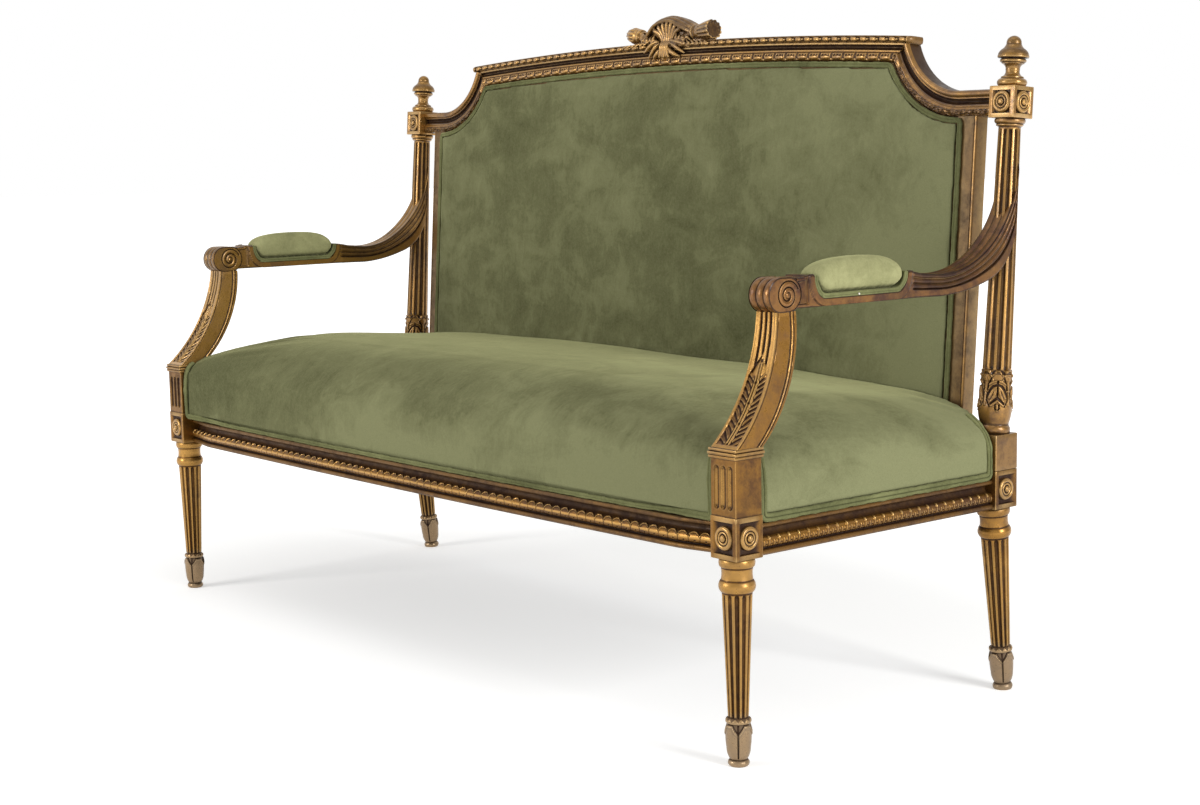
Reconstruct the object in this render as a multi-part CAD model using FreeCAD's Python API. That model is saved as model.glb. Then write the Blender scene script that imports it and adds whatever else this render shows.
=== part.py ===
import FreeCAD, Part
import math
import os

# A carved giltwood settee with a sprung seat, an upholstered back and padded open arms.
# Millimetres. X runs across, Y from front to back, Z up. While it is modelled, Y is 0 at the
# front leg axes and Z is 0 at the floor. The last section moves the origin to the middle of the base.
os.makedirs("parts", exist_ok=True)
V = FreeCAD.Vector

# Layout of the frame
leg_span = 1528.0
leg_depth = 533.0
rail_bottom = 287.0
block_width = 50.0
block_height = 58.0
rear_leg_splay = 5.2
back_rake = 4.0

# Clearances and fastenings
fit_gap = 0.3
joint_gap = 0.15
dowel_radius = 5.0
dowel_reach = 18.0
tenon_length = 17.0
tenon_thickness = 10.0
tenon_height = 30.0
screw_radius = 2.0
screw_head_radius = 4.0

# Turned leg
leg_spigot_radius = 21.0
leg_ring_radius = 24.9
leg_ring_height = 11.0
leg_neck_radius = 21.6
leg_neck_height = 17.5
leg_torus_radius = 24.8
leg_torus_height = 16.5
leg_shaft_top_radius = 21.0
leg_shaft_foot_radius = 14.0
leg_collar_radius = 16.9
leg_collar_height = 7.0
leg_cup_top_radius = 16.6
leg_cup_foot_radius = 12.6
leg_cup_height = 46.0
leg_toe_radius = 14.4
leg_toe_height = 9.0
leg_foot_radius = 12.0
leg_shoulder = 1.5
leg_collar_gap = 2.0
leg_cup_belly = 1.2
leg_flutes = 12
leg_flute_margin = 3.0
leg_spigot_length = 4.0
rear_leg_overrun = 12.0
flute_share = 0.32

# Front stump and its reeded cap
stump_width = 48.0
stump_height = 77.6
stump_flutes = 3
stump_flute_radius = 4.2
stump_flute_pitch = 13.0
stump_flute_margin = 9.0
cap_width = 55.0
cap_height = 14.4
cap_reeds = 3
cap_reed_roundness = 0.4
stump_flute_standoff = 1.0

# Rosettes and their square recesses
recess_depth = 4.0
recess_border = 7.0
rosette_radius = 16.0
rosette_height = 7.0
rosette_rim_edge = 1.0
rosette_ring_share = 0.66
rosette_core_share = 0.3
rosette_groove_share = 0.45
rosette_crest_share = 0.93
tip_flat = 1.0

# Back post
post_block_height = 54.0
post_ring_radius = 24.2
post_ring_height = 13.0
vase_neck_radius = 21.5
vase_belly_radius = 25.2
vase_top_radius = 23.4
vase_height = 76.0
vase_foot_share = 0.17
vase_belly_share = 0.38
vase_waist_share = 0.72
vase_waist_flare = 1.5
vase_foot_gap = 2.0
post_spigot_length = 3.0
post_shoulder = 1.0
column_foot_radius = 21.4
column_head_radius = 16.2
column_flutes = 12
column_flute_margin = 5.0
column_length = 366.0
column_ring_radius = 22.7
column_ring_height = 13.0
top_block_width = 46.2
top_block_height = 47.0
finial_base_radius = 22.0
finial_base_height = 13.0
finial_neck_radius = 10.6
finial_neck_height = 19.0
finial_ring_radius = 19.2
finial_ring_height = 7.0
finial_bell_radius = 23.0
finial_bell_height = 35.0
finial_base_lip = 4.5
finial_ring_lip = 3.5
finial_bell_edge = 3.0
finial_bell_waist = (19.8, 12.0)
finial_bell_shoulder = (12.5, 24.0)
finial_tip_round = (7.5, 2.5)

# Seat rail moulding, from the bottom up
rail_thickness = 30.0
rail_fillet_height = 8.0
rail_fillet_projection = 3.0
rail_groove_height = 2.0
rail_groove_depth = 4.0
rail_band_height = 15.0
rail_band_projection = 4.0
rail_cove_height = 13.0
rail_cove_depth = 8.0
rail_bead_height = 6.0
rail_band_crown = 1.0
rail_bead_crown = 1.5
rail_cove_shoulder = 2.0
rail_cove_deepest = 0.45
front_rail_bow = 27.0
front_rail_shoulder_bow = 18.0
front_rail_end_bow = 5.0
front_rail_return = 90.0
side_rail_outset = 20.0
back_rail_thickness = 30.0
corner_block_reach = 62.0
corner_block_height = 34.0
corner_screw_length = 11.0
corner_screw_shares = (0.34, 0.66)

# Back frame moulding, from the upholstery outwards
leaf_band_width = 16.0
inner_fillet_width = 2.0
cove_width = 9.0
cove_depth = 6.0
outer_fillet_width = 2.0
bead_width = 11.0
frame_front = 8.0
frame_back = 17.0
band_projection = 3.0
band_edge_drop = 1.0
bead_projection = 5.0
shoulder_radius = 114.0
shoulder_run = 66.0
arch_radius = 7350.0
arch_inner_height = 580.0
crown_height = 12.0
crown_front = 17.0
crown_back = 20.0
crown_overhang = 22.0
crown_foot_fillet = 1.5
crown_nose_share = 0.62
crown_top_setback = 1.0
shoulder_sweep = 86.0
stile_tenon = 30.0
stile_flute_radius = 3.0
stile_flute_share = 0.3
stile_flute_standoff = 1.8
bottom_rail_setback = 2.0
stile_reveal = 25.0
stile_width = 37.0
stile_gap = 33.0
bottom_rail_height = 60.0
bottom_rail_drop = 35.0

# Carved crest
crest_depth = 36.0
crest_sink = 3.0
hood_radius = 64.0
hood_rise = 49.0
fan_radius = 34.0
fan_taper = 8.5
fan_sink = 8.0
fan_ribs = 7
fan_rib_spread = 24.0
fan_rib_start = 7.0
fan_rib_foot_radius = 1.6
fan_rib_head_radius = 5.4
sheaf_start = 44.0
sheaf_length = 84.0
sheaf_tilt = 14.0
sheaf_root_radius = 13.6
sheaf_neck_radius = 9.0
sheaf_neck_place = 30.0
sheaf_collar_rise = 4.5
sheaf_collar_half = 4.0
sheaf_end_radius = 17.0
sheaf_lift = 13.6
clasp_width = 44.0
clasp_foot_width = 27.3
clasp_drop = 27.0
clasp_belly = 5.0
clasp_rise = 4.0
clasp_depth = 14.0
clasp_projection = 3.0

# Arms, measured in side view from the front leg axis and the floor
arm_width = 40.0
support_base_width = 50.0
support_top_width = 39.0
support_foot_front = -22.0
support_foot_back = 27.0
support_front_mid = (24.0, 493.0)
support_back_mid = (71.0, 493.0)
support_head_front = 57.0
support_head_back = 94.0
arm_dowel_place = 76.0
arm_dowel_length = 27.0
scroll_front = 42.0
scroll_top = 655.0
scroll_bottom = 606.0
scroll_front_run = 22.0
scroll_heel = 92.0
scroll_eye_setback = 6.0
scroll_groove_depth = 1.5
scroll_groove_outer = 17.0
scroll_groove_inner = 14.0
arm_underside = 610.0
arm_underside_start = 100.0
arm_rear_top = 643.0
cup_front = 129.0
cup_back = 319.0
cup_floor = 621.0
cup_lip = 654.0
cup_back_drop = 4.0
cup_slope_run = 24.0
arm_rise_start = 389.0
arm_rise_slope = 0.05
arm_merge_height = 792.0
arm_under_merge_height = 700.0
arm_pad_crown = 674.5
arm_pad_width = 41.0
arm_pad_foot_inset = 3.0
arm_pad_shoulder_inset = 2.0
arm_pad_widest = 13.0
arm_pad_shoulder = 22.0
arm_welt_thickness = 6.0
tack_radius = 1.6
tack_tip_radius = 1.1
tack_height = 1.2
tack_place = 218.0

# Seat upholstery
seat_side_height = 395.0
seat_crown_height = 487.0
seat_back_drop = 14.0
seat_front_shoulder = 30.0
seat_bulge = 6.0
seat_bulge_share = 0.28
seat_shoulder_share = 0.5
seat_knee_share = 0.8
seat_foot_setback = 3.0
seat_side_inset = 3.0
seat_dome_sharpness = 4
seat_dome_fullness = 1 / 3.2
seat_sections = 12
seat_cover_thickness = 5.0
welt_height = 9.5
welt_thickness = 5.0
welt_valley = 1.5
spring_wire_radius = 1.9
spring_bend_radius = 13.0
spring_width = 46.0
spring_count = 7
spring_bay_margin = 9.0
spring_bay_inset = 22.0
spring_end_margin = 4.0
spring_rear_bearing = 9.0
burlap_thickness = 1.0
dust_cover_thickness = 1.0
dust_cover_margin = 8.0

# Back upholstery
back_pad_thickness = 12.0
back_pad_edge = 34.0
back_pad_steps = ((0, 0), (0.02, 0.45), (0.3, 0.82), (1, 1))
back_foam_share = 0.45
back_welt_thickness = 4.0
back_welt_width = 9.0
back_cover_thickness = 2.0
back_cover_margin = 17.0
back_cover_foot = 4.0
webbing_width = 50.0
webbing_thickness = 1.5
webbing_uprights = 7
webbing_crossings = 3
webbing_low_crossing = 100.0
webbing_crossing_run = 300.0
back_foam_margin = 5.0

# Worked out from the sizes above
half_span = leg_span / 2
half_block = block_width / 2
half_stump = stump_width / 2
block_top = rail_bottom + block_height
stump_top = block_top + stump_height
cap_top = stump_top + cap_height
rail_height = rail_fillet_height + rail_groove_height + rail_band_height + rail_cove_height + rail_bead_height
rail_top = rail_bottom + rail_height
post_base = block_top + post_block_height
post_column_start = post_ring_height + vase_height
post_ring_start = post_column_start + column_length
top_block_start = post_ring_start + column_ring_height
top_block_end = top_block_start + top_block_height
half_top_block = top_block_width / 2
flat_moulding_width = leaf_band_width + inner_fillet_width + cove_width + outer_fillet_width
moulding_width = flat_moulding_width + bead_width
shoulder_centre_x = half_span - half_top_block - shoulder_run
shoulder_centre_h = top_block_start + (top_block_height + moulding_width) / 2 + shoulder_radius
shoulder_inner_radius = shoulder_radius + moulding_width
arch_centre_h = arch_inner_height - arch_radius
stile_outer = half_span - half_top_block - stile_gap
stile_inner = stile_outer - stile_width
pad_half_width = stile_outer - stile_reveal
rail_face_offset = half_block - rail_thickness
side_rail_face = half_span + side_rail_outset
cushion_half_width = side_rail_face - seat_side_inset


# Drawing helpers

def at_front(y):
    """Points of a drawing seen from the front, in the plane at depth y."""
    return lambda u, v: V(u, y, v)


def at_side(x):
    """Points of a drawing seen from the side, in the plane at x."""
    return lambda u, v: V(x, u, v)


def at_plan(z):
    """Points of a drawing seen from above, at height z."""
    return lambda u, v: V(u, v, z)


def chain(start, steps, place):
    """Edges from start. A step (u, v) is a line, a step ((u, v), (u, v)) is an arc through its first point."""
    edges = []
    here = start
    for step in steps:
        if isinstance(step[0], tuple):
            through, end = step
            edges.append(Part.Arc(place(*here), place(*through), place(*end)).toShape())
        else:
            end = step
            if math.dist(here, end) > 1e-6:
                edges.append(Part.makeLine(place(*here), place(*end)))
        here = end
    return edges


def loop(start, steps, place):
    """Closed wire that ends with a line back to start."""
    return Part.Wire(chain(start, list(steps) + [start], place))


def block(x0, x1, y0, y1, z0, z1):
    return Part.makeBox(x1 - x0, y1 - y0, z1 - z0, V(x0, y0, z0))


def square_block(x, y, width, z0, z1):
    half = width / 2
    return block(x - half, x + half, y - half, y + half, z0, z1)


def turned(start, steps):
    """Solid of revolution about the Z axis from a profile of radius and height."""
    face = Part.Face(loop(start, steps, at_front(0)))
    return face.revolve(V(0, 0, 0), V(0, 0, 1), 360)


def bead(inner, outer, top, bottom):
    """Steps of a half-round ring on a turning, from its top to its bottom."""
    return [(inner, top), ((outer, (top + bottom) / 2), (inner, bottom))]


def mirrored(shape):
    return shape.mirror(V(0, 0, 0), V(1, 0, 0))


def raked(shape):
    """Lean a shape of the back assembly to its rake, about the top of the post's base block."""
    leaned = shape.copy()
    leaned.rotate(V(0, leg_depth, post_base), V(1, 0, 0), -back_rake)
    return leaned


def bent(p0, t0, p1, t1):
    """Two tangent arcs from p0, heading along t0, to p1, arriving along t1."""
    a0 = math.hypot(*t0)
    a1 = math.hypot(*t1)
    t0 = (t0[0] / a0, t0[1] / a0)
    t1 = (t1[0] / a1, t1[1] / a1)
    v = (p1[0] - p0[0], p1[1] - p0[1])
    t = (t0[0] + t1[0], t0[1] + t1[1])
    vt = v[0] * t[0] + v[1] * t[1]
    vv = v[0] * v[0] + v[1] * v[1]
    k = 2 * (1 - (t0[0] * t1[0] + t0[1] * t1[1]))
    if k < 1e-9:
        d = vv / (2 * vt)
    else:
        d = (math.sqrt(vt * vt + k * vv) - vt) / k
    middle = tuple((p0[i] + d * t0[i] + p1[i] - d * t1[i]) / 2 for i in (0, 1))
    return [(arc_point(p0, middle, t0, 1), middle), (arc_point(middle, p1, t1, -1), p1)]


def arc_point(a, b, tangent, side):
    """Middle point of the arc from a to b whose tangent at one end is given."""
    chord = (b[0] - a[0], b[1] - a[1])
    length = math.hypot(*chord)
    along = (chord[0] / length, chord[1] / length)
    cosine = along[0] * tangent[0] + along[1] * tangent[1]
    across = (tangent[0] - cosine * along[0], tangent[1] - cosine * along[1])
    size = math.hypot(*across)
    if size < 1e-6:
        return ((a[0] + b[0]) / 2, (a[1] + b[1]) / 2)
    rise = length / 2 * math.tan(math.atan2(size, cosine) / 2) * side
    return tuple((a[i] + b[i]) / 2 + across[i] / size * rise for i in (0, 1))


def circle_centre(a, b, c):
    """Centre of the circle through three points."""
    d = 2 * (a[0] * (b[1] - c[1]) + b[0] * (c[1] - a[1]) + c[0] * (a[1] - b[1]))
    sa = a[0] ** 2 + a[1] ** 2
    sb = b[0] ** 2 + b[1] ** 2
    sc = c[0] ** 2 + c[1] ** 2
    x = (sa * (b[1] - c[1]) + sb * (c[1] - a[1]) + sc * (a[1] - b[1])) / d
    y = (sa * (c[0] - b[0]) + sb * (a[0] - c[0]) + sc * (b[0] - a[0])) / d
    return (x, y)


def swept(start, steps, draw):
    """Sweep a section along a level path. draw(place) makes its face, where place(u, z) lies u left of the path."""
    pieces = []
    here = start
    for step in steps:
        if isinstance(step[0], tuple):
            through, end = step
            cx, cy = circle_centre(here, through, end)
            radius = math.dist(here, (cx, cy))
            first = math.atan2(here[1] - cy, here[0] - cx)
            last = math.atan2(end[1] - cy, end[0] - cx)
            lead = (through[0] - here[0]) * (end[1] - through[1]) - (through[1] - here[1]) * (end[0] - through[0])
            turn = 1 if lead > 0 else -1
            angle = turn * ((turn * (last - first)) % (2 * math.pi))
            left = (turn * (cx - here[0]) / radius, turn * (cy - here[1]) / radius)
            face = draw(left_of(here, left))
            pieces.append(face.revolve(V(cx, cy, 0), V(0, 0, 1), math.degrees(angle)))
        else:
            end = step
            length = math.dist(here, end)
            ahead = ((end[0] - here[0]) / length, (end[1] - here[1]) / length)
            face = draw(left_of(here, (-ahead[1], ahead[0])))
            pieces.append(face.extrude(V(ahead[0] * length, ahead[1] * length, 0)))
        here = end
    if len(pieces) == 1:
        return pieces[0]
    return pieces[0].fuse(pieces[1:]).removeSplitter()


def left_of(here, left):
    """Points of a section that stands across a level path at here."""
    return lambda u, z: V(here[0] + left[0] * u, here[1] + left[1] * u, z)


def rod(x, y, z, radius, length, direction=V(0, 0, 1)):
    return Part.makeCylinder(radius, length, V(x, y, z), direction)


def flute_tools(count, low_radius, low_z, high_radius, high_z):
    """Round-ended tapering cutters for the flutes of a shaft about the Z axis."""
    tools = []
    low = 2 * math.pi * low_radius / count * flute_share
    high = 2 * math.pi * high_radius / count * flute_share
    foot_z = low_z + low
    head_z = high_z - high
    for k in range(count):
        angle = 2 * math.pi * k / count
        out = V(math.cos(angle), math.sin(angle), 0)
        foot = out * low_radius + V(0, 0, foot_z)
        head = out * high_radius + V(0, 0, head_z)
        run = head - foot
        tool = Part.makeCone(low, high, run.Length, foot, run)
        tool = tool.fuse([Part.makeSphere(low, foot), Part.makeSphere(high, head)])
        tools.append(tool)
    return tools


def rosette():
    """Turned rosette about the Z axis, its back at 0: an outer ring, a groove, an inner ring and a centre."""
    rim = rosette_radius
    ring = rim * rosette_ring_share
    core = rim * rosette_core_share
    low = rosette_height * rosette_groove_share
    crest_z = rosette_height * rosette_crest_share
    profile = [(rim, 0), (rim, rosette_rim_edge), (((rim + ring) / 2, crest_z), (ring, low))]
    profile += [(((ring + core) / 2, crest_z), (core, low))]
    profile += [(((core + tip_flat) / 2, crest_z), (tip_flat, rosette_height)), (0, rosette_height)]
    return turned((0, 0), profile)


def rosette_on(x, y, z, outward):
    """Rosette seated on the floor of a recess whose block face is at x, y, z."""
    piece = rosette()
    piece.Placement = FreeCAD.Placement(V(x, y, z) - outward * recess_depth, FreeCAD.Rotation(V(0, 0, 1), outward))
    return piece


def recess(x, y, z, outward, width, height):
    """Cutter for the square recess on a block face centred at x, y, z."""
    w = width / 2 - recess_border
    h = height / 2 - recess_border
    if abs(outward.x) > abs(outward.y):
        inner = x - outward.x * recess_depth
        outer = x + outward.x * recess_depth
        return block(min(inner, outer), max(inner, outer), y - w, y + w, z - h, z + h)
    inner = y - outward.y * recess_depth
    outer = y + outward.y * recess_depth
    return block(x - w, x + w, min(inner, outer), max(inner, outer), z - h, z + h)


# Turned legs

def turned_leg(extra):
    """Leg about the Z axis from the floor to the block, with extra length below for a splayed foot."""
    ring_top = rail_bottom - leg_shoulder
    ring_foot = ring_top - leg_ring_height
    torus_top = ring_foot - leg_neck_height
    torus_foot = torus_top - leg_torus_height
    shaft_top = torus_foot - leg_shoulder
    cup_foot = leg_toe_height
    cup_top = cup_foot + leg_cup_height
    collar_foot = cup_top + leg_collar_gap
    collar_top = collar_foot + leg_collar_height
    spigot_top = rail_bottom + leg_spigot_length
    steps = [(leg_spigot_radius, spigot_top)]
    steps += bead(leg_spigot_radius, leg_ring_radius, ring_top, ring_foot)
    steps += [(leg_neck_radius, ring_foot)]
    steps += bead(leg_neck_radius, leg_torus_radius, torus_top, torus_foot)
    steps += [(leg_shaft_top_radius, torus_foot), (leg_shaft_top_radius, shaft_top)]
    steps += [(leg_shaft_foot_radius, collar_top)]
    steps += bead(leg_shaft_foot_radius, leg_collar_radius, collar_top, collar_foot)
    steps += [(leg_cup_top_radius, cup_top)]
    cup_waist = (leg_cup_top_radius + leg_cup_foot_radius) / 2 + leg_cup_belly
    steps += [((cup_waist, (cup_top + cup_foot) / 2), (leg_cup_foot_radius, cup_foot))]
    steps += [((leg_toe_radius, leg_toe_height / 2), (leg_foot_radius, 0))]
    if extra > 0:
        steps += [(leg_foot_radius, -extra)]
    steps += [(0, -extra)]
    leg = turned((0, spigot_top), steps)
    flute_foot = collar_top + leg_flute_margin
    flute_head = shaft_top - leg_flute_margin / 2
    flutes = flute_tools(leg_flutes, leg_shaft_foot_radius, flute_foot, leg_shaft_top_radius, flute_head)
    return leg.cut(flutes)


def rail_tenon_x(x, y, inward, gap):
    """Tenon of a rail that runs across, from the block face at x into the block."""
    near = x
    far = x + inward * (tenon_length + gap)
    middle = rail_bottom + rail_height / 2
    half_z = tenon_height / 2 + gap
    half_y = tenon_thickness / 2 + gap
    return block(min(near, far), max(near, far), y - half_y, y + half_y, middle - half_z, middle + half_z)


def rail_tenon_y(x, y, inward, gap):
    """Tenon of a rail that runs front to back, from the block face at y into the block."""
    far = y + inward * (tenon_length + gap)
    middle = rail_bottom + rail_height / 2
    half_z = tenon_height / 2 + gap
    half_x = tenon_thickness / 2 + gap
    return block(x - half_x, x + half_x, min(y, far), max(y, far), middle - half_z, middle + half_z)


front_tenon_y = rail_face_offset + rail_thickness / 2 + tenon_thickness / 2
side_tenon_x = half_span


def reeded_cap():
    """Square cap of stacked half-round reeds over the stump."""
    reed = cap_height / cap_reeds
    layers = []
    for k in range(cap_reeds):
        z = stump_top + k * reed
        layer = square_block(half_span, 0, cap_width, z, z + reed)
        level = [e for e in layer.Edges if abs(e.Vertexes[0].Z - e.Vertexes[1].Z) < reed / 10]
        layers.append(layer.makeFillet(reed * cap_reed_roundness, level))
    return layers


def front_leg():
    """Right front leg, its block, fluted stump and cap."""
    leg = turned_leg(0)
    leg.translate(V(half_span, 0, 0))
    body = square_block(half_span, 0, block_width, rail_bottom, block_top)
    stump = square_block(half_span, 0, stump_width, block_top, stump_top)
    leg = leg.fuse([body, stump] + reeded_cap())
    cuts = []
    mid_block = rail_bottom + block_height / 2
    cuts.append(recess(half_span, -half_block, mid_block, V(0, -1, 0), block_width, block_height))
    cuts.append(recess(half_span + half_block, 0, mid_block, V(1, 0, 0), block_width, block_height))
    low = block_top + stump_flute_margin
    high = stump_top - stump_flute_margin
    for k in range(stump_flutes):
        x = half_span + (k - (stump_flutes - 1) / 2) * stump_flute_pitch
        y = -half_stump - stump_flute_standoff
        cuts.append(rod(x, y, low, stump_flute_radius, high - low))
        cuts.append(Part.makeSphere(stump_flute_radius, V(x, y, low)))
        cuts.append(Part.makeSphere(stump_flute_radius, V(x, y, high)))
    cuts.append(rail_tenon_x(half_span - half_block, front_tenon_y, 1, joint_gap))
    cuts.append(rail_tenon_y(side_tenon_x, half_block, -1, joint_gap))
    cuts.append(rod(half_span, 0, cap_top - dowel_reach - joint_gap, dowel_radius + joint_gap, 2 * dowel_reach))
    return leg.cut(cuts).removeSplitter()


def rear_leg():
    """Right rear leg, splayed backwards under its upright block."""
    leg = turned_leg(rear_leg_overrun)
    leg.rotate(V(0, 0, rail_bottom), V(1, 0, 0), rear_leg_splay)
    leg.translate(V(half_span, leg_depth, 0))
    leg = leg.cut(square_block(half_span, leg_depth, leg_span, -leg_span, 0))
    body = square_block(half_span, leg_depth, block_width, rail_bottom, block_top)
    leg = leg.fuse(body)
    middle = rail_bottom + block_height / 2
    cuts = [recess(half_span + half_block, leg_depth, middle, V(1, 0, 0), block_width, block_height)]
    cuts.append(rail_tenon_y(side_tenon_x, leg_depth - half_block, 1, joint_gap))
    cuts.append(rail_tenon_x(half_span - half_block, leg_depth + tenon_thickness, 1, joint_gap))
    for y in post_dowel_places():
        cuts.append(rod(half_span, y, block_top - dowel_reach - joint_gap, dowel_radius + joint_gap, dowel_reach * 2))
    return leg.cut(cuts).removeSplitter()


def post_dowel_places():
    """Depths of the two dowels between rear leg and post."""
    return (leg_depth - block_width / 4, leg_depth + block_width / 4)


# Back posts and finials

def back_post():
    """Right back post: upright base block, then the raked turning and its top block."""
    h1 = post_ring_height
    h2 = post_column_start
    h3 = post_ring_start
    h4 = top_block_start
    belly_h = h1 + vase_height * vase_belly_share
    foot_belly_radius = (vase_neck_radius + 3 * vase_belly_radius) / 4
    steps = [(vase_neck_radius, -post_spigot_length), (vase_neck_radius, post_shoulder)]
    steps += [((post_ring_radius, h1 / 2), (vase_neck_radius, h1 - post_shoulder))]
    steps += [(vase_neck_radius, h1 + vase_foot_gap)]
    steps += [((foot_belly_radius, h1 + vase_height * vase_foot_share), (vase_belly_radius, belly_h))]
    waist_radius = vase_neck_radius + vase_waist_flare
    steps += [((waist_radius, h1 + vase_height * vase_waist_share), (vase_top_radius, h2))]
    steps += [(column_foot_radius, h2), (column_head_radius, h3)]
    steps += [((column_ring_radius, (h3 + h4) / 2), (column_head_radius, h4 - post_shoulder))]
    steps += [(column_head_radius, h4 + post_spigot_length), (0, h4 + post_spigot_length)]
    post = turned((0, -post_spigot_length), steps)
    flute_foot = h2 + column_flute_margin
    flutes = flute_tools(column_flutes, column_foot_radius, flute_foot, column_head_radius, h3 - post_shoulder)
    post = post.cut(flutes)
    post.translate(V(half_span, leg_depth, post_base))
    top = square_block(half_span, leg_depth, top_block_width, post_base + top_block_start, post_base + top_block_end)
    peg_hole = rod(half_span, leg_depth, post_base + top_block_end - dowel_reach - joint_gap,
                   dowel_radius + joint_gap, dowel_reach * 2)
    middle = post_base + top_block_start + top_block_height / 2
    sinks = [recess(half_span, leg_depth - half_top_block, middle, V(0, -1, 0), top_block_width, top_block_height)]
    sinks.append(recess(half_span + half_top_block, leg_depth, middle, V(1, 0, 0), top_block_width, top_block_height))
    post = raked(post.fuse(top).cut(sinks + [peg_hole]))
    base = square_block(half_span, leg_depth, block_width, block_top, post_base)
    holes = []
    for y in post_dowel_places():
        holes.append(rod(half_span, y, block_top - dowel_reach, dowel_radius + joint_gap, dowel_reach * 2 + joint_gap))
    return post.fuse(base).cut(holes).removeSplitter()


def finial():
    """Right finial: ring, waist, ring and bell-shaped knob, with its peg."""
    z0 = 0.0
    z1 = finial_base_height
    z2 = z1 + finial_neck_height
    z3 = z2 + finial_ring_height
    z4 = z3 + finial_bell_height
    steps = [(dowel_radius, -dowel_reach), (dowel_radius, z0)]
    base_lip = finial_base_radius - finial_base_lip
    ring_lip = finial_ring_radius - finial_ring_lip
    waist_radius, waist_rise = finial_bell_waist
    shoulder_radius_here, shoulder_rise = finial_bell_shoulder
    tip_radius, tip_drop = finial_tip_round
    steps += [(base_lip, z0), ((finial_base_radius, z1 / 2), (base_lip, z1))]
    steps += [((finial_neck_radius, (z1 + z2) / 2), (ring_lip, z2))]
    steps += [((finial_ring_radius, (z2 + z3) / 2), (ring_lip, z3)), (finial_bell_radius, z3 + finial_bell_edge)]
    steps += [((waist_radius, z3 + waist_rise), (shoulder_radius_here, z3 + shoulder_rise))]
    steps += [((tip_radius, z4 - tip_drop), (tip_flat, z4)), (0, z4)]
    piece = turned((0, -dowel_reach), steps)
    piece.translate(V(half_span, leg_depth, post_base + top_block_end))
    return raked(piece)


# Seat rails

def rail_face(place):
    """Section of a moulded rail: place(u, z) lies u in from the outer face, at height z."""
    groove_z = rail_bottom + rail_fillet_height
    band_z = groove_z + rail_groove_height
    cove_z = band_z + rail_band_height
    bead_z = cove_z + rail_cove_height
    p = rail_fillet_projection
    flat = p + rail_band_projection
    steps = [(p, rail_bottom), ((0, rail_bottom + rail_fillet_height / 2), (p, groove_z))]
    steps += [(p + rail_groove_depth, groove_z), (p + rail_groove_depth, band_z), (flat, band_z)]
    steps += [((rail_band_crown, band_z + rail_band_height / 2), (flat, cove_z)), (flat + rail_cove_shoulder, cove_z)]
    deepest_z = cove_z + rail_cove_height * rail_cove_deepest
    steps += [((flat + rail_cove_depth, deepest_z), (p + rail_cove_shoulder, bead_z)), (p, bead_z)]
    steps += [((rail_bead_crown, bead_z + rail_bead_height / 2), (p, rail_top)), (rail_thickness, rail_top)]
    return Part.Face(loop((rail_thickness, rail_bottom), steps, place))


def front_rail_path(inset):
    """Plan line of the front rail's outer face, from the left block to the right one, moved back by inset."""
    end_x = half_span - half_block
    knee_x = end_x - front_rail_return
    end_y = -front_rail_end_bow + inset
    knee_y = -front_rail_shoulder_bow + inset
    mid_y = -front_rail_bow + inset
    rise = knee_y - mid_y
    radius = (knee_x ** 2 + rise ** 2) / (2 * rise)
    slope = knee_x / (radius - rise)
    steps = bent((-end_x, end_y), (1, 0), (-knee_x, knee_y), (1, -slope))
    steps += [((0, mid_y), (knee_x, knee_y))]
    steps += bent((knee_x, knee_y), (1, slope), (end_x, end_y), (1, 0))
    return (-end_x, end_y), steps


def front_seat_rail():
    """Gently bowed moulded front rail with its tenons."""
    start, steps = front_rail_path(0)
    rail = swept(start, steps, rail_face)
    tenons = [rail_tenon_x(half_span - half_block, front_tenon_y, 1, 0)]
    tenons.append(rail_tenon_x(half_block - half_span, front_tenon_y, -1, 0))
    return rail.fuse(tenons)


def side_seat_rail():
    """Right side rail between the blocks, with its tenons."""
    near = half_block
    far = leg_depth - half_block
    rail = swept((side_rail_face, near), [(side_rail_face, far)], rail_face)
    tenons = [rail_tenon_y(side_tenon_x, near, -1, 0), rail_tenon_y(side_tenon_x, far, 1, 0)]
    return rail.fuse(tenons)


def back_seat_rail():
    """Plain rail between the rear blocks."""
    end = half_span - half_block
    low_y = leg_depth + tenon_thickness - back_rail_thickness / 2
    rail = block(-end, end, low_y, low_y + back_rail_thickness, rail_bottom, rail_top)
    tenons = [rail_tenon_x(end, leg_depth + tenon_thickness, 1, 0)]
    tenons.append(rail_tenon_x(-end, leg_depth + tenon_thickness, -1, 0))
    return rail.fuse(tenons)


front_inner_y = -front_rail_end_bow + rail_thickness
back_inner_y = leg_depth + tenon_thickness - back_rail_thickness / 2
side_inner_x = side_rail_face - rail_thickness
corner_block_z = rail_bottom + (rail_height - corner_block_height) / 2


def corner_blocks():
    """Glue blocks in the four inside corners of the seat frame, trimmed clear of the leg blocks."""
    blocks = []
    for sx in (-1, 1):
        for corner_y, sy in ((front_inner_y, 1), (back_inner_y, -1)):
            corner = (sx * side_inner_x, corner_y)
            across = (sx * (side_inner_x - corner_block_reach), corner_y)
            along = (sx * side_inner_x, corner_y + sy * corner_block_reach)
            wedge = Part.Face(loop(corner, [across, along], at_plan(corner_block_z)))
            wedge = wedge.extrude(V(0, 0, corner_block_height))
            leg_y = 0 if sy > 0 else leg_depth
            blocks.append(wedge.cut(square_block(sx * half_span, leg_y, block_width, rail_bottom, block_top)))
    for screw in corner_screws():
        blocks = [b.cut(screw) for b in blocks]
    return blocks


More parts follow.
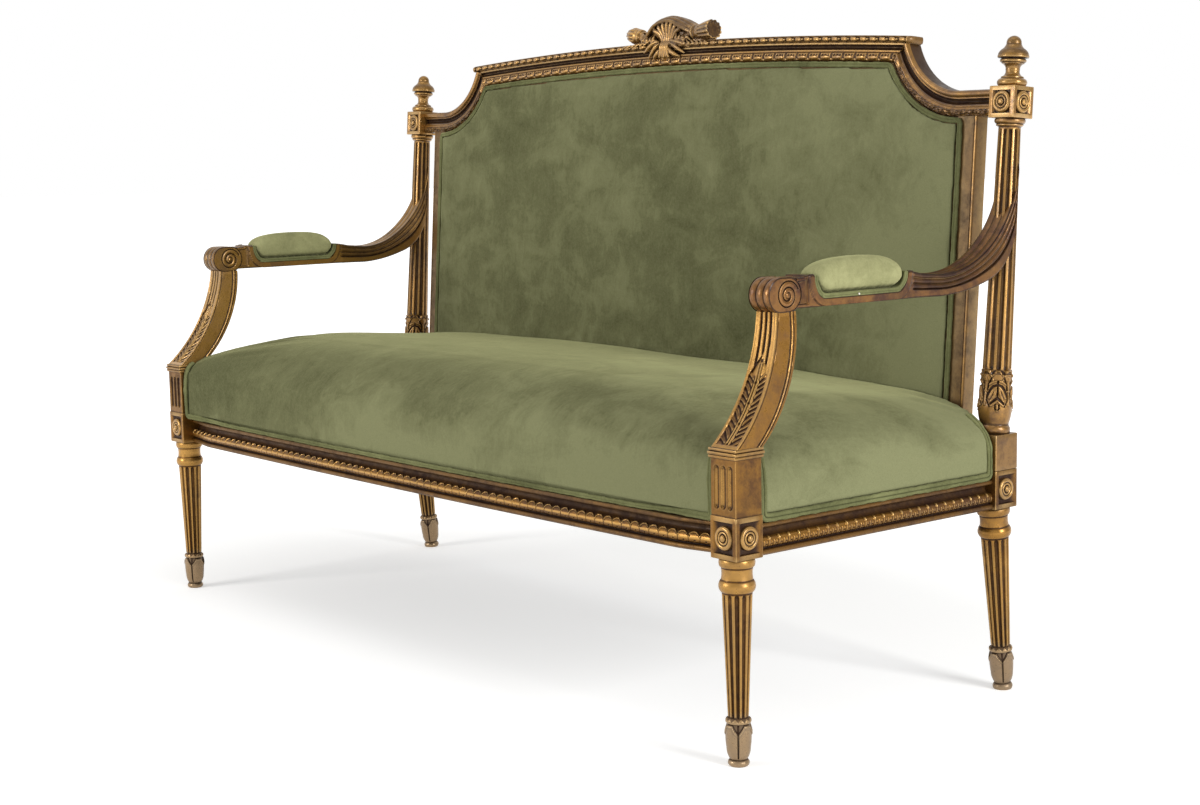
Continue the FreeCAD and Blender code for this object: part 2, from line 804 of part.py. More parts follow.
def corner_screws():
    """Two screws through each glue block, heads countersunk in its sloping face, points short of the rail."""
    screws = []
    for sx in (-1, 1):
        for corner_y, sy in ((front_inner_y, 1), (back_inner_y, -1)):
            for share in corner_screw_shares:
                x = sx * (side_inner_x - corner_block_reach * share)
                y = corner_y + sy * corner_block_reach * (1 - share)
                inward = V(sx * share, -sy * (1 - share), 0)
                inward.normalize()
                z = corner_block_z + corner_block_height / 2
                shank = Part.makeCylinder(screw_radius, corner_screw_length, V(x, y, z), inward)
                head = Part.makeCone(screw_head_radius, screw_radius, screw_head_radius, V(x, y, z), inward)
                screws.append(shank.fuse(head))
    return screws


# Back frame

def circles_meet(inset):
    """Point where the shoulder curve and the arch meet, both moved in from the moulding's inner edge."""
    r0 = shoulder_inner_radius + inset
    r1 = arch_radius - inset
    dx = shoulder_centre_x
    dh = shoulder_centre_h - arch_centre_h
    gap = math.hypot(dx, dh)
    a = (r1 * r1 - r0 * r0 + gap * gap) / (2 * gap)
    h = math.sqrt(r1 * r1 - a * a)
    ux = dx / gap
    uh = dh / gap
    return (a * ux - h * uh, arch_centre_h + a * uh + h * ux)


def back_outline(half_width, bottom, inset, y):
    """Outline of the upholstered field: square feet, concave shoulders and an arched top."""
    radius = shoulder_inner_radius + inset
    corner_h = shoulder_centre_h - math.sqrt(radius * radius - (half_width - shoulder_centre_x) ** 2)
    top_x, top_h = circles_meet(inset)
    start_angle = math.atan2(corner_h - shoulder_centre_h, half_width - shoulder_centre_x)
    end_angle = math.atan2(top_h - shoulder_centre_h, top_x - shoulder_centre_x)
    if end_angle > 0:
        end_angle -= 2 * math.pi
    mid_angle = (start_angle + end_angle) / 2
    mid_x = shoulder_centre_x + radius * math.cos(mid_angle)
    mid_h = shoulder_centre_h + radius * math.sin(mid_angle)
    arch_h = arch_inner_height - inset
    start = (-half_width, bottom)
    steps = [(half_width, bottom), (half_width, corner_h), ((mid_x, mid_h), (top_x, top_h))]
    steps += [((0, arch_h), (-top_x, top_h)), ((-mid_x, mid_h), (-half_width, corner_h))]
    return loop(start, steps, lambda u, v: V(u, leg_depth + y, post_base + v))


def moulding_outline(place, with_bead):
    """Section of the back frame's moulding: place(w, f) takes the distance outwards and forwards."""
    w1 = leaf_band_width
    w2 = w1 + inner_fillet_width
    w3 = w2 + cove_width
    w4 = flat_moulding_width
    f = frame_front
    start = place(0, -frame_back)
    outer = moulding_width if with_bead else w4
    steps = [place(outer, -frame_back), place(outer, f)]
    if with_bead:
        steps += [(place((w4 + outer) / 2, f + bead_projection), place(w4, f))]
    steps += [place(w3, f), (place((w2 + w3) / 2, f - cove_depth), place(w2, f)), place(w1, f)]
    steps += [(place(w1 / 2, f + band_projection), place(0, f - band_edge_drop))]
    return start, steps


def mitre_wedge():
    """Prism between the two mitre lines where the top rail meets the shoulders."""
    inner = circles_meet(0)
    outer = circles_meet(-flat_moulding_width)
    run = (outer[0] - inner[0], outer[1] - inner[1])
    low = (inner[0] - 4 * run[0], inner[1] - 4 * run[1])
    high = (inner[0] + 4 * run[0], inner[1] + 4 * run[1])
    depth = 4 * frame_back
    place = lambda u, v: V(u, leg_depth - depth, post_base + v)
    face = Part.Face(loop((-low[0], low[1]), [low, high, (-high[0], high[1])], place))
    return face.extrude(V(0, 2 * depth, 0))


def arch_sweep(outline, half_angle):
    """Sweep a section drawn at X 0 along the arch, to half_angle each side."""
    face = Part.Face(outline)
    centre = V(0, leg_depth, post_base + arch_centre_h)
    face.rotate(centre, V(0, 1, 0), -half_angle)
    return face.revolve(centre, V(0, 1, 0), 2 * half_angle)


def upright_top_rail():
    """Arched top rail between its mitres, before the rake."""
    place = lambda w, f: (leg_depth - f, post_base + arch_inner_height + w)
    start, steps = moulding_outline(place, False)
    reach = math.degrees(math.asin((shoulder_centre_x) / arch_radius))
    rail = arch_sweep(loop(start, steps, at_side(0)), reach)
    return rail.common(mitre_wedge())


def upright_crown():
    """Crown moulding over the top rail, its ends returned past the shoulders."""
    low = post_base + arch_inner_height + flat_moulding_width
    top = low + crown_height
    start = (leg_depth + crown_back, low)
    steps = [(leg_depth - frame_front, low), (leg_depth - frame_front, low + crown_foot_fillet)]
    nose = (leg_depth - crown_front, low + crown_height * crown_nose_share)
    steps += [(nose, (leg_depth - frame_front - crown_top_setback, top))]
    steps += [(leg_depth + crown_back, top)]
    end_x = circles_meet(-moulding_width)[0] + crown_overhang
    reach = math.degrees(math.asin(end_x / (arch_radius + moulding_width)))
    return arch_sweep(loop(start, steps, at_side(0)), reach)


def upright_shoulder():
    """Right concave shoulder from the mitre to the top block, before the rake."""
    low = post_base + shoulder_centre_h - shoulder_inner_radius
    place = lambda w, f: (leg_depth - f, low + w)
    start, steps = moulding_outline(place, True)
    outline = loop(start, steps, at_side(shoulder_centre_x))
    straight = Part.Face(outline).extrude(V(shoulder_run, 0, 0))
    centre = V(shoulder_centre_x, leg_depth, post_base + shoulder_centre_h)
    curve = Part.Face(outline).revolve(centre, V(0, 1, 0), shoulder_sweep)
    shoulder = straight.fuse(curve).removeSplitter()
    under_crown = Part.makeCylinder(arch_radius + flat_moulding_width, 8 * frame_back,
                                    V(0, leg_depth - 4 * frame_back, post_base + arch_centre_h), V(0, 1, 0))
    return shoulder.cut(mitre_wedge()).common(under_crown)


def stile():
    """Right stile from the back seat rail up to the shoulder."""
    low = rail_top - post_base - stile_tenon
    high = shoulder_centre_h - shoulder_inner_radius
    post = block(stile_inner, stile_outer, leg_depth - frame_front, leg_depth + frame_back,
                 post_base + low, post_base + high)
    flute_x = stile_outer - stile_reveal * stile_flute_share
    flute_y = leg_depth - frame_front - stile_flute_standoff
    flute = rod(flute_x, flute_y, post_base + low, stile_flute_radius, high - low)
    post = raked(post.cut(flute).cut(upright_shoulder()))
    return post.cut(square_block(stile_outer, leg_depth, leg_span, -leg_span, rail_top))


def back_bottom_rail():
    """Rail between the stiles behind the seat cushion."""
    low = -bottom_rail_drop
    rail = block(-stile_inner, stile_inner,
                 leg_depth - frame_front + bottom_rail_setback, leg_depth + frame_back - bottom_rail_setback,
                 post_base + low, post_base + low + bottom_rail_height)
    return raked(rail)


# Carved crest

def crest():
    """Shell fan under a hood, a sheaf with a collar at each side and a clasp hanging over the cove."""
    base_h = arch_inner_height + flat_moulding_width + crown_height
    base_z = post_base + base_h
    hood_y = leg_depth - crown_front - crown_top_setback
    hood = rod(0, hood_y, base_z + hood_rise - hood_radius, hood_radius, crest_depth, V(0, 1, 0))
    mouth = Part.makeCone(fan_radius, fan_radius - fan_taper, fan_sink, V(0, hood_y, base_z + crest_sink), V(0, 1, 0))
    carving = hood.cut([mouth, block(-leg_span, leg_span, 0, 2 * leg_depth, 0, base_z - crest_sink)])
    for k in range(fan_ribs):
        lean = math.radians((k - (fan_ribs - 1) / 2) * fan_rib_spread)
        out = V(math.sin(lean), 0, math.cos(lean))
        foot = V(0, hood_y + fan_sink - 1.0, base_z) + out * fan_rib_start
        reach = fan_radius - fan_rib_start - fan_rib_foot_radius
        carving = carving.fuse(Part.makeCone(fan_rib_foot_radius, fan_rib_head_radius, reach, foot, out))
    top = clasp_width / 2
    low = clasp_foot_width / 2
    low_z = base_z - clasp_drop
    outline = [(top, base_z + clasp_rise), (low, low_z), ((0, low_z - clasp_belly), (-low, low_z))]
    clasp = Part.Face(loop((-top, base_z + clasp_rise), outline, at_front(hood_y - clasp_projection)))
    carving = carving.fuse(clasp.extrude(V(0, clasp_depth, 0)))
    right = sheaf(base_z + sheaf_lift)
    carving = carving.fuse(right).fuse(mirrored(right))
    carving = carving.cut(upright_crown()).cut(upright_top_rail())
    return raked(largest(carving).removeSplitter())


def sheaf(z):
    """Right sheaf of the crest: a short root, a collar and a flared bundle with a flat cut end."""
    before = sheaf_neck_place - sheaf_collar_half
    after = sheaf_neck_place + sheaf_collar_half
    collar = (sheaf_neck_radius + sheaf_collar_rise, sheaf_neck_place)
    steps = [(sheaf_root_radius, 0), (sheaf_neck_radius, before), (collar, (sheaf_neck_radius, after))]
    steps += [(sheaf_end_radius, sheaf_length), (0, sheaf_length)]
    piece = turned((0, 0), steps)
    middle_y = leg_depth - crest_sink
    lean = FreeCAD.Rotation(V(0, 1, 0), 90 - sheaf_tilt)
    piece.Placement = FreeCAD.Placement(V(sheaf_start, middle_y, z), lean)
    return piece


# Arms

def arm_support():
    """Right arm support, sweeping back from the stump to the arm, narrower at its head."""
    front = [(support_front_mid, (support_head_front, scroll_bottom))]
    back = [(support_head_back, scroll_bottom), (support_back_mid, (support_foot_back, cap_top))]
    outline = loop((support_foot_front, cap_top), front + back, at_side(half_span - support_base_width / 2))
    body = Part.Face(outline).extrude(V(support_base_width, 0, 0))
    low = support_base_width / 2
    high = support_top_width / 2
    taper = [(half_span + low, cap_top), (half_span + high, scroll_bottom), (half_span - high, scroll_bottom)]
    wedge = Part.Face(loop((half_span - low, cap_top), taper, at_front(-leg_depth))).extrude(V(0, 2 * leg_depth, 0))
    body = body.common(wedge)
    dowel = rod(half_span, 0, cap_top - dowel_reach, dowel_radius, arm_dowel_length)
    hole_z = scroll_bottom - dowel_reach - joint_gap
    head_hole = rod(half_span, arm_dowel_place, hole_z, dowel_radius + joint_gap, 2 * dowel_reach)
    return body.fuse(dowel).cut(head_hole)


def cup_line(rise):
    """Steps along the dished cup of the arm from its front lip to its back lip, raised by rise."""
    front = cup_front + rise
    back = cup_back - rise
    floor = cup_floor + rise
    low_front = front + cup_slope_run
    low_back = back - cup_slope_run
    down = bent((front, cup_lip), (0, -1), (low_front, floor), (1, 0))
    up = bent((low_back, floor), (1, 0), (back, cup_lip - cup_back_drop), (0, 1))
    return (front, cup_lip), down + [(low_back, floor)] + up


def column_at(z):
    """Depth of the post's axis at height z."""
    return leg_depth + math.tan(math.radians(back_rake)) * (z - post_base)


def arm():
    """Right arm: scrolled hand end, dished cup, and a tail that sweeps up into the post."""
    rake_slope = math.tan(math.radians(back_rake))
    top_y = column_at(arm_merge_height)
    under_y = column_at(arm_under_merge_height)
    lip, cup = cup_line(0)
    start = (arm_underside_start, arm_underside)
    steps = [(arm_rise_start, arm_underside)]
    under_end = (under_y, arm_under_merge_height)
    steps += bent((arm_rise_start, arm_underside), (1, arm_rise_slope), under_end, (rake_slope, 1))
    steps += [(top_y, arm_merge_height)]
    steps += bent((top_y, arm_merge_height), (-rake_slope, -1), (arm_rise_start, arm_rear_top), (-1, 0))
    steps += [(cup_back, cup_lip - cup_back_drop)]
    steps += reversed_steps(lip, cup)
    scroll_mid = (scroll_top + scroll_bottom) / 2
    front_flat = scroll_front + scroll_front_run
    steps += [(front_flat, scroll_top)]
    steps += [((scroll_front, scroll_mid), (front_flat, scroll_bottom)), (scroll_heel, scroll_bottom)]
    outline = loop(start, steps, at_side(half_span - arm_width / 2))
    body = Part.Face(outline).extrude(V(arm_width, 0, 0))
    column = Part.makeCone(column_foot_radius + joint_gap, column_head_radius + joint_gap, column_length,
                           V(half_span, leg_depth, post_base + post_column_start))
    body = body.cut(raked(column))
    behind = block(-leg_span, leg_span, leg_depth, leg_depth * 2, post_base, post_base + leg_span)
    body = body.cut(raked(behind))
    scroll_y = front_flat + scroll_eye_setback
    for side in (-1, 1):
        face_x = half_span + side * arm_width / 2
        start_x = min(face_x, face_x - side * scroll_groove_depth)
        ring = rod(start_x, scroll_y, scroll_mid, scroll_groove_outer, scroll_groove_depth, V(1, 0, 0))
        ring = ring.cut(rod(start_x, scroll_y, scroll_mid, scroll_groove_inner, scroll_groove_depth, V(1, 0, 0)))
        body = body.cut(ring)
    dowel = rod(half_span, arm_dowel_place, scroll_bottom - dowel_reach, dowel_radius, arm_dowel_length)
    return largest(body).fuse(dowel)


def reversed_steps(start, steps):
    """The same chain walked from its end back to start."""
    ends = [start] + [s[1] if isinstance(s[0], tuple) else s for s in steps]
    back = []
    for k in range(len(steps) - 1, -1, -1):
        step = steps[k]
        if isinstance(step[0], tuple):
            back.append((step[0], ends[k]))
        else:
            back.append(ends[k])
    return back


def largest(shape):
    return sorted(shape.Solids, key=lambda s: s.Volume)[-1]


def arm_welt():
    """Right arm pad's welting, lining the dished cup under the pad."""
    outer_start, outer = cup_line(fit_gap)
    inner_start, inner = cup_line(fit_gap + arm_welt_thickness)
    inner_end = inner[-1][1]
    steps = outer + [inner_end] + reversed_steps(inner_start, inner)
    outline = loop(outer_start, steps, at_side(half_span - arm_width / 2))
    return Part.Face(outline).extrude(V(arm_width, 0, 0))


def arm_pad():
    """Right arm pad, crowned along and across."""
    start, line = cup_line(2 * fit_gap + arm_welt_thickness)
    end = line[-1][1]
    middle = (start[0] + end[0]) / 2
    crown = ((middle, arm_pad_crown), start)
    outline = Part.Wire(chain(start, line + [crown], at_side(half_span - arm_pad_width)))
    along = Part.Face(outline).extrude(V(2 * arm_pad_width, 0, 0))
    half = arm_pad_width / 2
    low = cup_floor
    widest = low + arm_pad_widest
    shoulder = low + arm_pad_shoulder
    foot_x = half - arm_pad_foot_inset
    shoulder_x = half - arm_pad_shoulder_inset
    steps = [(half_span + foot_x, low), ((half_span + half, widest), (half_span + shoulder_x, shoulder))]
    steps += [((half_span, arm_pad_crown), (half_span - shoulder_x, shoulder))]
    steps += [((half_span - half, widest), (half_span - foot_x, low))]
    cross = Part.Face(Part.Wire(chain((half_span - foot_x, low), steps, at_front(0)))).extrude(V(0, leg_depth, 0))
    return along.common(cross)


def arm_tack():
    """Tack in the outer side of the right arm pad."""
    x = half_span + arm_width / 2
    z = cup_floor + fit_gap + arm_welt_thickness / 2
    return Part.makeCone(tack_radius, tack_tip_radius, tack_height, V(x, tack_place, z), V(1, 0, 0))


# Seat upholstery

def seat_top(x, crown, side, half_width):
    """Height of the seat's crown at x."""
    share = min(abs(x) / half_width, 1.0)
    return side + (crown - side) * (1 - share ** seat_dome_sharpness) ** seat_dome_fullness


def front_line(x):
    """Depth of the front rail's face at x, for the cushion that follows it."""
    end_x = half_span - half_block
    knee_x = end_x - front_rail_return
    reach = min(abs(x), end_x)
    if reach <= knee_x:
        return -front_rail_bow + (front_rail_bow - front_rail_shoulder_bow) * (reach / knee_x) ** 2
    share = (reach - knee_x) / (end_x - knee_x)
    ease = share * share * (3 - 2 * share)
    return -front_rail_shoulder_bow + (front_rail_shoulder_bow - front_rail_end_bow) * ease


def seat_section(x, inset, half_width):
    """Side outline of the cushion at x: drawn-in foot, bulging front, round shoulder and crowned top."""
    z0 = rail_top
    crown = seat_top(x, seat_crown_height - inset, seat_side_height - inset, half_width)
    foot = front_line(x) + welt_thickness + seat_foot_setback + inset
    rise = crown - z0
    knee = (foot + seat_front_shoulder, z0 + rise * seat_knee_share)
    shoulder = (foot - 1.0, z0 + rise * seat_shoulder_share)
    back_z = crown - seat_back_drop * rise / (seat_crown_height - z0)
    middle = ((knee[0] + leg_depth) / 2, crown)
    turn = (foot + seat_front_shoulder * 0.36, (shoulder[1] + knee[1]) / 2 + rise * 0.04)
    steps = [(foot, z0), ((foot - seat_bulge, z0 + rise * seat_bulge_share), shoulder)]
    steps += [(turn, knee), (middle, (leg_depth, back_z))]
    return loop((leg_depth, z0), steps, at_side(x))


def seat_body(inset):
    """Domed cushion before it is trimmed round the posts."""
    half_width = cushion_half_width - inset
    sections = []
    for k in range(seat_sections + 1):
        angle = math.pi * (k / seat_sections - 0.5)
        sections.append(seat_section(half_width * math.sin(angle), inset, half_width))
    return Part.makeLoft(sections, True, False)


def seat_trims(gap):
    """Cutters that keep the seat upholstery clear of the stumps, the rear blocks and the back."""
    high = seat_crown_height + leg_depth
    trims = []
    for sx in (-1, 1):
        inner = half_span - half_block - gap
        outer = half_span + 2 * block_width
        x0 = min(sx * inner, sx * outer)
        x1 = max(sx * inner, sx * outer)
        trims.append(block(x0, x1, -leg_depth, half_block + gap, 0, high))
        trims.append(block(x0, x1, leg_depth - half_block - gap, 2 * leg_depth, 0, high))
    front = leg_depth - frame_front - back_pad_thickness - gap - fit_gap
    behind = block(-leg_span, leg_span, front, front + 2 * leg_depth, -leg_depth, high)
    trims.append(raked(behind))
    return trims


spring_bay_front = -front_rail_shoulder_bow + welt_thickness + spring_bay_margin
spring_bay_half_width = half_span - half_block - spring_bay_inset
spring_deck = rail_top + 2 * spring_wire_radius
burlap_top = spring_deck + burlap_thickness


def spring_bay(top):
    """Space over the rails that holds the springs and the burlap."""
    return block(-spring_bay_half_width, spring_bay_half_width, spring_bay_front, 2 * leg_depth, 0, top)


def seat_foam():
    """Padding over the burlap, inside the cover."""
    core = seat_body(seat_cover_thickness)
    core = core.cut(seat_trims(seat_cover_thickness))
    low = block(-leg_span, leg_span, -leg_depth, 2 * leg_depth, 0, burlap_top + fit_gap)
    return largest(core.cut(low))


def seat_cover():
    """Velvet cover and its wadding over the padding."""
    body = seat_body(0).cut(seat_trims(fit_gap) + welt_channels())
    core = seat_body(seat_cover_thickness - fit_gap)
    core = core.cut(seat_trims(seat_cover_thickness - fit_gap))
    floor = block(-leg_span, leg_span, -leg_depth, 2 * leg_depth, 0, burlap_top)
    core = core.cut(floor)
    return largest(body.cut([core, spring_bay(burlap_top + fit_gap)]))


def channel_face(place):
    """Section of the space that the double welt needs at the cushion's foot."""
    low = rail_top - welt_height
    high = rail_top + welt_height + fit_gap
    inner = welt_thickness + fit_gap
    return Part.Face(loop((-inner, low), [(inner, low), (inner, high), (-inner, high)], place))


def welt_channels():
    """Cutters along the foot of the cushion where the double welt lies."""
    start, steps = front_rail_path(rail_fillet_projection)
    x = side_rail_face - rail_fillet_projection
    right = swept((x, 0), [(x, leg_depth)], channel_face)
    return [swept(start, steps, channel_face), right, mirrored(right)]


def seat_burlap():
    """Burlap sheet over the springs."""
    sheet = block(-spring_bay_half_width, spring_bay_half_width, spring_bay_front, leg_depth, spring_deck, burlap_top)
    return largest(sheet.cut(seat_trims(fit_gap)))


def zigzag_spring(x):
    """Bent wire spring from the front rail to the back rail, flat on their tops."""
    z = rail_top + spring_wire_radius
    first = spring_bay_front + spring_end_margin
    pitch = 2 * spring_bend_radius
    count = int((back_inner_y + spring_rear_bearing - first) / pitch)
    half = spring_width / 2 - spring_bend_radius
    here = (x - half, first)
    side = 1
    steps = []
    for k in range(count):
        y = first + k * pitch
        end = (x + side * half, y)
        steps.append(end)
        turn = (x + side * (half + spring_bend_radius), y + spring_bend_radius)
        steps.append((turn, (x + side * half, y + pitch)))
        side = -side
    steps.append((x + side * half, first + count * pitch))

    def wire_section(place):
        ring = place(0, z)
        across = place(1, z) - ring
        return Part.Face(Part.Wire(Part.makeCircle(spring_wire_radius, ring, across.cross(V(0, 0, 1)))))

    return swept(here, steps, wire_section)


def seat_springs():
    """Zigzag springs spread evenly across the seat."""
    springs = []
    pitch = 2 * spring_bay_half_width / spring_count
    for k in range(spring_count):
        springs.append(zigzag_spring((k - (spring_count - 1) / 2) * pitch))
    return springs


def welt_face(place):
    """Section of the seat's double welt: place(u, z) lies u in from the rail's upper edge."""
    low = rail_top
    mid = low + welt_height / 2
    high = low + welt_height
    edge = welt_valley
    steps = [((0, (low + mid) / 2), (edge, mid)), ((0, (mid + high) / 2), (edge, high))]
    steps += [(welt_thickness, high), (welt_thickness, low)]
    return Part.Face(loop((edge, low), steps, place))


def seat_welts():
    """Double welt lying on the rails along the front and both sides."""
    start, steps = front_rail_path(rail_fillet_projection)
    run = half_span - half_block - fit_gap
    front = swept(start, steps, welt_face).common(block(-run, run, -leg_depth, leg_depth, 0, leg_depth))
    x = side_rail_face - rail_fillet_projection
    right = swept((x, half_block + fit_gap), [(x, leg_depth - half_block - fit_gap)], welt_face)
    return [front, right, mirrored(right)]


def dust_cover():
    """Black cloth tacked under the seat rails."""
    half = half_span - half_block - dust_cover_margin
    front = -front_rail_end_bow + dust_cover_margin
    rear = back_inner_y + back_rail_thickness - dust_cover_margin
    return block(-half, half, front, rear, rail_bottom - dust_cover_thickness, rail_bottom)


# Back upholstery

def back_field(inset, depth_steps):
    """Padded field of the back: outlines that draw in as they come forward."""
    wires = []
    for extra, forward in depth_steps:
        total = inset + extra
        wires.append(back_outline(pad_half_width - total, -bottom_rail_drop + total, total, -frame_front - forward))
    return Part.makeLoft(wires, True, False)


def back_cover():
    """Velvet cover of the back with its shallow crown."""
    inset = back_welt_width + 2 * fit_gap
    steps = [(edge * back_pad_edge, max(rise * back_pad_thickness, fit_gap)) for edge, rise in back_pad_steps]
    body = back_field(inset, steps)
    return raked(body.cut(back_foam_body(fit_gap)))


def back_foam_body(grow):
    """Flat padding behind the cover, before the rake."""
    inset = back_welt_width + back_foam_margin - grow
    outline = back_outline(pad_half_width - inset, -bottom_rail_drop + inset, inset, -frame_front - fit_gap)
    thickness = back_pad_thickness * back_foam_share - fit_gap + grow
    return Part.Face(outline).extrude(V(0, -thickness, 0))


def back_foam():
    return raked(back_foam_body(0))


def back_welt():
    """Double welt round the upholstered field of the back."""
    gap = fit_gap
    outer = Part.Face(back_outline(pad_half_width - gap, -bottom_rail_drop + gap, gap, -frame_front - gap))
    inset = gap + back_welt_width
    inner = Part.Face(back_outline(pad_half_width - inset, -bottom_rail_drop + inset, inset, -frame_front - gap))
    ring = outer.cut(inner).extrude(V(0, -back_welt_thickness, 0))
    return raked(ring)


def back_opening(depth, thickness):
    """Sheet that fills the opening of the back frame at the given depth behind the frame's front."""
    half = stile_inner - fit_gap
    low = bottom_rail_height - bottom_rail_drop + fit_gap
    outline = back_outline(half, low, fit_gap, -frame_front + depth)
    return Part.Face(outline).extrude(V(0, thickness, 0))


def back_burlap():
    return raked(back_opening(0, burlap_thickness))


def back_webbing():
    """Woven straps behind the burlap: uprights first, crossings behind them."""
    low = post_base - bottom_rail_drop
    high = post_base + arch_inner_height
    straps = []
    sheet = back_opening(burlap_thickness, webbing_thickness)
    for k in range(webbing_uprights):
        x = (k - (webbing_uprights - 1) / 2) * 2 * stile_inner / (webbing_uprights + 0.5)
        strip = block(x - webbing_width / 2, x + webbing_width / 2, 0, 2 * leg_depth, low, high)
        straps.append(raked(sheet.common(strip)))
    sheet = back_opening(burlap_thickness + webbing_thickness, webbing_thickness)
    for k in range(webbing_crossings):
        z = post_base + webbing_low_crossing + k * webbing_crossing_run / (webbing_crossings - 1)
        strip = block(-leg_span, leg_span, 0, 2 * leg_depth, z - webbing_width / 2, z + webbing_width / 2)
        straps.append(raked(sheet.common(strip)))
    return [s for strap in straps for s in strap.Solids]


def outside_back():
    """Velvet panel over the rear of the back frame."""
    low = back_cover_foot - bottom_rail_drop
    outline = back_outline(stile_inner + back_cover_margin, low, -back_cover_margin, frame_back)
    return raked(Part.Face(outline).extrude(V(0, back_cover_thickness, 0)))


def post_dowels(sx):
    """Dowels between a rear leg and its post."""
    pins = []
    for y in post_dowel_places():
        pins.append(rod(sx * half_span, y, block_top - dowel_reach, dowel_radius, dowel_reach * 2))
    return pins


# Rosettes

def front_rosettes():
    """Two rosettes of the right front block, on its front and on its outer side."""
    middle = rail_bottom + block_height / 2
    return [rosette_on(half_span, -half_block, middle, V(0, -1, 0)),
            rosette_on(half_span + half_block, 0, middle, V(1, 0, 0))]


def rear_rosette():
    return rosette_on(half_span + half_block, leg_depth, rail_bottom + block_height / 2, V(1, 0, 0))


def top_rosettes():
    """Two rosettes of the right top block."""
    middle = post_base + top_block_start + top_block_height / 2
    pair = [rosette_on(half_span, leg_depth - half_top_block, middle, V(0, -1, 0)),
            rosette_on(half_span + half_top_block, leg_depth, middle, V(1, 0, 0))]
    return [raked(piece) for piece in pair]


# Assembly

nodes = {}


def pair(name, shapes):
    """Keep the right-hand piece or pieces and their mirror images as two nodes."""
    solids = shapes if isinstance(shapes, list) else [shapes]
    nodes[name + "_right"] = solids
    nodes[name + "_left"] = [mirrored(s) for s in solids]


pair("front_leg", front_leg())
pair("rear_leg", rear_leg())
pair("back_post", back_post())
pair("finial", finial())
pair("front_rosettes", front_rosettes())
pair("rear_rosette", rear_rosette())
pair("top_rosettes", top_rosettes())
nodes["front_seat_rail"] = [front_seat_rail()]
pair("side_seat_rail", side_seat_rail())
nodes["back_seat_rail"] = [back_seat_rail()]
nodes["corner_blocks"] = corner_blocks()
nodes["corner_block_screws"] = corner_screws()
nodes["post_dowels"] = post_dowels(-1) + post_dowels(1)
pair("arm_support", arm_support())
pair("arm", arm())
pair("arm_pad_welt", arm_welt())
pair("arm_pad", arm_pad())
pair("arm_pad_tack", arm_tack())
nodes["back_top_rail"] = [raked(upright_top_rail())]
nodes["back_crown_moulding"] = [raked(upright_crown())]
pair("back_shoulder", raked(upright_shoulder()))
pair("back_stile", stile())
nodes["back_bottom_rail"] = [back_bottom_rail()]
nodes["crest_carving"] = [crest()]
nodes["seat_springs"] = seat_springs()
nodes["seat_burlap"] = [seat_burlap()]
nodes["seat_padding"] = [seat_foam()]
nodes["seat_cover"] = [seat_cover()]
nodes["seat_welt"] = seat_welts()
nodes["seat_dust_cover"] = [dust_cover()]
nodes["back_webbing"] = back_webbing()
nodes["back_burlap"] = [back_burlap()]
nodes["back_padding"] = [back_foam()]
nodes["back_cover"] = [back_cover()]
nodes["back_welt"] = [back_welt()]
nodes["outside_back_cover"] = [outside_back()]

# The origin goes to the middle of the base
whole = Part.makeCompound([s for solids in nodes.values() for s in solids])
box = whole.optimalBoundingBox(True, False)
origin = V((box.XMin + box.XMax) / 2, (box.YMin + box.YMax) / 2, box.ZMin)
for name, solids in nodes.items():
    placed = []
    for solid in solids:
        moved = solid.copy()
        moved.translate(-origin)
        placed += moved.Solids
    shape = placed[0] if len(placed) == 1 else Part.makeCompound(placed)
    shape.exportStep("parts/" + name + ".step")
    print(name, "solids", len(placed), "valid", shape.isValid(), "volume", round(shape.Volume))
print("front leg axis at Y", round(-origin.y, 3))
print("size", round(box.XLength, 2), round(box.YLength, 2), round(box.ZLength, 2))
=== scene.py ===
import math
import bpy
import numpy as np
from mathutils import Matrix, Vector


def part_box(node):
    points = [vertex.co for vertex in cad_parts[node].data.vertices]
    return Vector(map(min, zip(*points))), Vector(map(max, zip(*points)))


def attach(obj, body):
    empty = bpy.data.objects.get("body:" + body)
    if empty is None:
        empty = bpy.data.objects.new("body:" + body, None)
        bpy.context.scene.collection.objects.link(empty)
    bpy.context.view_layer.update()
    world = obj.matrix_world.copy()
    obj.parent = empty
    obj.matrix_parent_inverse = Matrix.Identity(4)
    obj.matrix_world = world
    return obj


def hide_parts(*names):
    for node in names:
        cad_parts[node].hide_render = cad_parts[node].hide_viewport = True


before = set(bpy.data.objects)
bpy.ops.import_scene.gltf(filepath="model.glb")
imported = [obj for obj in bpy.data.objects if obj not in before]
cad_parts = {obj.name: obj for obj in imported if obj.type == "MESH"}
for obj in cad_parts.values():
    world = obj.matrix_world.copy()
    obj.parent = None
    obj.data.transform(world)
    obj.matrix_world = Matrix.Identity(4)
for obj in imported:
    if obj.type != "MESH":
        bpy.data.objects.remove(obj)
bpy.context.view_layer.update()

# The settee's shapes are worked out in millimetres, with Y from the front leg axes and Z from the
# floor, and go to metres in the frame's own place. Back pieces are drawn upright and then leaned.
MM = 0.001
leg_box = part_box("front_leg_right")
leg_y = (leg_box[0].y + leg_box[1].y) / 2

# Layout
SPAN = 764.0
DEPTH = 533.0
RAIL_LOW = 287.0
RAIL_TOP = 331.0
BLOCK = 25.0
BLOCK_TOP = 345.0
STUMP = 24.0
STUMP_TOP = 422.6
CAP_TOP = 437.0
POST_BASE = 399.0
RAKE = math.radians(4.0)
SPLAY = math.radians(5.2)
SIDE_FACE = 784.0
COLUMN_LOW = 89.0
COLUMN_HIGH = 455.0
TOP_BLOCK_LOW = 468.0
TOP_BLOCK_HIGH = 515.0
TOP_BLOCK = 23.1

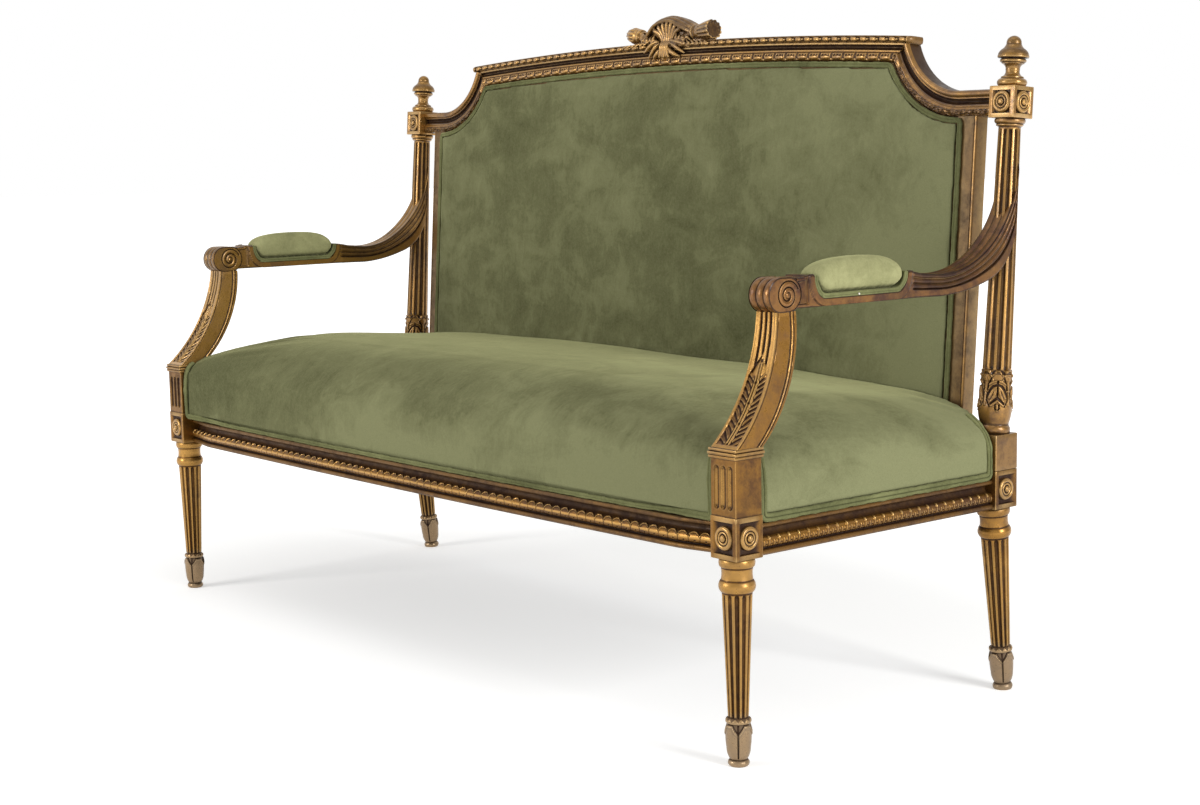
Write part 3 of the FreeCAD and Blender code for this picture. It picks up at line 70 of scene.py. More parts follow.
# Back frame
ARCH_RADIUS = 8580.0
ARCH_MID = 576.5
ARCH_CENTRE = ARCH_MID - ARCH_RADIUS
FLAT_WIDTH = 29.0
MOULDING = 40.0
SHOULDER_RADIUS = 154.0
SHOULDER_X = SPAN - TOP_BLOCK - 66.0
SHOULDER_H = (TOP_BLOCK_LOW + TOP_BLOCK_HIGH) / 2 + MOULDING / 2 + 114.0
STILE_INNER = 670.9
STILE_OUTER = 707.9
PAD_HALF = 682.9
FIELD_LOW = -35.0

# Details: the depth of a block's recess, stations beside its walls, and the cloth simulation
RECESS = 4.0
WALL = (-0.05, 0.25, 0.7)
SWELL_PRESSURE = 4.0
SWELL_FRAMES = 20


# Numbers on arrays

def ease(x):
    """Smooth step from 0 to 1 as x goes from 0 to 1."""
    x = np.clip(x, 0, 1)
    return x * x * (3 - 2 * x)


def dome(d, radius):
    """Height from 0 to 1 of a round bump at distance d from its middle."""
    return np.sqrt(np.clip(1 - (np.asarray(d) / radius) ** 2, 0, 1))


def stops(low, high, step, extra=()):
    """Even stations from low to high, with extra ones where an edge needs them."""
    count = max(1, int(round((high - low) / step)))
    values = np.concatenate([np.linspace(low, high, count + 1), [e for e in extra if low < e < high]])
    return np.unique(np.round(values, 3))


def trace(start, steps, pitch=1.5):
    """Points along a profile. A step (a, b) is a line; a step ((a, b), (c, d)) is an arc through its first
    point."""
    out = [np.array([start], float)]
    here = np.array(start, float)
    for step in steps:
        if isinstance(step[0], tuple):
            mid = np.array(step[0], float)
            end = np.array(step[1], float)
            m = np.array([mid - here, end - here]) * 2
            rhs = np.array([mid @ mid - here @ here, end @ end - here @ here])
            centre = np.linalg.solve(m, rhs)
            radius = np.linalg.norm(here - centre)
            a0, am, a1 = (math.atan2(*(q - centre)[::-1]) for q in (here, mid, end))
            turn = (a1 - a0) % math.tau
            if (am - a0) % math.tau > turn:
                turn -= math.tau
            count = max(4, int(math.ceil(abs(turn) * radius / pitch)))
            angles = a0 + turn * np.arange(1, count + 1) / count
            out.append(centre + radius * np.stack([np.cos(angles), np.sin(angles)], 1))
        else:
            end = np.array(step, float)
            out.append(end[None])
        here = end
    return np.concatenate(out)


def dense(points, pitch):
    """The same polyline with more points along its long runs."""
    rows = [points[:1]]
    for a, b in zip(points[:-1], points[1:]):
        count = max(1, int(np.linalg.norm(b - a) / pitch))
        t = np.arange(1, count + 1)[:, None] / count
        rows.append(a + (b - a) * t)
    return np.concatenate(rows)


def headings(points, closed):
    """Directions along a polyline, not of unit length."""
    return np.roll(points, -1, 0) - np.roll(points, 1, 0) if closed else np.gradient(points, axis=0)


def normals_of(profile, closed):
    """Unit normals of a polyline, to the right of its direction."""
    ahead = headings(profile, closed)
    n = np.stack([ahead[:, 1], -ahead[:, 0]], 1)
    return n / np.maximum(np.linalg.norm(n, axis=1, keepdims=True), 1e-9)


def lengths(points):
    """Length along a polyline up to each of its points."""
    return np.concatenate([[0], np.cumsum(np.linalg.norm(np.diff(points, axis=0), axis=1))])


def read_off(at, places, points):
    """Points of a polyline at other places along it."""
    return np.stack([np.interp(at, places, points[:, k]) for k in range(points.shape[1])], 1)


def distance_to(line, y, z):
    """Distance from points to a polyline."""
    best = np.full(np.broadcast(y, z).shape, 1e9)
    for (y0, z0), (y1, z1) in zip(line[:-1], line[1:]):
        run = np.array([y1 - y0, z1 - z0])
        t = np.clip(((y - y0) * run[0] + (z - z0) * run[1]) / (run @ run), 0, 1)
        best = np.minimum(best, np.hypot(y - y0 - t * run[0], z - z0 - t * run[1]))
    return best


def stroke(a, d, line, half):
    """Rounded ridge along a polyline of points on the surface, 0 beyond half a width."""
    return dome(distance_to(line, a, d), half)


def face_axes(k):
    """Outward and sideways directions of face k of a square plan: 0 front, 1 right, 2 back, 3 left."""
    angle = math.radians(-90 + 90 * k)
    n = np.array([math.cos(angle), math.sin(angle)])
    return n, np.array([-n[1], n[0]])


# Shells: (points, quads, triangles, shade) in millimetres. shade runs from -1, bright, over 0, plain, to 1,
# dark: rubbed gilding and painted highlights at the bright end, dirt and painted shade at the dark end.

def grid_shell(points, wrap_rows=False, wrap_cols=False, caps=(False, False), shade=None):
    """Shell over rows and columns of points, wrapped round and capped at its first and last rows as asked."""
    rows, cols = points.shape[:2]
    r = np.arange(rows if wrap_rows else rows - 1)[:, None]
    c = np.arange(cols if wrap_cols else cols - 1)[None]
    r2 = (r + 1) % rows
    c2 = (c + 1) % cols
    quads = np.stack([r * cols + c, r * cols + c2, r2 * cols + c2, r2 * cols + c], -1).reshape(-1, 4)
    pts = points.reshape(-1, 3)
    dark = np.zeros(len(pts)) if shade is None else np.broadcast_to(shade, (rows, cols)).reshape(-1)
    tris = [np.zeros((0, 3), int)]
    for row, wanted in ((0, caps[0]), (rows - 1, caps[1])):
        if wanted:
            ring = row * cols + np.arange(cols)
            middle = len(pts)
            pts = np.vstack([pts, pts[ring].mean(0)])
            dark = np.append(dark, dark[ring].mean())
            cap = np.stack([np.full(cols, middle), ring, np.roll(ring, -1)], 1)[:cols if wrap_cols else cols - 1]
            tris.append(cap[:, ::-1] if row else cap)
    return oriented(pts, quads, np.vstack(tris), dark)


def skin(points, shade=None):
    """Shell of a bar: rows of closed rings, capped at both ends."""
    return grid_shell(points, wrap_cols=True, caps=(True, True), shade=shade)


def oriented(pts, quads, tris, dark):
    """The shell with its faces turned outwards."""
    a, b, c, d = (pts[quads[:, k]] for k in range(4))
    volume = np.einsum("ij,ij->", a, np.cross(b, c)) + np.einsum("ij,ij->", a, np.cross(c, d))
    if len(tris):
        volume += np.einsum("ij,ij->", pts[tris[:, 0]], np.cross(pts[tris[:, 1]], pts[tris[:, 2]]))
    if volume < 0:
        quads = quads[:, ::-1]
        tris = tris[:, ::-1]
    return pts, quads, tris, dark


def moved(shell, change):
    """The shell with its points passed through change."""
    pts, quads, tris, dark = shell
    return oriented(change(pts), quads, tris, dark)


def mirrored(shell):
    """The shell on the other side of the settee."""
    return moved(shell, lambda p: p * (-1, 1, 1))


def shifted(x, y, z):
    """A change for moved that shifts points."""
    return lambda p: p + (x, y, z)


def raked(p):
    """Lean points of the back assembly, about the top of the rear leg's block."""
    out = np.array(p, float)
    y = out[..., 1] - DEPTH
    z = out[..., 2] - POST_BASE
    out[..., 1] = DEPTH + y * math.cos(RAKE) + z * math.sin(RAKE)
    out[..., 2] = POST_BASE - y * math.sin(RAKE) + z * math.cos(RAKE)
    return out


def back_points(x, h, f):
    """Points of the back frame from across, up from the post's base and forward of its middle."""
    x, h, f = np.broadcast_arrays(x, h, f)
    return raked(np.stack([x, DEPTH - f, POST_BASE + h], -1))


def build(name, shells, material, nodes=(), slot="gilt_wood", smooth_angle=38.0):
    """One object of the settee from its shells, riding on the frame."""
    pts, dark, loops, starts = [], [], [], []
    base = 0
    cursor = 0
    for p, quads, tris, shade in shells:
        pts.append(p)
        dark.append(shade)
        for faces in (quads, tris):
            if len(faces):
                loops.append((faces + base).ravel())
                starts.append(cursor + np.arange(len(faces)) * faces.shape[1])
                cursor += faces.size
        base += len(p)
    pts = np.concatenate(pts) * MM + (0, leg_y, 0)
    loops = np.concatenate(loops)
    starts = np.concatenate(starts)
    mesh = bpy.data.meshes.new(name)
    mesh.vertices.add(len(pts))
    mesh.vertices.foreach_set("co", pts.astype(np.float32).ravel())
    mesh.loops.add(len(loops))
    mesh.loops.foreach_set("vertex_index", loops.astype(np.int32))
    mesh.polygons.add(len(starts))
    mesh.polygons.foreach_set("loop_start", starts.astype(np.int32))
    mesh.update(calc_edges=True)
    mesh.polygons.foreach_set("use_smooth", np.ones(len(starts), bool))
    mesh.set_sharp_from_angle(angle=math.radians(smooth_angle))
    layer = mesh.attributes.new("shade", "FLOAT", "POINT")
    layer.data.foreach_set("value", np.concatenate(dark).astype(np.float32))
    mesh.materials.append(material)
    piece = bpy.data.objects.new(name, mesh)
    bpy.context.scene.collection.objects.link(piece)
    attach(piece, "root")
    if nodes:
        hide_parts(*nodes)
    return piece


def both_sides(name, shells, material, nodes=(), **rest):
    """A right-hand piece and its mirror image. Nodes are named without their side."""
    return [build(name + side, [change(s) for s in shells], material, [n + side for n in nodes], **rest)
            for side, change in (("_right", lambda s: s), ("_left", mirrored))]


def turned(profile, around, relief=None):
    """Turned shell about the Z axis. profile has rows of radius and height; relief gives outward height and
    shade."""
    theta = np.arange(around) / around * math.tau
    r = np.broadcast_to(profile[:, :1], (len(profile), around))
    z = np.broadcast_to(profile[:, 1:], r.shape)
    shade = None
    if relief:
        out, shade = relief(np.broadcast_to(theta, r.shape), r, z)
        r = r + out
    return skin(np.stack([r * np.cos(theta), r * np.sin(theta), z], -1), shade)


def squared(levels, coords, half, relief, corner=1.2):
    """Four-sided shell about the Z axis from rows of half width and height; relief(face, t, z) cuts into its
    faces."""
    flat = half - corner
    coords = np.concatenate([[-flat], coords[np.abs(coords) < flat], [flat]])
    bends = np.radians([18, 45, 72])
    levels = np.asarray(levels, float)
    wide, z = levels[:, :1], levels[:, 1:]
    along = coords[None] * ((wide - corner) / flat)
    columns, dark = [], []
    for k in range(4):
        n, t = face_axes(k)
        cut, shade = relief(k, coords[None] + 0 * along, z + 0 * along)
        columns.append((wide - cut)[..., None] * n + along[..., None] * t)
        bend = np.cos(bends)[:, None] * n + np.sin(bends)[:, None] * t
        columns.append((wide - corner)[..., None] * (n + t) + corner * bend[None])
        dark += [shade, np.zeros((len(levels), len(bends)))]
    plan = np.concatenate(columns, 1)
    z = np.broadcast_to(z[..., None], plan.shape[:2] + (1,))
    return skin(np.concatenate([plan, z], -1), np.concatenate(dark, 1))


def swept(p, u, w, profile, offset=None, shade=None):
    """Shell of a closed profile carried along points p, on directions u and w. offset moves points along the
    profile's normals."""
    prof = np.broadcast_to(profile, (len(p),) + profile.shape).astype(float)
    if offset is not None:
        prof += normals_of(profile, True)[None] * offset[..., None]
    return skin(p[:, None] + prof[..., :1] * u[:, None] + prof[..., 1:] * w[:, None], shade)


def limb(points, radii, sides=10, flat=1.0, up=(0, -1, 0)):
    """Tapering round rod through points, with rounded ends. flat squeezes its section along up."""
    points = np.asarray(points, float)
    t = np.linspace(0, 1, max(6, 4 * len(points)))
    src = np.linspace(0, 1, len(points))
    path = read_off(t, src, points)
    for _ in range(2):
        path[1:-1] = (path[:-2] + 2 * path[1:-1] + path[2:]) / 4
    r = np.interp(t, src, radii)
    ends = np.array([0.15, 0.6, 0.9])
    ahead = np.gradient(path, axis=0)
    ahead /= np.linalg.norm(ahead, axis=1, keepdims=True)
    r0, r1 = r[0], r[-1]
    head = [path[0] - ahead[0] * r0 * math.sqrt(1 - e * e) for e in ends]
    tail = [path[-1] + ahead[-1] * r1 * math.sqrt(1 - e * e) for e in ends[::-1]]
    path = np.vstack([head, path, tail])
    r = np.concatenate([ends * r0, r, ends[::-1] * r1])
    ahead = np.vstack([[ahead[0]] * 3, ahead, [ahead[-1]] * 3])
    side = np.cross(ahead, np.asarray(up, float))
    side /= np.maximum(np.linalg.norm(side, axis=1, keepdims=True), 1e-6)
    rise = np.cross(side, ahead)
    angle = np.arange(sides) / sides * math.tau
    ring = np.cos(angle)[None, :, None] * side[:, None] + flat * np.sin(angle)[None, :, None] * rise[:, None]
    return skin(path[:, None] + r[:, None, None] * ring)


def carved(name, shells, material, voxel, rounds, nodes, tint):
    """Shells melted into one carved skin, smoothed, then set on the frame; tint gives the shade at each point."""
    piece = build(name, shells, material, nodes)
    melt(piece, voxel, rounds)
    points = piece_points(piece)
    layer = piece.data.attributes.get("shade") or piece.data.attributes.new("shade", "FLOAT", "POINT")
    layer.data.foreach_set("value", tint(points).astype(np.float32))


def piece_points(piece):
    """A piece's vertices in the layout's millimetres."""
    co = np.empty(len(piece.data.vertices) * 3, np.float32)
    piece.data.vertices.foreach_get("co", co)
    return co.reshape(-1, 3).astype(float) / MM - (0, leg_y / MM, 0)


def set_points(piece, points):
    """Move a piece's vertices to points in the layout's millimetres."""
    co = points * MM + (0, leg_y, 0)
    piece.data.vertices.foreach_set("co", co.astype(np.float32).ravel())
    piece.data.update()


def plump(piece, voxel, cap, held):
    """Remesh a pad, swell it in a short cloth simulation and subdivide it; points that are held stay put, and
    cap is the furthest that any other moves."""
    melt(piece, voxel, 3)
    start = piece_points(piece)
    group = piece.vertex_groups.new(name="held")
    group.add([int(k) for k in np.nonzero(held(start))[0]], 1.0, "REPLACE")
    cloth = piece.modifiers.new("swell", "CLOTH")
    cloth.settings.vertex_group_mass = "held"
    cloth.settings.quality = 4
    cloth.settings.use_pressure = True
    cloth.settings.uniform_pressure_force = SWELL_PRESSURE
    cloth.settings.effector_weights.gravity = 0
    for frame_number in range(1, SWELL_FRAMES + 1):
        bpy.context.scene.frame_set(frame_number)
    apply_modifiers(piece)
    move = piece_points(piece) - start
    size = np.linalg.norm(move, axis=1, keepdims=True)
    set_points(piece, start + move / np.maximum(size, 1e-6) * cap * np.tanh(size / cap))
    finer = piece.modifiers.new("finer", "SUBSURF")
    finer.levels = finer.render_levels = 1
    apply_modifiers(piece)
    piece.data.polygons.foreach_set("use_smooth", np.ones(len(piece.data.polygons), bool))


def melt(piece, voxel, rounds):
    """Remesh a piece at voxel metres, smooth it and apply."""
    remesh = piece.modifiers.new("melt", "REMESH")
    remesh.mode = "VOXEL"
    remesh.voxel_size = voxel
    remesh.use_smooth_shade = True
    soften = piece.modifiers.new("soften", "SMOOTH")
    soften.factor = 0.5
    soften.iterations = rounds
    apply_modifiers(piece)


def apply_modifiers(piece):
    """Bake a piece's modifiers into its mesh."""
    depsgraph = bpy.context.evaluated_depsgraph_get()
    depsgraph.update()
    baked = bpy.data.meshes.new_from_object(piece.evaluated_get(depsgraph))
    old = piece.data
    piece.modifiers.clear()
    piece.data = baked
    bpy.data.meshes.remove(old)


# Materials

def node_tree(name):
    """A new material and its empty tree."""
    material = bpy.data.materials.new(name)
    material.use_nodes = True
    material.node_tree.nodes.clear()
    return material, material.node_tree


def add(tree, kind, inputs=None, **settings):
    """A node with its settings and inputs; an input that is a socket is linked."""
    node = tree.nodes.new(kind)
    for key, value in settings.items():
        setattr(node, key, value)
    for key, value in (inputs or {}).items():
        if isinstance(value, bpy.types.NodeSocket):
            tree.links.new(value, node.inputs[key])
        else:
            node.inputs[key].default_value = value
    return node


def place_of(tree):
    """Point in the piece's own coordinates."""
    return add(tree, "ShaderNodeTexCoord").outputs["Object"]


def carving_shade(tree):
    """Shade that a shell's points carry."""
    return add(tree, "ShaderNodeAttribute", attribute_name="shade").outputs["Fac"]


def linear(r, g, b):
    """Linear colour from screen values of 0 to 255."""
    return tuple(((v / 255 + 0.055) / 1.055) ** 2.4 if v > 10 else v / 255 / 12.92 for v in (r, g, b)) + (1,)


def mixed(tree, factor, a, b):
    """Colour a, with colour b over it by factor."""
    return add(tree, "ShaderNodeMix", {0: factor, 6: a, 7: b}, data_type="RGBA").outputs[2]


def math_node(tree, operation, a, b=0.0, clamp=False):
    """Result of a Math node."""
    return add(tree, "ShaderNodeMath", {0: a, 1: b}, operation=operation, use_clamp=clamp).outputs[0]


def times(tree, a, b, clamp=False):
    """Product of two values."""
    return math_node(tree, "MULTIPLY", a, b, clamp)


def blend(tree, *parts):
    """Sum of values, each by its share."""
    total = times(tree, *parts[0])
    for part in parts[1:]:
        total = math_node(tree, "ADD", total, times(tree, *part))
    return total


def spread(tree, value, low, high, to_low=0.0, to_high=1.0):
    """Value carried from the range low to high onto another, and held at its ends."""
    inputs = {"Value": value, "From Min": low, "From Max": high, "To Min": to_low, "To Max": to_high}
    return add(tree, "ShaderNodeMapRange", inputs).outputs["Result"]


def along_axis(tree, place, direction):
    """How far a point lies along a direction."""
    node = add(tree, "ShaderNodeVectorMath", {0: place, 1: direction}, operation="DOT_PRODUCT")
    return node.outputs["Value"]


def noise(tree, scale, detail=3.0, roughness=0.55, stretch=(1, 1, 1), distortion=0.0):
    """Noise over the piece's own coordinates."""
    scaled = add(tree, "ShaderNodeMapping", {"Vector": place_of(tree), "Scale": stretch}).outputs["Vector"]
    inputs = {"Vector": scaled, "Scale": scale, "Detail": detail, "Roughness": roughness, "Distortion": distortion}
    return add(tree, "ShaderNodeTexNoise", inputs).outputs["Fac"]


def bump(tree, height, strength, distance, **below):
    """Normal of a bumped surface; Normal may name one below it."""
    inputs = {"Height": height, "Strength": strength, "Distance": distance, **below}
    return add(tree, "ShaderNodeBump", inputs).outputs["Normal"]


def surface(tree, inputs):
    """End a material's tree with a Principled shader."""
    shader = add(tree, "ShaderNodeBsdfPrincipled", inputs)
    tree.links.new(shader.outputs["BSDF"], add(tree, "ShaderNodeOutputMaterial").inputs["Surface"])


def gilding(name, gold, patina, dark, patina_share, coat):
    """Aged bronze-gold gilding over carved wood: brown wear in patches, recesses darkened by dirt and
    painted shade, edges lightened by rubbing and painted glints, and greyer feet."""
    material, tree = node_tree(name)
    patches = noise(tree, 9.0, 4.0, 0.6)
    fine = noise(tree, 70.0, 5.0, 0.7)
    speck = noise(tree, 420.0, 2.0, 0.5)
    worn = blend(tree, (patches, 0.62), (fine, 0.38))
    worn = spread(tree, worn, 0.60 - patina_share * 0.32, 0.72 - patina_share * 0.32)
    base = mixed(tree, worn, gold, patina)
    warm = spread(tree, noise(tree, 26.0, 3.0, 0.6), 0.40, 0.66, 0.0, 0.45)
    base = mixed(tree, warm, base, WARM_GOLD)
    # ambient occlusion darkens the recesses: dirt in the hollows and painted shade
    hollow = add(tree, "ShaderNodeAmbientOcclusion", {"Distance": 0.009}, samples=6, only_local=True).outputs["AO"]
    hollow = spread(tree, hollow, 0.42, 0.93, 1.0, 0.0)
    shade = carving_shade(tree)
    # a negative shade brightens towards clean gold: rubbed gilding and painted highlights
    clean_and_highlight = times(tree, math_node(tree, "MINIMUM", shade, 0.0), -1.0, clamp=True)
    deep = math_node(tree, "MAXIMUM", math_node(tree, "SUBTRACT", hollow, clean_and_highlight, clamp=True), shade)
    base = mixed(tree, times(tree, clean_and_highlight, 0.85), base, CLEAN_HIGHLIGHT_GOLD)
    deep = times(tree, deep, spread(tree, fine, 0.25, 0.75, 0.82, 1.12), clamp=True)
    # pointiness lightens ridges as rubbed gilding and painted glints, and darkens creases as dirt and painted shade
    point = add(tree, "ShaderNodeNewGeometry").outputs["Pointiness"]
    rubbed_and_glint = spread(tree, point, 0.510, 0.575)
    rubbed_and_glint = times(tree, rubbed_and_glint, spread(tree, patches, 0.3, 0.65, 0.4, 0.9))
    base = mixed(tree, rubbed_and_glint, base, RUBBED_GLINT_GOLD)
    crease_dirt_and_shade = spread(tree, point, 0.494, 0.470, 0.0, 0.75)
    base = mixed(tree, crease_dirt_and_shade, base, dark)
    foot = add(tree, "ShaderNodeSeparateXYZ", {0: place_of(tree)}).outputs[2]
    base = mixed(tree, spread(tree, foot, 0.060, 0.078, 0.72, 0.0), base, FOOT_GREY)
    base = mixed(tree, deep, base, dark)
    base = mixed(tree, spread(tree, speck, 0.62, 0.72, 0.0, 0.35), base, dark)
    rough = math_node(tree, "ADD", spread(tree, worn, 0.0, 1.0, 0.27, 0.42), spread(tree, fine, 0.3, 0.7, -0.04, 0.08))
    rough = math_node(tree, "ADD", rough, times(tree, deep, 0.22))
    surface(tree, {"Base Color": base, "Metallic": spread(tree, deep, 0.34, 0.90, 0.68, 0.05), "Roughness": rough,
                   "Specular IOR Level": spread(tree, deep, 0.0, 1.0, 0.32, 0.10),
                   "Coat Weight": spread(tree, deep, 0.0, 1.0, coat, coat * 0.1),
                   "Coat Roughness": spread(tree, fine, 0.3, 0.7, 0.13, 0.24),
                   "Normal": bump(tree, blend(tree, (fine, 0.7), (speck, 0.3)), 0.28, 0.0008)})
    return material


def velvet(name, deep, mid, light, painted_light_leans=(), crease_reach=0.007):
    """Brushed cotton velvet: soft nap patches, fine streaks, pile and a gentle sheen, its creases darkened as
    painted shade. Each lean adds painted light along a direction, or painted shade where its amount is negative,
    from one place to another."""
    material, tree = node_tree(name)
    place = place_of(tree)
    broad = noise(tree, 3.6, 3.0, 0.55, (1, 1.2, 1.5), 0.5)
    patch = noise(tree, 12.0, 6.0, 0.66, (1.0, 1.0, 1.25), 0.7)
    streak = noise(tree, 46.0, 5.0, 0.72, (1.2, 0.5, 0.5), 1.4)
    pile = noise(tree, 900.0, 2.0, 0.6)
    thread = noise(tree, 240.0, 3.0, 0.7)
    nap_and_light = blend(tree, (broad, 0.42), (patch, 0.40), (streak, 0.18))
    # painted light and shade: each lean lightens the nap along its direction, or darkens it where its amount is
    # negative
    for direction, low, high, amount in painted_light_leans:
        lean = spread(tree, along_axis(tree, place, direction), low, high, 0.0, amount)
        nap_and_light = math_node(tree, "ADD", nap_and_light, lean)
    colour = mixed(tree, spread(tree, nap_and_light, 0.40, 0.56), deep, mid)
    colour = mixed(tree, spread(tree, nap_and_light, 0.53, 0.68, 0.0, 0.55), colour, light)
    colour = mixed(tree, spread(tree, thread, 0.35, 0.65, 0.0, 0.18), colour, light)
    colour = mixed(tree, spread(tree, pile, 0.3, 0.7, 0.26, 0.0), colour, deep)
    # ambient occlusion and the shade attribute darken creases and the welts' seams towards a dark olive: painted shade
    crease_shadow = add(tree, "ShaderNodeAmbientOcclusion", {"Distance": crease_reach}, samples=6).outputs["AO"]
    shaded_folds = times(tree, carving_shade(tree), 0.8)
    shaded_folds = math_node(tree, "MAXIMUM", shaded_folds, spread(tree, crease_shadow, 0.25, 0.80, 0.68, 0.0))
    fibres = bump(tree, blend(tree, (pile, 0.5), (thread, 0.5)), 0.35, 0.0012)
    surface(tree, {"Base Color": mixed(tree, shaded_folds, colour, CREASE_SHADOW_OLIVE), "Roughness": 0.92, "Sheen Weight": 0.5,
                   "Sheen Roughness": 0.36, "Sheen Tint": linear(206, 206, 150), "Specular IOR Level": 0.10,
                   "Normal": bump(tree, nap_and_light, 0.55, 0.006, Normal=fibres)})
    return material


def woven(name, warp, weft, threads):
    """Plain woven cloth with crossing threads."""
    material, tree = node_tree(name)
    waves = {"Vector": place_of(tree), "Scale": threads, "Distortion": 0.6}
    both = times(tree, *(add(tree, "ShaderNodeTexWave", waves, bands_direction=d).outputs["Fac"] for d in "XY"))
    colour = mixed(tree, both, weft, warp)
    colour = mixed(tree, spread(tree, noise(tree, 40.0), 0.3, 0.7, 0.0, 0.4), colour, weft)
    surface(tree, {"Base Color": colour, "Roughness": 0.85, "Normal": bump(tree, both, 0.5, 0.0006)})
    return material


def sawn_wood(name, light, dark):
    """Plain sawn beech with long grain."""
    material, tree = node_tree(name)
    rings = noise(tree, 60.0, 5.0, 0.6, (0.06, 1, 1), 0.8)
    flecks = noise(tree, 300.0, 3.0, 0.6, (0.15, 1, 1))
    colour = mixed(tree, spread(tree, rings, 0.3, 0.7), light, dark)
    colour = mixed(tree, spread(tree, flecks, 0.55, 0.7, 0.0, 0.5), colour, dark)
    surface(tree, {"Base Color": colour, "Roughness": 0.62, "Normal": bump(tree, rings, 0.2, 0.0006)})
    return material


def steel(name, colour, roughness):
    """Bare metal with fine scratches."""
    material, tree = node_tree(name)
    scratches = noise(tree, 500.0, 3.0, 0.6, (0.2, 1, 1))
    rough = spread(tree, scratches, 0.3, 0.7, roughness - 0.08, roughness + 0.12)
    tint = mixed(tree, spread(tree, scratches, 0.4, 0.7, 0.0, 0.4), colour, linear(90, 84, 76))
    surface(tree, {"Base Color": tint, "Metallic": 1.0, "Roughness": rough})
    return material


GOLD = linear(143, 99, 36)
PATINA = linear(94, 62, 34)
DARK = linear(44, 27, 19)
WARM_GOLD = linear(148, 106, 42)
CLEAN_HIGHLIGHT_GOLD = linear(198, 154, 84)
RUBBED_GLINT_GOLD = linear(206, 171, 112)
FOOT_GREY = linear(158, 138, 112)
CREASE_SHADOW_OLIVE = linear(44, 48, 28)
gilt = gilding("aged_gilding", GOLD, PATINA, DARK, 0.46, 0.10)
gilt_high = gilding("worn_gilding", linear(166, 122, 58), linear(112, 80, 48), DARK, 0.42, 0.55)
gilt_soft = gilding("soft_gilding", linear(156, 116, 54), linear(104, 78, 44), DARK, 0.42, 0.5)
gilt_bright = gilding("bright_gilding", linear(176, 132, 66), linear(116, 86, 50), DARK, 0.34, 0.6)
gilt_brown = gilding("brown_gilding", linear(132, 88, 42), linear(80, 48, 28), linear(32, 18, 15), 0.60, 0.3)
TONES = linear(80, 81, 53), linear(109, 110, 77), linear(150, 152, 112)
# painted light and shade on the back and seat velvets, which are otherwise copies of the olive velvet
BACK_PAINTED_LIGHT = [((1, 0, 0), 0.20, 0.64, 0.155), ((-1, 0, 0.3), 0.80, 1.0, 0.06), ((0, 0, 1), 0.86, 0.99, 0.04),
              ((-1, 0, 0), -0.05, 0.30, 0.04), ((1, 0, 0.8), 0.85, 1.1, 0.055)]
SEAT_PAINTED_LIGHT = [((0, 0, -1), -0.462, -0.36, 0.15), ((1, 0, 0), 0.10, 0.60, 0.085), ((-1, 0, 0), 0.15, 0.62, -0.18)]
olive = velvet("olive_velvet", *TONES)
olive_back = velvet("olive_back_velvet_painted_light", *TONES, painted_light_leans=BACK_PAINTED_LIGHT)
olive_seat = velvet("olive_seat_velvet_painted_light", *TONES, painted_light_leans=SEAT_PAINTED_LIGHT)
olive_welt = velvet("olive_welt", linear(86, 88, 56), linear(118, 120, 80), linear(156, 158, 112), crease_reach=0.004)
# the arm pads' velvet is a lighter copy of the olive velvet: painted light on the pads' tops
olive_pad_lit = velvet("olive_arm_pad_lit_velvet", linear(122, 122, 84), linear(158, 157, 112), linear(184, 183, 136))
beech = sawn_wood("sawn_beech", linear(190, 152, 108), linear(142, 104, 66))
burlap = woven("jute_burlap", linear(176, 146, 98), linear(112, 88, 56), 260.0)
webbing = woven("jute_webbing", linear(168, 140, 100), linear(104, 84, 60), 180.0)
cambric = woven("black_cambric", linear(40, 38, 38), linear(18, 17, 18), 420.0)
wire = steel("spring_wire", linear(120, 122, 124), 0.4)
screw_steel = steel("screw_steel", linear(168, 168, 166), 0.32)
tack = steel("bright_tack", linear(214, 210, 198), 0.25)


# Rosettes, blocks and fluting

def recess_cut(t, z, middle, half_t, half_z, border):
    """Depth and shade of a square sinking on a block's face."""
    inside = np.minimum(half_t - np.abs(t), half_z - np.abs(z - middle))
    sunk = ease(inside / 0.7)
    return RECESS * sunk, np.maximum(0.85 * sunk, border)


def flute_cut(a, along, half, low, high, depth):
    """Depth and shade of a round-ended flute: a across it and along it, both in millimetres."""
    past = np.maximum(low - along, along - high)
    d = np.hypot(a, np.maximum(past, 0))
    cut = dome(d, half)
    return depth * cut, ease((cut - 0.25) / 0.6)


def shaft_flutes(count, low, high, width, depth, shade_top=0.75):
    """Relief of flutes round a shaft; width is their share of the pitch."""
    def relief(theta, r, z):
        phase = (theta * count / math.tau) % 1.0 - 0.5
        pitch = math.tau * r / count
        half = pitch * width / 2
        cut, shade = flute_cut(phase * pitch, z, half, low, high, depth)
        return -cut, shade * shade_top
    return relief


def rosette():
    """Turned rosette that stands in a block's recess."""
    steps = [(16.6, 1.2), ((16.3, 3.4), (15.2, 4.7)), ((13.2, 5.7), (10.7, 4.9)), (10.2, 3.9), (9.6, 3.9),
             ((8.2, 5.3), (6.2, 4.1)), (5.6, 3.3), (5.0, 3.4), ((4.1, 6.2), (0.6, 7.4))]

    def relief(theta, r, z):
        groove = 0.95 * dome(r - 9.9, 0.75) + 0.9 * dome(r - 5.3, 0.7) + 0.5 * ease((15.9 - r) / -0.5)
        return 0 * r, np.clip(groove, 0, 1) - 0.34 * (groove < 0.05)
    return turned(trace((16.6, 0.0), steps, 0.4), 96, relief)


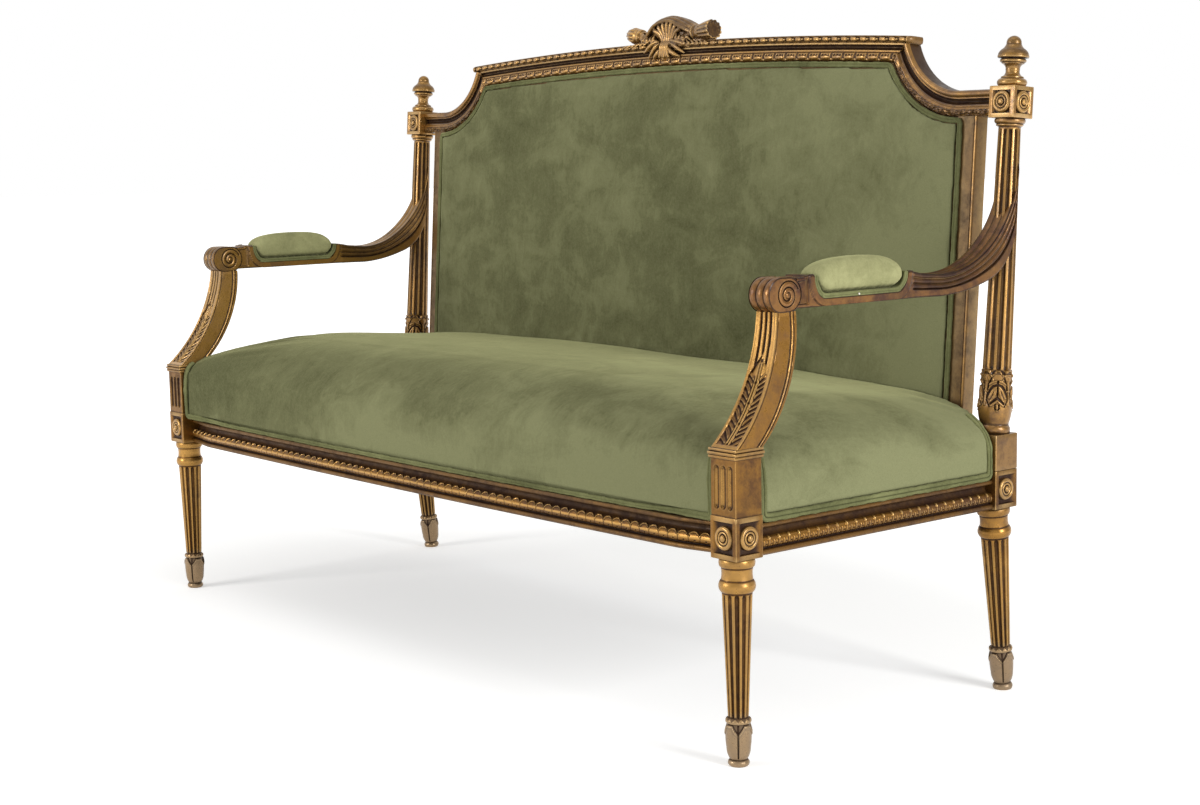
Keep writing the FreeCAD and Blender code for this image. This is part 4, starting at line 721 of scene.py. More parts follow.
def on_face(shell, x, y, z, outward):
    """A turned shell laid on a recess's floor, its axis pointing outward."""
    if outward == "front":
        return moved(shell, lambda p: np.stack([x + p[:, 0], y + RECESS - p[:, 2], z + p[:, 1]], 1))
    return moved(shell, lambda p: np.stack([x - RECESS + p[:, 2], y + p[:, 0], z + p[:, 1]], 1))


def block_levels(half, low, high, extra=()):
    """Rows of half width and height for a plain block with softened ends."""
    return ([(half - 1.0, low), (half - 0.3, low + 0.3)]
            + [(half, z) for z in stops(low + 1.0, high - 1.0, 9.0, extra)]
            + [(half - 0.3, high - 0.3), (half - 1.0, high)])


def sunk_block(half, low, high, margins, borders, plain):
    """Block with a square recess in each face that borders gives a shade for; plain is the shade elsewhere."""
    middle = (low + high) / 2
    half_t = half - margins[0]
    half_z = (high - low) / 2 - margins[1]
    edges = [s * (half_t + d) for s in (1, -1) for d in WALL]
    wall_z = [middle + s * (half_z - d) for s in (-1, 1) for d in WALL]

    def sunk(face, t, z):
        if face in borders:
            return recess_cut(t, z, middle, half_t, half_z, borders[face])
        return 0 * t, 0 * t + plain
    return squared(block_levels(half, low, high, wall_z), stops(-half, half, 6.0, edges), half, sunk)


def leg_shell(extra=0.0):
    """Turned leg: ring, neck, torus, fluted taper, scalloped collar, tulip cup and toe."""
    top = RAIL_LOW - 1.5
    steps = [(24.2, top), ((24.9, top - 5.0), (23.8, top - 9.6)), (21.8, top - 11.0),
             ((21.1, top - 20.0), (21.8, top - 27.6)), (22.6, top - 28.6),
             ((25.3, top - 37.0), (22.4, top - 44.4)), (21.2, top - 45.2)]
    upper = trace((21.0, top + 3.0), steps, 1.0)
    shaft = np.stack([np.linspace(21.0, 14.4, 92), np.linspace(top - 46.0, 68.0, 92)], 1)
    lower = trace((14.4, 67.6), [((17.8, 64.0), (16.4, 59.6)), (16.9, 58.8), ((18.0, 44.0), (16.8, 26.0)),
                                 ((15.2, 16.0), (12.4, 10.0)), (11.8, 9.2), ((14.9, 5.2), (12.4, 0.0 - extra))], 1.0)
    profile = np.vstack([upper, shaft, lower])[::-1]
    flutes = shaft_flutes(12, 70.0, top - 50.0, 0.62, 3.6, 0.5)

    def relief(theta, r, z):
        out, shade = flutes(theta, r, z)
        on_shaft = (z > 66.0) & (z < top - 45.6)
        out = np.where(on_shaft, out, 0)
        shade = np.where(on_shaft, shade, 0)
        petal = (theta * 4 / math.tau) % 1.0 - 0.5
        seam = np.abs(petal) * math.tau * 16 / 4
        cup = (z > 9.4) & (z < 60.0)
        above_toe = z > 12
        lip = 59.0 - 12.0 * np.clip(1 - seam / 8.0, 0, 1) ** 0.75
        inside = ease((lip - z) / 1.6)
        seam_cut = 1.6 * dome(seam, 1.1) * above_toe
        curl = 1.3 * dome(z - lip + 2.2, 3.0)
        out = out + np.where(cup, (inside - 1) * 1.8 - seam_cut * inside + curl * inside, 0)
        cup_shade = (1 - inside) * 0.55 + 0.9 * dome(z - lip - 0.4, 1.3) + 0.8 * dome(seam, 1.5) * above_toe
        shade = shade + np.where(cup, cup_shade, 0)
        collar = (z > 60.0) & (z < 68.6)
        scallop = np.abs(((theta * 12 / math.tau) % 1.0) - 0.5) * 2
        under_scallop = ease((z - 62.5 - 4.5 * scallop) / 1.4)
        out = out + np.where(collar, -1.3 * under_scallop, 0)
        shade = shade + np.where(collar, 0.6 * under_scallop, 0)
        rings = 0.7 * dome(z - (top - 11.2), 1.3) + 0.6 * dome(z - (top - 28.2), 1.2)
        rings = rings + 0.8 * dome(z - (top - 45.4), 1.4)
        # flutes, rings, the cup's seams and the line under its lip darker: dirt and painted shade; plain parts above
        # the cup brighter
        dirt_and_shade = np.clip(shade + rings + 0.7 * dome(z - 9.4, 1.3), 0, 1)
        return out, dirt_and_shade - 0.5 * (1 - dirt_and_shade) ** 4 * (z > 58)
    return turned(profile, 240, relief)


def front_leg():
    """Front leg with its block, the fluted stump above it and the reeded cap."""
    # the border round the side face's recess is darker than the front's: painted shade
    body = sunk_block(BLOCK, RAIL_LOW, BLOCK_TOP, (6.2, 7.0), {0: 0.2, 1: 0.2 + 0.14}, 0.2)
    low = BLOCK_TOP + 11.0
    high = STUMP_TOP - 10.0

    def fluted(face, t, z):
        cut = 0 * t
        # painted shadow: a dark line at the stump's foot, over the block
        shade = np.maximum(0 * t + 0.36, 0.8 * ease((BLOCK_TOP + 1.8 - z) / 0.8))
        if face == 0:
            for x in (-13.0, 0.0, 13.0):
                c, s = flute_cut(t - x, z, 4.9, low + 4, high - 4, 3.9)
                cut = np.maximum(cut, c)
                # painted light in the flutes: their left walls bright, their right walls dark
                shade = np.where(s > 0.12, 1.5 * ease((t - x + 2.6) / 2.6) - 0.55, shade)
        return cut, shade
    levels = [(STUMP, z) for z in stops(BLOCK_TOP, STUMP_TOP, 1.2)]
    stump = squared(levels, stops(-STUMP, STUMP, 0.7), STUMP, fluted)
    rows = [(24.5, STUMP_TOP - 0.5)]
    reed = (CAP_TOP - STUMP_TOP) / 3
    for k, wide in enumerate((26.6, 27.5, 26.4)):
        z = STUMP_TOP + k * reed
        rows += [(wide - 1.5, z + 0.05), (wide - 0.5, z + reed * 0.12), (wide - 0.1, z + reed * 0.3),
                 (wide, z + reed * 0.55), (wide - 0.3, z + reed * 0.85), (wide - 1.5, z + reed - 0.05)]
    rows += [(24.0, CAP_TOP)]

    def reed_shade(face, t, z):
        phase = ((z - STUMP_TOP) / reed) % 1.0
        return 0 * t, 0.2 + 0.7 * (np.minimum(phase, 1 - phase) < 0.07)
    cap = squared(rows, stops(-27, 27, 9.0), 27.5, reed_shade, 1.0)
    return [moved(s, shifted(SPAN, 0, 0)) for s in (leg_shell(), body, stump, cap)]


def rear_leg():
    """Rear leg, splayed backwards under its upright block."""
    def to_floor(p):
        y, z = p[:, 1], p[:, 2] - RAIL_LOW
        back = y * math.cos(SPLAY) - z * math.sin(SPLAY)
        height = RAIL_LOW + y * math.sin(SPLAY) + z * math.cos(SPLAY)
        return np.stack([p[:, 0], back, np.maximum(height, 0)], 1) + (SPAN, DEPTH, 0)
    pts, quads, tris, dark = moved(leg_shell(2.0), to_floor)
    # painted shade: the rear leg's upper part and its block are darker than the front leg's
    leg = pts, quads, tris, np.clip(dark + 0.3 * ease((pts[:, 2] - 200) / 20), -1, 1)
    body = sunk_block(BLOCK, RAIL_LOW, BLOCK_TOP, (6.2, 7.0), {1: 0.42}, 0.4)
    return [leg, moved(body, shifted(SPAN, DEPTH, 0))]


# Leaf vase of the back post: height, half width and line of each ridge and groove, from the middle of a leaf
# and down from the vase's top
VASE_RIDGES = [
    (1.3, 1.5, [(0.0, 1.2), (3.2, 2.6), (7.4, 8.2)]), (1.8, 1.6, [(18.5, 0.5), (13.5, 4.5), (9.0, 11.6)]),
    (1.5, 1.6, [(1.8, 16.8), (7.0, 18.2), (14.2, 22.5)]), (1.6, 2.0, [(1.6, 25.5), (7.0, 31.0), (12.6, 42.0)]),
    (1.7, 2.2, [(2.4, 29.0), (4.2, 36.5)]), (1.2, 1.6, [(4.6, 38.0), (9.5, 47.0)]),
    (1.5, 1.5, [(0.0, 46.0), (8.8, 53.5)]), (1.6, 1.7, [(0.0, 53.0), (0.0, 57.5)]),
    (1.0, 1.2, [(2.0, 60.0), (0.0, 62.0)]), (1.2, 2.2, [(18.85, 12.0), (18.85, 52.0)])]
VASE_GROOVES = [
    (1.0, 1.6, [(9.4, 12.0), (14.6, 21.0), (16.2, 30.0)]),
    (1.0, 1.9, [(0.0, 17.5), (0.0, 22.5), (7.4, 24.5), (12.4, 31.0), (15.4, 40.0)]),
    (1.0, 1.5, [(0.0, 26.0), (0.0, 40.5), (9.8, 50.5)]), (1.0, 2.0, [(0.0, 41.5), (5.5, 46.5)]),
    (1.0, 1.1, [(2.6, 52.0), (3.2, 57.0), (1.8, 59.5)]), (0.8, 1.2, [(11.0, 55.0), (16.0, 46.0), (16.8, 34.0)])]


def vase_relief(theta, z, low, high):
    """Pointed leaves on the diagonals, each over a chevron, a split leaf and a drop, between plain leaves with
    tips turned out."""
    d = high - z
    inside = (z > low) & (d > 0)
    phase = ((theta + math.pi / 4) * 4 / math.tau + 0.5) % 1.0 - 0.5
    a = np.abs(phase) * math.tau * 24.0 / 4

    def strokes(table):
        return np.max([height * stroke(a, d, line, half) for height, half, line in table], 0)
    ridge = strokes(VASE_RIDGES)
    groove = np.maximum(strokes(VASE_GROOVES), stroke(a, d, [(4.0, 0.0), (10.5, 6.0)], 2.6) * (d < 7))
    flare = 3.6 * ease((5.0 - d) / 5.0) * dome(a - 18.85, 6.0) + 1.6 * ease((4.0 - d) / 4.0) * dome(a, 4.0)
    leaf = 1.1 * ease((18.0 - d) / 3) * ease((a - 8.5 + 0.6 * np.abs(d - 11)) / 1.4)
    out = ridge - 2.3 * groove + flare + leaf
    fade = ease(np.minimum(z - low, d + 0.6) / 1.2)
    shade = 0.95 * np.clip(groove * 1.25 - 0.5 * ridge, 0, 1) + 0.06
    return np.where(inside, out * fade, 0), np.where(inside, shade, 0)


def on_post(p):
    """Points of the back post's turning, set on the rear leg and leaned."""
    return raked(p + (SPAN, DEPTH, POST_BASE))


def back_post():
    """Back post: plain base block, ring, leaf vase, fluted column, ring and top block."""
    ring = trace((21.5, -0.6), [((24.2, 6.0), (21.8, 12.0)), (21.5, 13.0), (21.6, 15.0)], 0.8)
    vase = trace((21.6, 15.2), [((24.3, 26.0), (25.2, 42.0)), ((23.0, 67.0), (22.9, 88.6))], 0.55)
    shaft = np.stack([np.linspace(21.6, 16.4, 150), np.linspace(89.0, COLUMN_HIGH - 0.5, 150)], 1)
    z = COLUMN_HIGH
    head = trace((16.6, z), [(19.4, z + 1.6), ((20.2, z + 3.2), (19.6, z + 4.4)), (20.4, z + 5.0),
                             ((22.9, z + 9.0), (20.6, z + 13.0)), (16.0, z + 13.4)], 0.6)
    profile = np.vstack([ring, vase, shaft, head])
    flutes = shaft_flutes(12, COLUMN_LOW + 9.0, COLUMN_HIGH - 6.0, 0.66, 4.0)

    def relief(theta, r, z):
        out, shade = flutes(theta, r, z)
        on_shaft = (z > COLUMN_LOW + 6.6) & (z < COLUMN_HIGH - 1)
        v_out, v_shade = vase_relief(theta, z, 17.0, 95.6)
        out = np.where(on_shaft, out, v_out)
        shade = np.where(on_shaft, shade, v_shade)
        rings = 0.12 * (z < COLUMN_LOW) + 0.7 * dome(z - 14.0, 1.4) + 0.6 * dome(z - COLUMN_HIGH - 4.8, 0.9)
        rings = rings + 0.5 * dome(z - COLUMN_HIGH, 1.2)
        return out, np.clip(shade + rings + 0.14 * (z < COLUMN_LOW), 0, 1)
    post = moved(turned(profile, 288, relief), on_post)
    top = sunk_block(TOP_BLOCK, TOP_BLOCK_LOW, TOP_BLOCK_HIGH, (6.5, 6.5), {0: 0.0, 1: 0.0}, 0.0)
    # painted shade: the block under the post is darker all over, like the rear leg's block
    base = squared(block_levels(BLOCK, BLOCK_TOP + 0.3, POST_BASE), stops(-BLOCK, BLOCK, 8.0), BLOCK,
                   lambda face, t, z: (0 * t, 0 * t + 0.48))
    return [post, moved(top, on_post), moved(base, shifted(SPAN, DEPTH, 0))]


def finial():
    """Turned finial: ring, neck, torus, bell and bud."""
    z = TOP_BLOCK_HIGH
    steps = [((22.2, z + 6.0), (18.6, z + 11.0)), (17.0, z + 11.4), (16.6, z + 14.0),
             ((10.8, z + 19.0), (10.6, z + 24.0)), ((12.0, z + 30.0), (16.4, z + 33.0)), (16.6, z + 34.6),
             ((19.6, z + 37.4), (16.6, z + 40.2)), (16.8, z + 41.0), (22.8, z + 41.8),
             ((23.4, z + 43.4), (22.9, z + 45.2)), ((20.8, z + 50.6), (16.6, z + 54.6)),
             ((13.4, z + 57.8), (11.3, z + 61.8)), (11.0, z + 62.4), ((9.6, z + 69.0), (4.8, z + 73.2)),
             ((2.6, z + 74.0), (0.5, z + 74.2))]
    profile = trace((18.0, z - 0.3), steps, 0.8)

    def relief(theta, r, h):
        lines = 0.7 * dome(h - z - 12.0, 1.0) + 0.6 * dome(h - z - 34.2, 0.9) + 0.8 * dome(h - z - 41.2, 1.0)
        aged = 0.42 * dome(h - z - 51.5, 5.5) + 0.25 * dome(h - z - 66.0, 4.0) + 0.12
        return 0 * r, np.clip(lines + aged + 0.5 * dome(h - z - 61.8, 0.9), 0, 1)
    return moved(turned(profile, 64, relief), on_post)


both_sides("front_leg", front_leg(), gilt, ["front_leg"])
both_sides("rear_leg", rear_leg(), gilt, ["rear_leg"])
both_sides("back_post", back_post(), gilt_high, ["back_post"])
both_sides("finial", [finial()], gilt_soft, ["finial"])
front_mid = (RAIL_LOW + BLOCK_TOP) / 2
front_set = [on_face(rosette(), SPAN, -BLOCK, front_mid, "front"),
             on_face(rosette(), SPAN + BLOCK, 0, front_mid, "side")]
both_sides("front_rosettes", front_set, gilt_soft, ["front_rosettes"])
rear_set = [on_face(rosette(), SPAN + BLOCK, DEPTH, front_mid, "side")]
both_sides("rear_rosette", rear_set, gilt_soft, ["rear_rosette"])
top_mid = POST_BASE + (TOP_BLOCK_LOW + TOP_BLOCK_HIGH) / 2
top_set = [on_face(rosette(), SPAN, DEPTH - TOP_BLOCK, top_mid, "front"),
           on_face(rosette(), SPAN + TOP_BLOCK, DEPTH, top_mid, "side")]
both_sides("top_rosettes", [moved(s, raked) for s in top_set], gilt_soft, ["top_rosettes"])


# Seat rails

def front_line(x):
    """Depth of the front rail's face at x."""
    reach = np.minimum(np.abs(x), 739.0)
    return np.where(reach <= 649, -27 + 9 * (reach / 649) ** 2, -18 + 13 * ease((reach - 649) / 90))


RAIL_PROFILE = trace((-30, 287), [(-4.2, 287), ((-3.2, 287.4), (-2.6, 288.2)), ((0, 291), (-2.8, 294.6)),
                                  (-3.6, 295), (-7, 295.2), (-7, 297), ((-1, 304.5), (-7, 312)), (-9, 312.2),
                                  ((-15, 317.9), (-5.6, 324.8)), (-3.4, 325.2), ((-1.5, 328), (-3, 330.9)),
                                  (-30, 331)], 0.75)


def rail_relief(s, front):
    """Carving of the rail's band of barrels, and the shade of each moulding."""
    out, z = RAIL_PROFILE[None, :, 0], RAIL_PROFILE[None, :, 1]
    s = s[:, None]
    band = (z > 297.05) & (z < 312.1) & (out > -9.2)
    t = (z - 304.5) / 7.5
    if front:
        pitch = 19.2
        phase = ((s - 2.8 * (1 - t * t)) / pitch) % 1.0
        edge = np.minimum(phase, 1 - phase) * pitch
        cut = dome(edge, 0.65) * ease((0.5 - t) / 0.2)
        arch = np.hypot((phase - 0.5) * pitch / 9.5, np.maximum(t - 0.1, 0) / 0.88)
        rim = dome(arch - 0.96, 0.075) * ease((t - 0.05) / 0.15)
        inner = dome(arch - 0.85, 0.05) * ease((t - 0.15) / 0.15)
        outside = ease((arch - 1.03) / 0.04) * ease((t - 0.3) / 0.1)
        hole = dome(np.hypot((phase - 0.55) * pitch, z - 300.4), 1.45)
        height = 0.4 - 0.8 * cut + 1.0 * rim - 0.5 * inner - 1.7 * hole - 1.0 * outside
        shade = np.maximum(np.maximum(0.85 * cut, hole), np.maximum(0.75 * outside, 0.7 * inner))
        shade = np.maximum(shade, 0.4 * ease((t - 0.28) / 0.15) * (arch < 0.86))
        shade = np.maximum(shade, 0.22 * ease((-0.3 - t) / 0.2))
        # painted highlights: a bright band along the barrels' middle and on their raised rims
        shade = shade - 0.75 * (dome(t - 0.08, 0.2) > 0.2) * (shade < 0.05) - 0.6 * (rim > 0.5)
    else:
        pitch = 18.9
        phase = (s / pitch) % 1.0
        edge = np.minimum(phase, 1 - phase) * pitch
        near = np.abs(((s / pitch * 2) % 1.0) - 0.5) * pitch / 2
        rib = dome(near - pitch / 4, 1.3) * np.where(edge < 2, 1.0, 0.8 * ease((0.35 - t) / 0.3))
        pearl = dome(np.hypot(edge, z - 309.6), 2.5)
        hole = dome(np.hypot(near, z - 301.0), 1.7)
        beside = dome(np.abs(near - pitch / 4) - 2.1, 0.9) * ease((0.45 - t) / 0.3)
        height = 0.55 * rib + 1.6 * pearl - 1.6 * hole - 0.6 * beside
        # the pearls are brightened as painted glints
        shade = np.maximum(0.9 * hole, 0.5 * beside) - 0.5 * (pearl > 0.3)
    plain = np.select([z < 295.01, z < 297.3, z < 312.15, z < 325.0], [0.50, 1.0, 0.06, 0.88], 0.58)
    plain = np.where(out < -28, 0.7, plain)
    plain = np.broadcast_to(plain, height.shape)
    carved_shade = np.where(shade < 0, shade, np.maximum(plain, shade))
    return np.where(band, height, 0), np.where(band, carved_shade, plain)


def rail(points, outward, s, front):
    """Moulding of a seat rail along points, s the length along it."""
    offset, shade = rail_relief(s, front)
    up = np.broadcast_to([0.0, 0, 1], points.shape)
    return swept(points, outward, up, RAIL_PROFILE, offset=offset, shade=shade)


x = stops(-739.5, 739.5, 1.15)
line = np.stack([x, front_line(x), 0 * x], 1)
ahead = np.gradient(line, axis=0)
length = lengths(line)
outward = np.stack([ahead[:, 1], -ahead[:, 0], 0 * x], 1) / np.linalg.norm(ahead, axis=1)[:, None]
build("front_rail_moulding", [rail(line, outward, length, True)], gilt, ["front_seat_rail"])
y = stops(24.5, 508.5, 1.0)
side_line = np.stack([0 * y + SIDE_FACE, y, 0 * y], 1)
side_rail = rail(side_line, np.broadcast_to([1.0, 0, 0], side_line.shape), y - 24.5, False)
both_sides("side_rail_moulding", [side_rail], gilt, ["side_seat_rail"])


# Back frame

def circle_meet(w_shoulder, w_arch):
    """Point where a shoulder line and an arch line cross, at distances outwards from the upholstery."""
    r0 = SHOULDER_RADIUS - w_shoulder
    r1 = ARCH_RADIUS + w_arch
    dx = SHOULDER_X
    dh = SHOULDER_H - ARCH_CENTRE
    gap = math.hypot(dx, dh)
    a = (r1 * r1 - r0 * r0 + gap * gap) / (2 * gap)
    h = math.sqrt(r1 * r1 - a * a)
    return (a * dx - h * dh) / gap, ARCH_CENTRE + (a * dh + h * dx) / gap


def leafy(s, a, half, pitch, wander):
    """Height and shade of running acanthus: curling leaflets each side of a wandering rib, in sprays."""
    q = a - wander * np.sin(s * math.tau / 47.0)
    t = np.clip(np.abs(q) / half, 0, 1)
    drift = 0.22 * np.sin(s / 7.1 + 1.3) + 0.15 * np.sin(s / 3.7)
    phase = (s / pitch - 1.25 * t ** 1.5 + np.where(q < 0, 0.42, 0.0) + drift) % 1.0
    body = np.clip(1 - np.abs(phase - 0.5) / 0.42, 0, 1) ** 0.6
    vein = dome(phase - 0.5, 0.09) * (t > 0.2)
    spray = 0.5 + 0.5 * np.sin(s * math.tau / (pitch * 2.7) + 2.0 * np.sign(q))
    tip = dome(t, 1.02)
    height = (1.6 + 1.5 * spray) * body * tip + 1.3 * dome(np.abs(q), 1.2) - 0.5 * vein * tip
    shade = np.clip(1.0 * (1 - body / 0.5), 0, 1) * ease((t - 0.06) / 0.12)
    return height, np.maximum(np.maximum(shade, 0.5 * vein * tip), 0.8 * ease((t - 0.93) / 0.07))


def band_blocks(s, w):
    """Height and shade of the top rail's band: tongue-shaped blocks with a berry between their feet."""
    pitch = 26.0
    phase = (s / pitch) % 1.0
    along = (phase - 0.5) * pitch
    berry = dome(np.hypot(np.minimum(phase, 1 - phase) * pitch, w - 2.6), 2.7)
    lean = along - 0.18 * (w - 8)
    side = np.abs(lean)
    inside = np.minimum(11.2 - side, np.minimum(w - 1.2, 14.6 - w))
    block = ease(inside / 1.1)
    frame_line = dome(inside - 2.2, 0.9) * (w > 7.2)
    belly = dome(np.hypot(lean / 9.4, (w - 6.2) / 3.9), 1.0)
    well = ease((inside - 2.4) / 0.9) * (w > 8.6)
    curl = dome(np.hypot(lean - 3.5, w - 11.3), 2.2) + dome(np.hypot(lean + 3.2, w - 11.0), 1.9)
    curl = curl + dome(np.hypot(lean + 7.6, w - 11.9), 1.4)
    height = 1.0 * block + 2.2 * belly - 1.2 * well + 0.4 * frame_line + 2.6 * berry + 1.0 * curl * well
    between = (1 - block) * (1 - berry)
    in_well = well * (1 - belly) * (1 - 0.8 * np.clip(curl, 0, 1))
    return height, np.clip(0.85 * between + 0.85 * in_well, 0, 1)


FACE = trace((0, 6.8), [((8, 11), (16, 8)), (18, 8), (18.6, 7.4), ((20.6, 3.2), (22.2, 2.2)),
                        ((23.2, 3.8), (24.2, 2.2)), ((26.0, 3.6), (26.7, 7.4)), (27.2, 8), (29, 8)], 0.8)
BEAD = trace((29, 8), [(29.5, 8.6), ((34.5, 13), (39.6, 8.4)), (40, 7.6)], 0.8)


def face_shade(w):
    """Shade of the back frame's mouldings at a distance outwards from the upholstery."""
    bounds = (16, 18.3, 22.6, 23.8, 27.0, 29.3)
    return np.select([w < bound for bound in bounds], [0.16, 0.25, 0.97, 0.80, 0.97, 0.30], 0.14)


def closed_section(front, depth=-17.0):
    """A moulding's face closed round the back, its interior on the left."""
    return np.vstack([[[front[-1, 0], depth]], [[front[0, 0], depth]], front])[::-1]


def top_rail():
    """Arched top rail with its band of blocks."""
    section = closed_section(FACE)
    w, f = section[:, 0], section[:, 1]
    ends = np.array([math.asin(circle_meet(v, v)[0] / (ARCH_RADIUS + v)) for v in w])
    share = np.linspace(-1, 1, 1181)[:, None]
    angle = share * ends
    s = angle * (ARCH_RADIUS + 8.0)
    carved_part = (w < 15.99) & (f > 6.5)
    height, shade = band_blocks(s + 13.0, np.broadcast_to(w, s.shape))
    fade = ease((15.4 - w) / 1.2) * ease((w + 0.2) / 0.8)
    f_all = f + np.where(carved_part, height * fade - 0.6, 0)
    dark = np.where(carved_part, shade, np.where(f > 1.0, face_shade(w), 0.75))
    radius = ARCH_RADIUS + w
    pts = back_points(radius * np.sin(angle), ARCH_CENTRE + radius * np.cos(angle), f_all)
    return skin(pts, dark)


def shoulder():
    """Concave shoulder, from the post's side to the arch."""
    front = np.vstack([FACE, BEAD[1:]])
    section = closed_section(front)
    w, f = section[:, 0], section[:, 1]
    meets = [circle_meet(v, min(v, FLAT_WIDTH)) for v in w]
    turn = np.array([math.atan2(mh - SHOULDER_H, mx - SHOULDER_X) for mx, mh in meets])
    turn = np.where(turn > 0, turn - math.tau, turn)
    radius = SHOULDER_RADIUS - w
    straight = np.linspace(66.4, 0, 56)[:-1, None] + 0 * w
    x1 = SHOULDER_X + straight
    h1 = SHOULDER_H - radius + 0 * straight
    share = np.linspace(0, 1, 190)[:, None]
    angle = -math.pi / 2 + share * (turn + math.pi / 2)
    x2 = SHOULDER_X + radius * np.cos(angle)
    h2 = SHOULDER_H + radius * np.sin(angle)
    arc_length = (SHOULDER_RADIUS - 8) * np.abs(turn + math.pi / 2).mean()
    s = np.vstack([arc_length + straight, arc_length * (1 - share) + 0 * w])
    height, shade = leafy(s, np.broadcast_to(w - 5.2, s.shape), 5.4, 9.4, 1.1)
    strip = ease((w - 10.6) / 0.5) + 0 * s
    height = height * (1 - strip) + 0.5 * strip
    shade = shade * (1 - strip) + 0.12 * strip + 0.5 * dome(w - 10.7, 0.6)
    calyx = ease((24 - s) / 8)
    blade = 1.9 * dome(w - 12.0, 2.4) + 1.6 * dome(w - 7.4 - 0.06 * s, 1.9)
    blade = blade + 1.5 * dome(w - 3.4 - 0.10 * s, 1.7)
    height = height * (1 - calyx) + blade * calyx
    shade = shade * (1 - calyx) + 0.7 * (1 - np.clip(blade, 0, 1)) * calyx
    carved_part = (w < 15.99) & (f > 6.5)
    fade = ease((15.4 - w) / 1.2) * ease((w + 0.2) / 0.8)
    f_all = f + np.where(carved_part, height * fade - 0.8, 0)
    plain = np.where(f > 1.0, face_shade(w), 0.75)
    plain = np.where(w > 39.5, 0.62, plain)
    return skin(back_points(np.vstack([x1, x2]), np.vstack([h1, h2]), f_all), np.where(carved_part, shade, plain))


def crown():
    """Beaded crown over the top rail, returned to the back at both ends, and its core."""
    end_x = circle_meet(MOULDING, MOULDING)[0] + 10.0
    nose = 6.5
    path_radius = ARCH_RADIUS + FLAT_WIDTH
    reach = math.asin((end_x - nose) / path_radius)
    front = trace((8.0, 0.0), [(8.0, 0.7), (13.2, 0.9), ((16.6, 5.8), (13.2, 11.2)), (12.4, 11.5),
                               ((11.6, 11.9), (10.8, 12.0))], 0.5)
    section = np.vstack([[[0.0, 0.0]], front, [[0.0, 12.0]]])
    out, up = section[:, 0], section[:, 1]
    # each row's place along the arch, its turn towards the back and its run backwards
    end = [(b, 0) for b in np.linspace(0, math.pi / 2, 13)[1:]]
    end += [(math.pi / 2, b) for b in np.linspace(0, 14, 6)[1:]]
    rows = [(-reach, -sweep, run) for sweep, run in end[::-1]]
    rows += [(a, 0, 0) for a in np.linspace(-reach, reach, 1451)]
    rows += [(reach, sweep, run) for sweep, run in end]
    a, sweep, run = np.array(rows).T

    def arch_point(a, run):
        return np.stack([path_radius * np.sin(a), run, ARCH_CENTRE + path_radius * np.cos(a)], 1)

    def arch_rise(a):
        return np.stack([np.sin(a), 0 * a, np.cos(a)], 1)
    along = np.stack([np.cos(a), 0 * a, -np.sin(a)], 1)
    fore = np.array([0.0, -1.0, 0.0])
    u = np.cos(sweep)[:, None] * fore + 0.42 * np.sin(sweep)[:, None] * along
    s = a * path_radius
    pitch = 20.6
    phase = (s[:, None] / pitch + 0.5) % 1.0
    d = (phase - 0.5) * pitch
    gap = np.minimum(phase, 1 - phase) * pitch
    v = up[None] - 6.1
    slant = d + 0.18 * v * np.sign(s[:, None])
    barrel = np.clip(1 - np.abs(slant / 7.0) ** 3.2 - np.abs(v / 5.6) ** 3.0, 0, 1) ** 0.5
    pearl = dome(np.hypot(gap, v + 0.2), 2.6)
    on_front = (out[None] > 11.9) & (sweep[:, None] == 0) & (np.abs(s[:, None]) < path_radius * reach - 3)
    height = np.where(on_front, 2.6 * barrel + 3.4 * pearl - 3.4, 0)
    between = 0.95 * (1 - np.maximum(ease(barrel / 0.35), ease(pearl / 0.4)))
    dark = np.where(on_front, between, np.where(sweep[:, None] != 0, 0.62, 0.3))
    dark = np.where((up[None] > 11.5) | (out[None] < 7), 0.6, dark)
    prof = np.broadcast_to(section, (len(a),) + section.shape).copy()
    prof += normals_of(section, False)[None] * height[..., None]
    pts = arch_point(a, run)[:, None] + prof[..., :1] * u[:, None] + prof[..., 1:] * arch_rise(a)[:, None]
    a = np.linspace(-reach, reach, 60)
    core_section = np.array([[0.5, 0], [0.5, 12.0], [-13.0, 12.0], [-14.0, 11.0], [-14.0, 0]])
    core = swept(arch_point(a, 0 * a), np.broadcast_to(fore, (60, 3)), arch_rise(a), core_section, shade=0.7)
    return [moved(s, lambda p: raked(p + (0, DEPTH, POST_BASE))) for s in (skin(pts, dark), core)]


def stile():
    """Upright of the back frame beside the post."""
    low = RAIL_TOP - POST_BASE + 0.2
    high = SHOULDER_H - SHOULDER_RADIUS + 1.0
    pts = trace((STILE_INNER, -17), [(STILE_OUTER, -17), (STILE_OUTER, 5.6), ((707.2, 7.5), (705.2, 8.0)), (704.0, 8.0),
                                     (703.2, 6.9), (702.4, 8.0), (STILE_INNER, 8.0)], 0.8)
    h = stops(low, high, 12.0)
    x, f = pts[:, 0], pts[:, 1]
    groove = (x > 702.3) & (x < 704.1) & (f > 4)
    dark = np.select([groove, x > 706.5, f < 0, x < 673], [0.75, 0.40, 0.7, 0.7], 0.20)
    return skin(back_points(x[None], h[:, None], f[None]), dark[None])


build("top_rail_moulding", [top_rail()], gilt_high, ["back_top_rail"])
both_sides("shoulder_moulding", [shoulder()], gilt_high, ["back_shoulder"])
build("crown_moulding", crown(), gilt_bright, ["back_crown_moulding"])
both_sides("back_stile_post", [stile()], gilt_high, ["back_stile"])


# Arm supports and arms

def at_height(z, points):
    """Depth of a traced curve at heights z."""
    return np.interp(z, points[:, 1], points[:, 0])


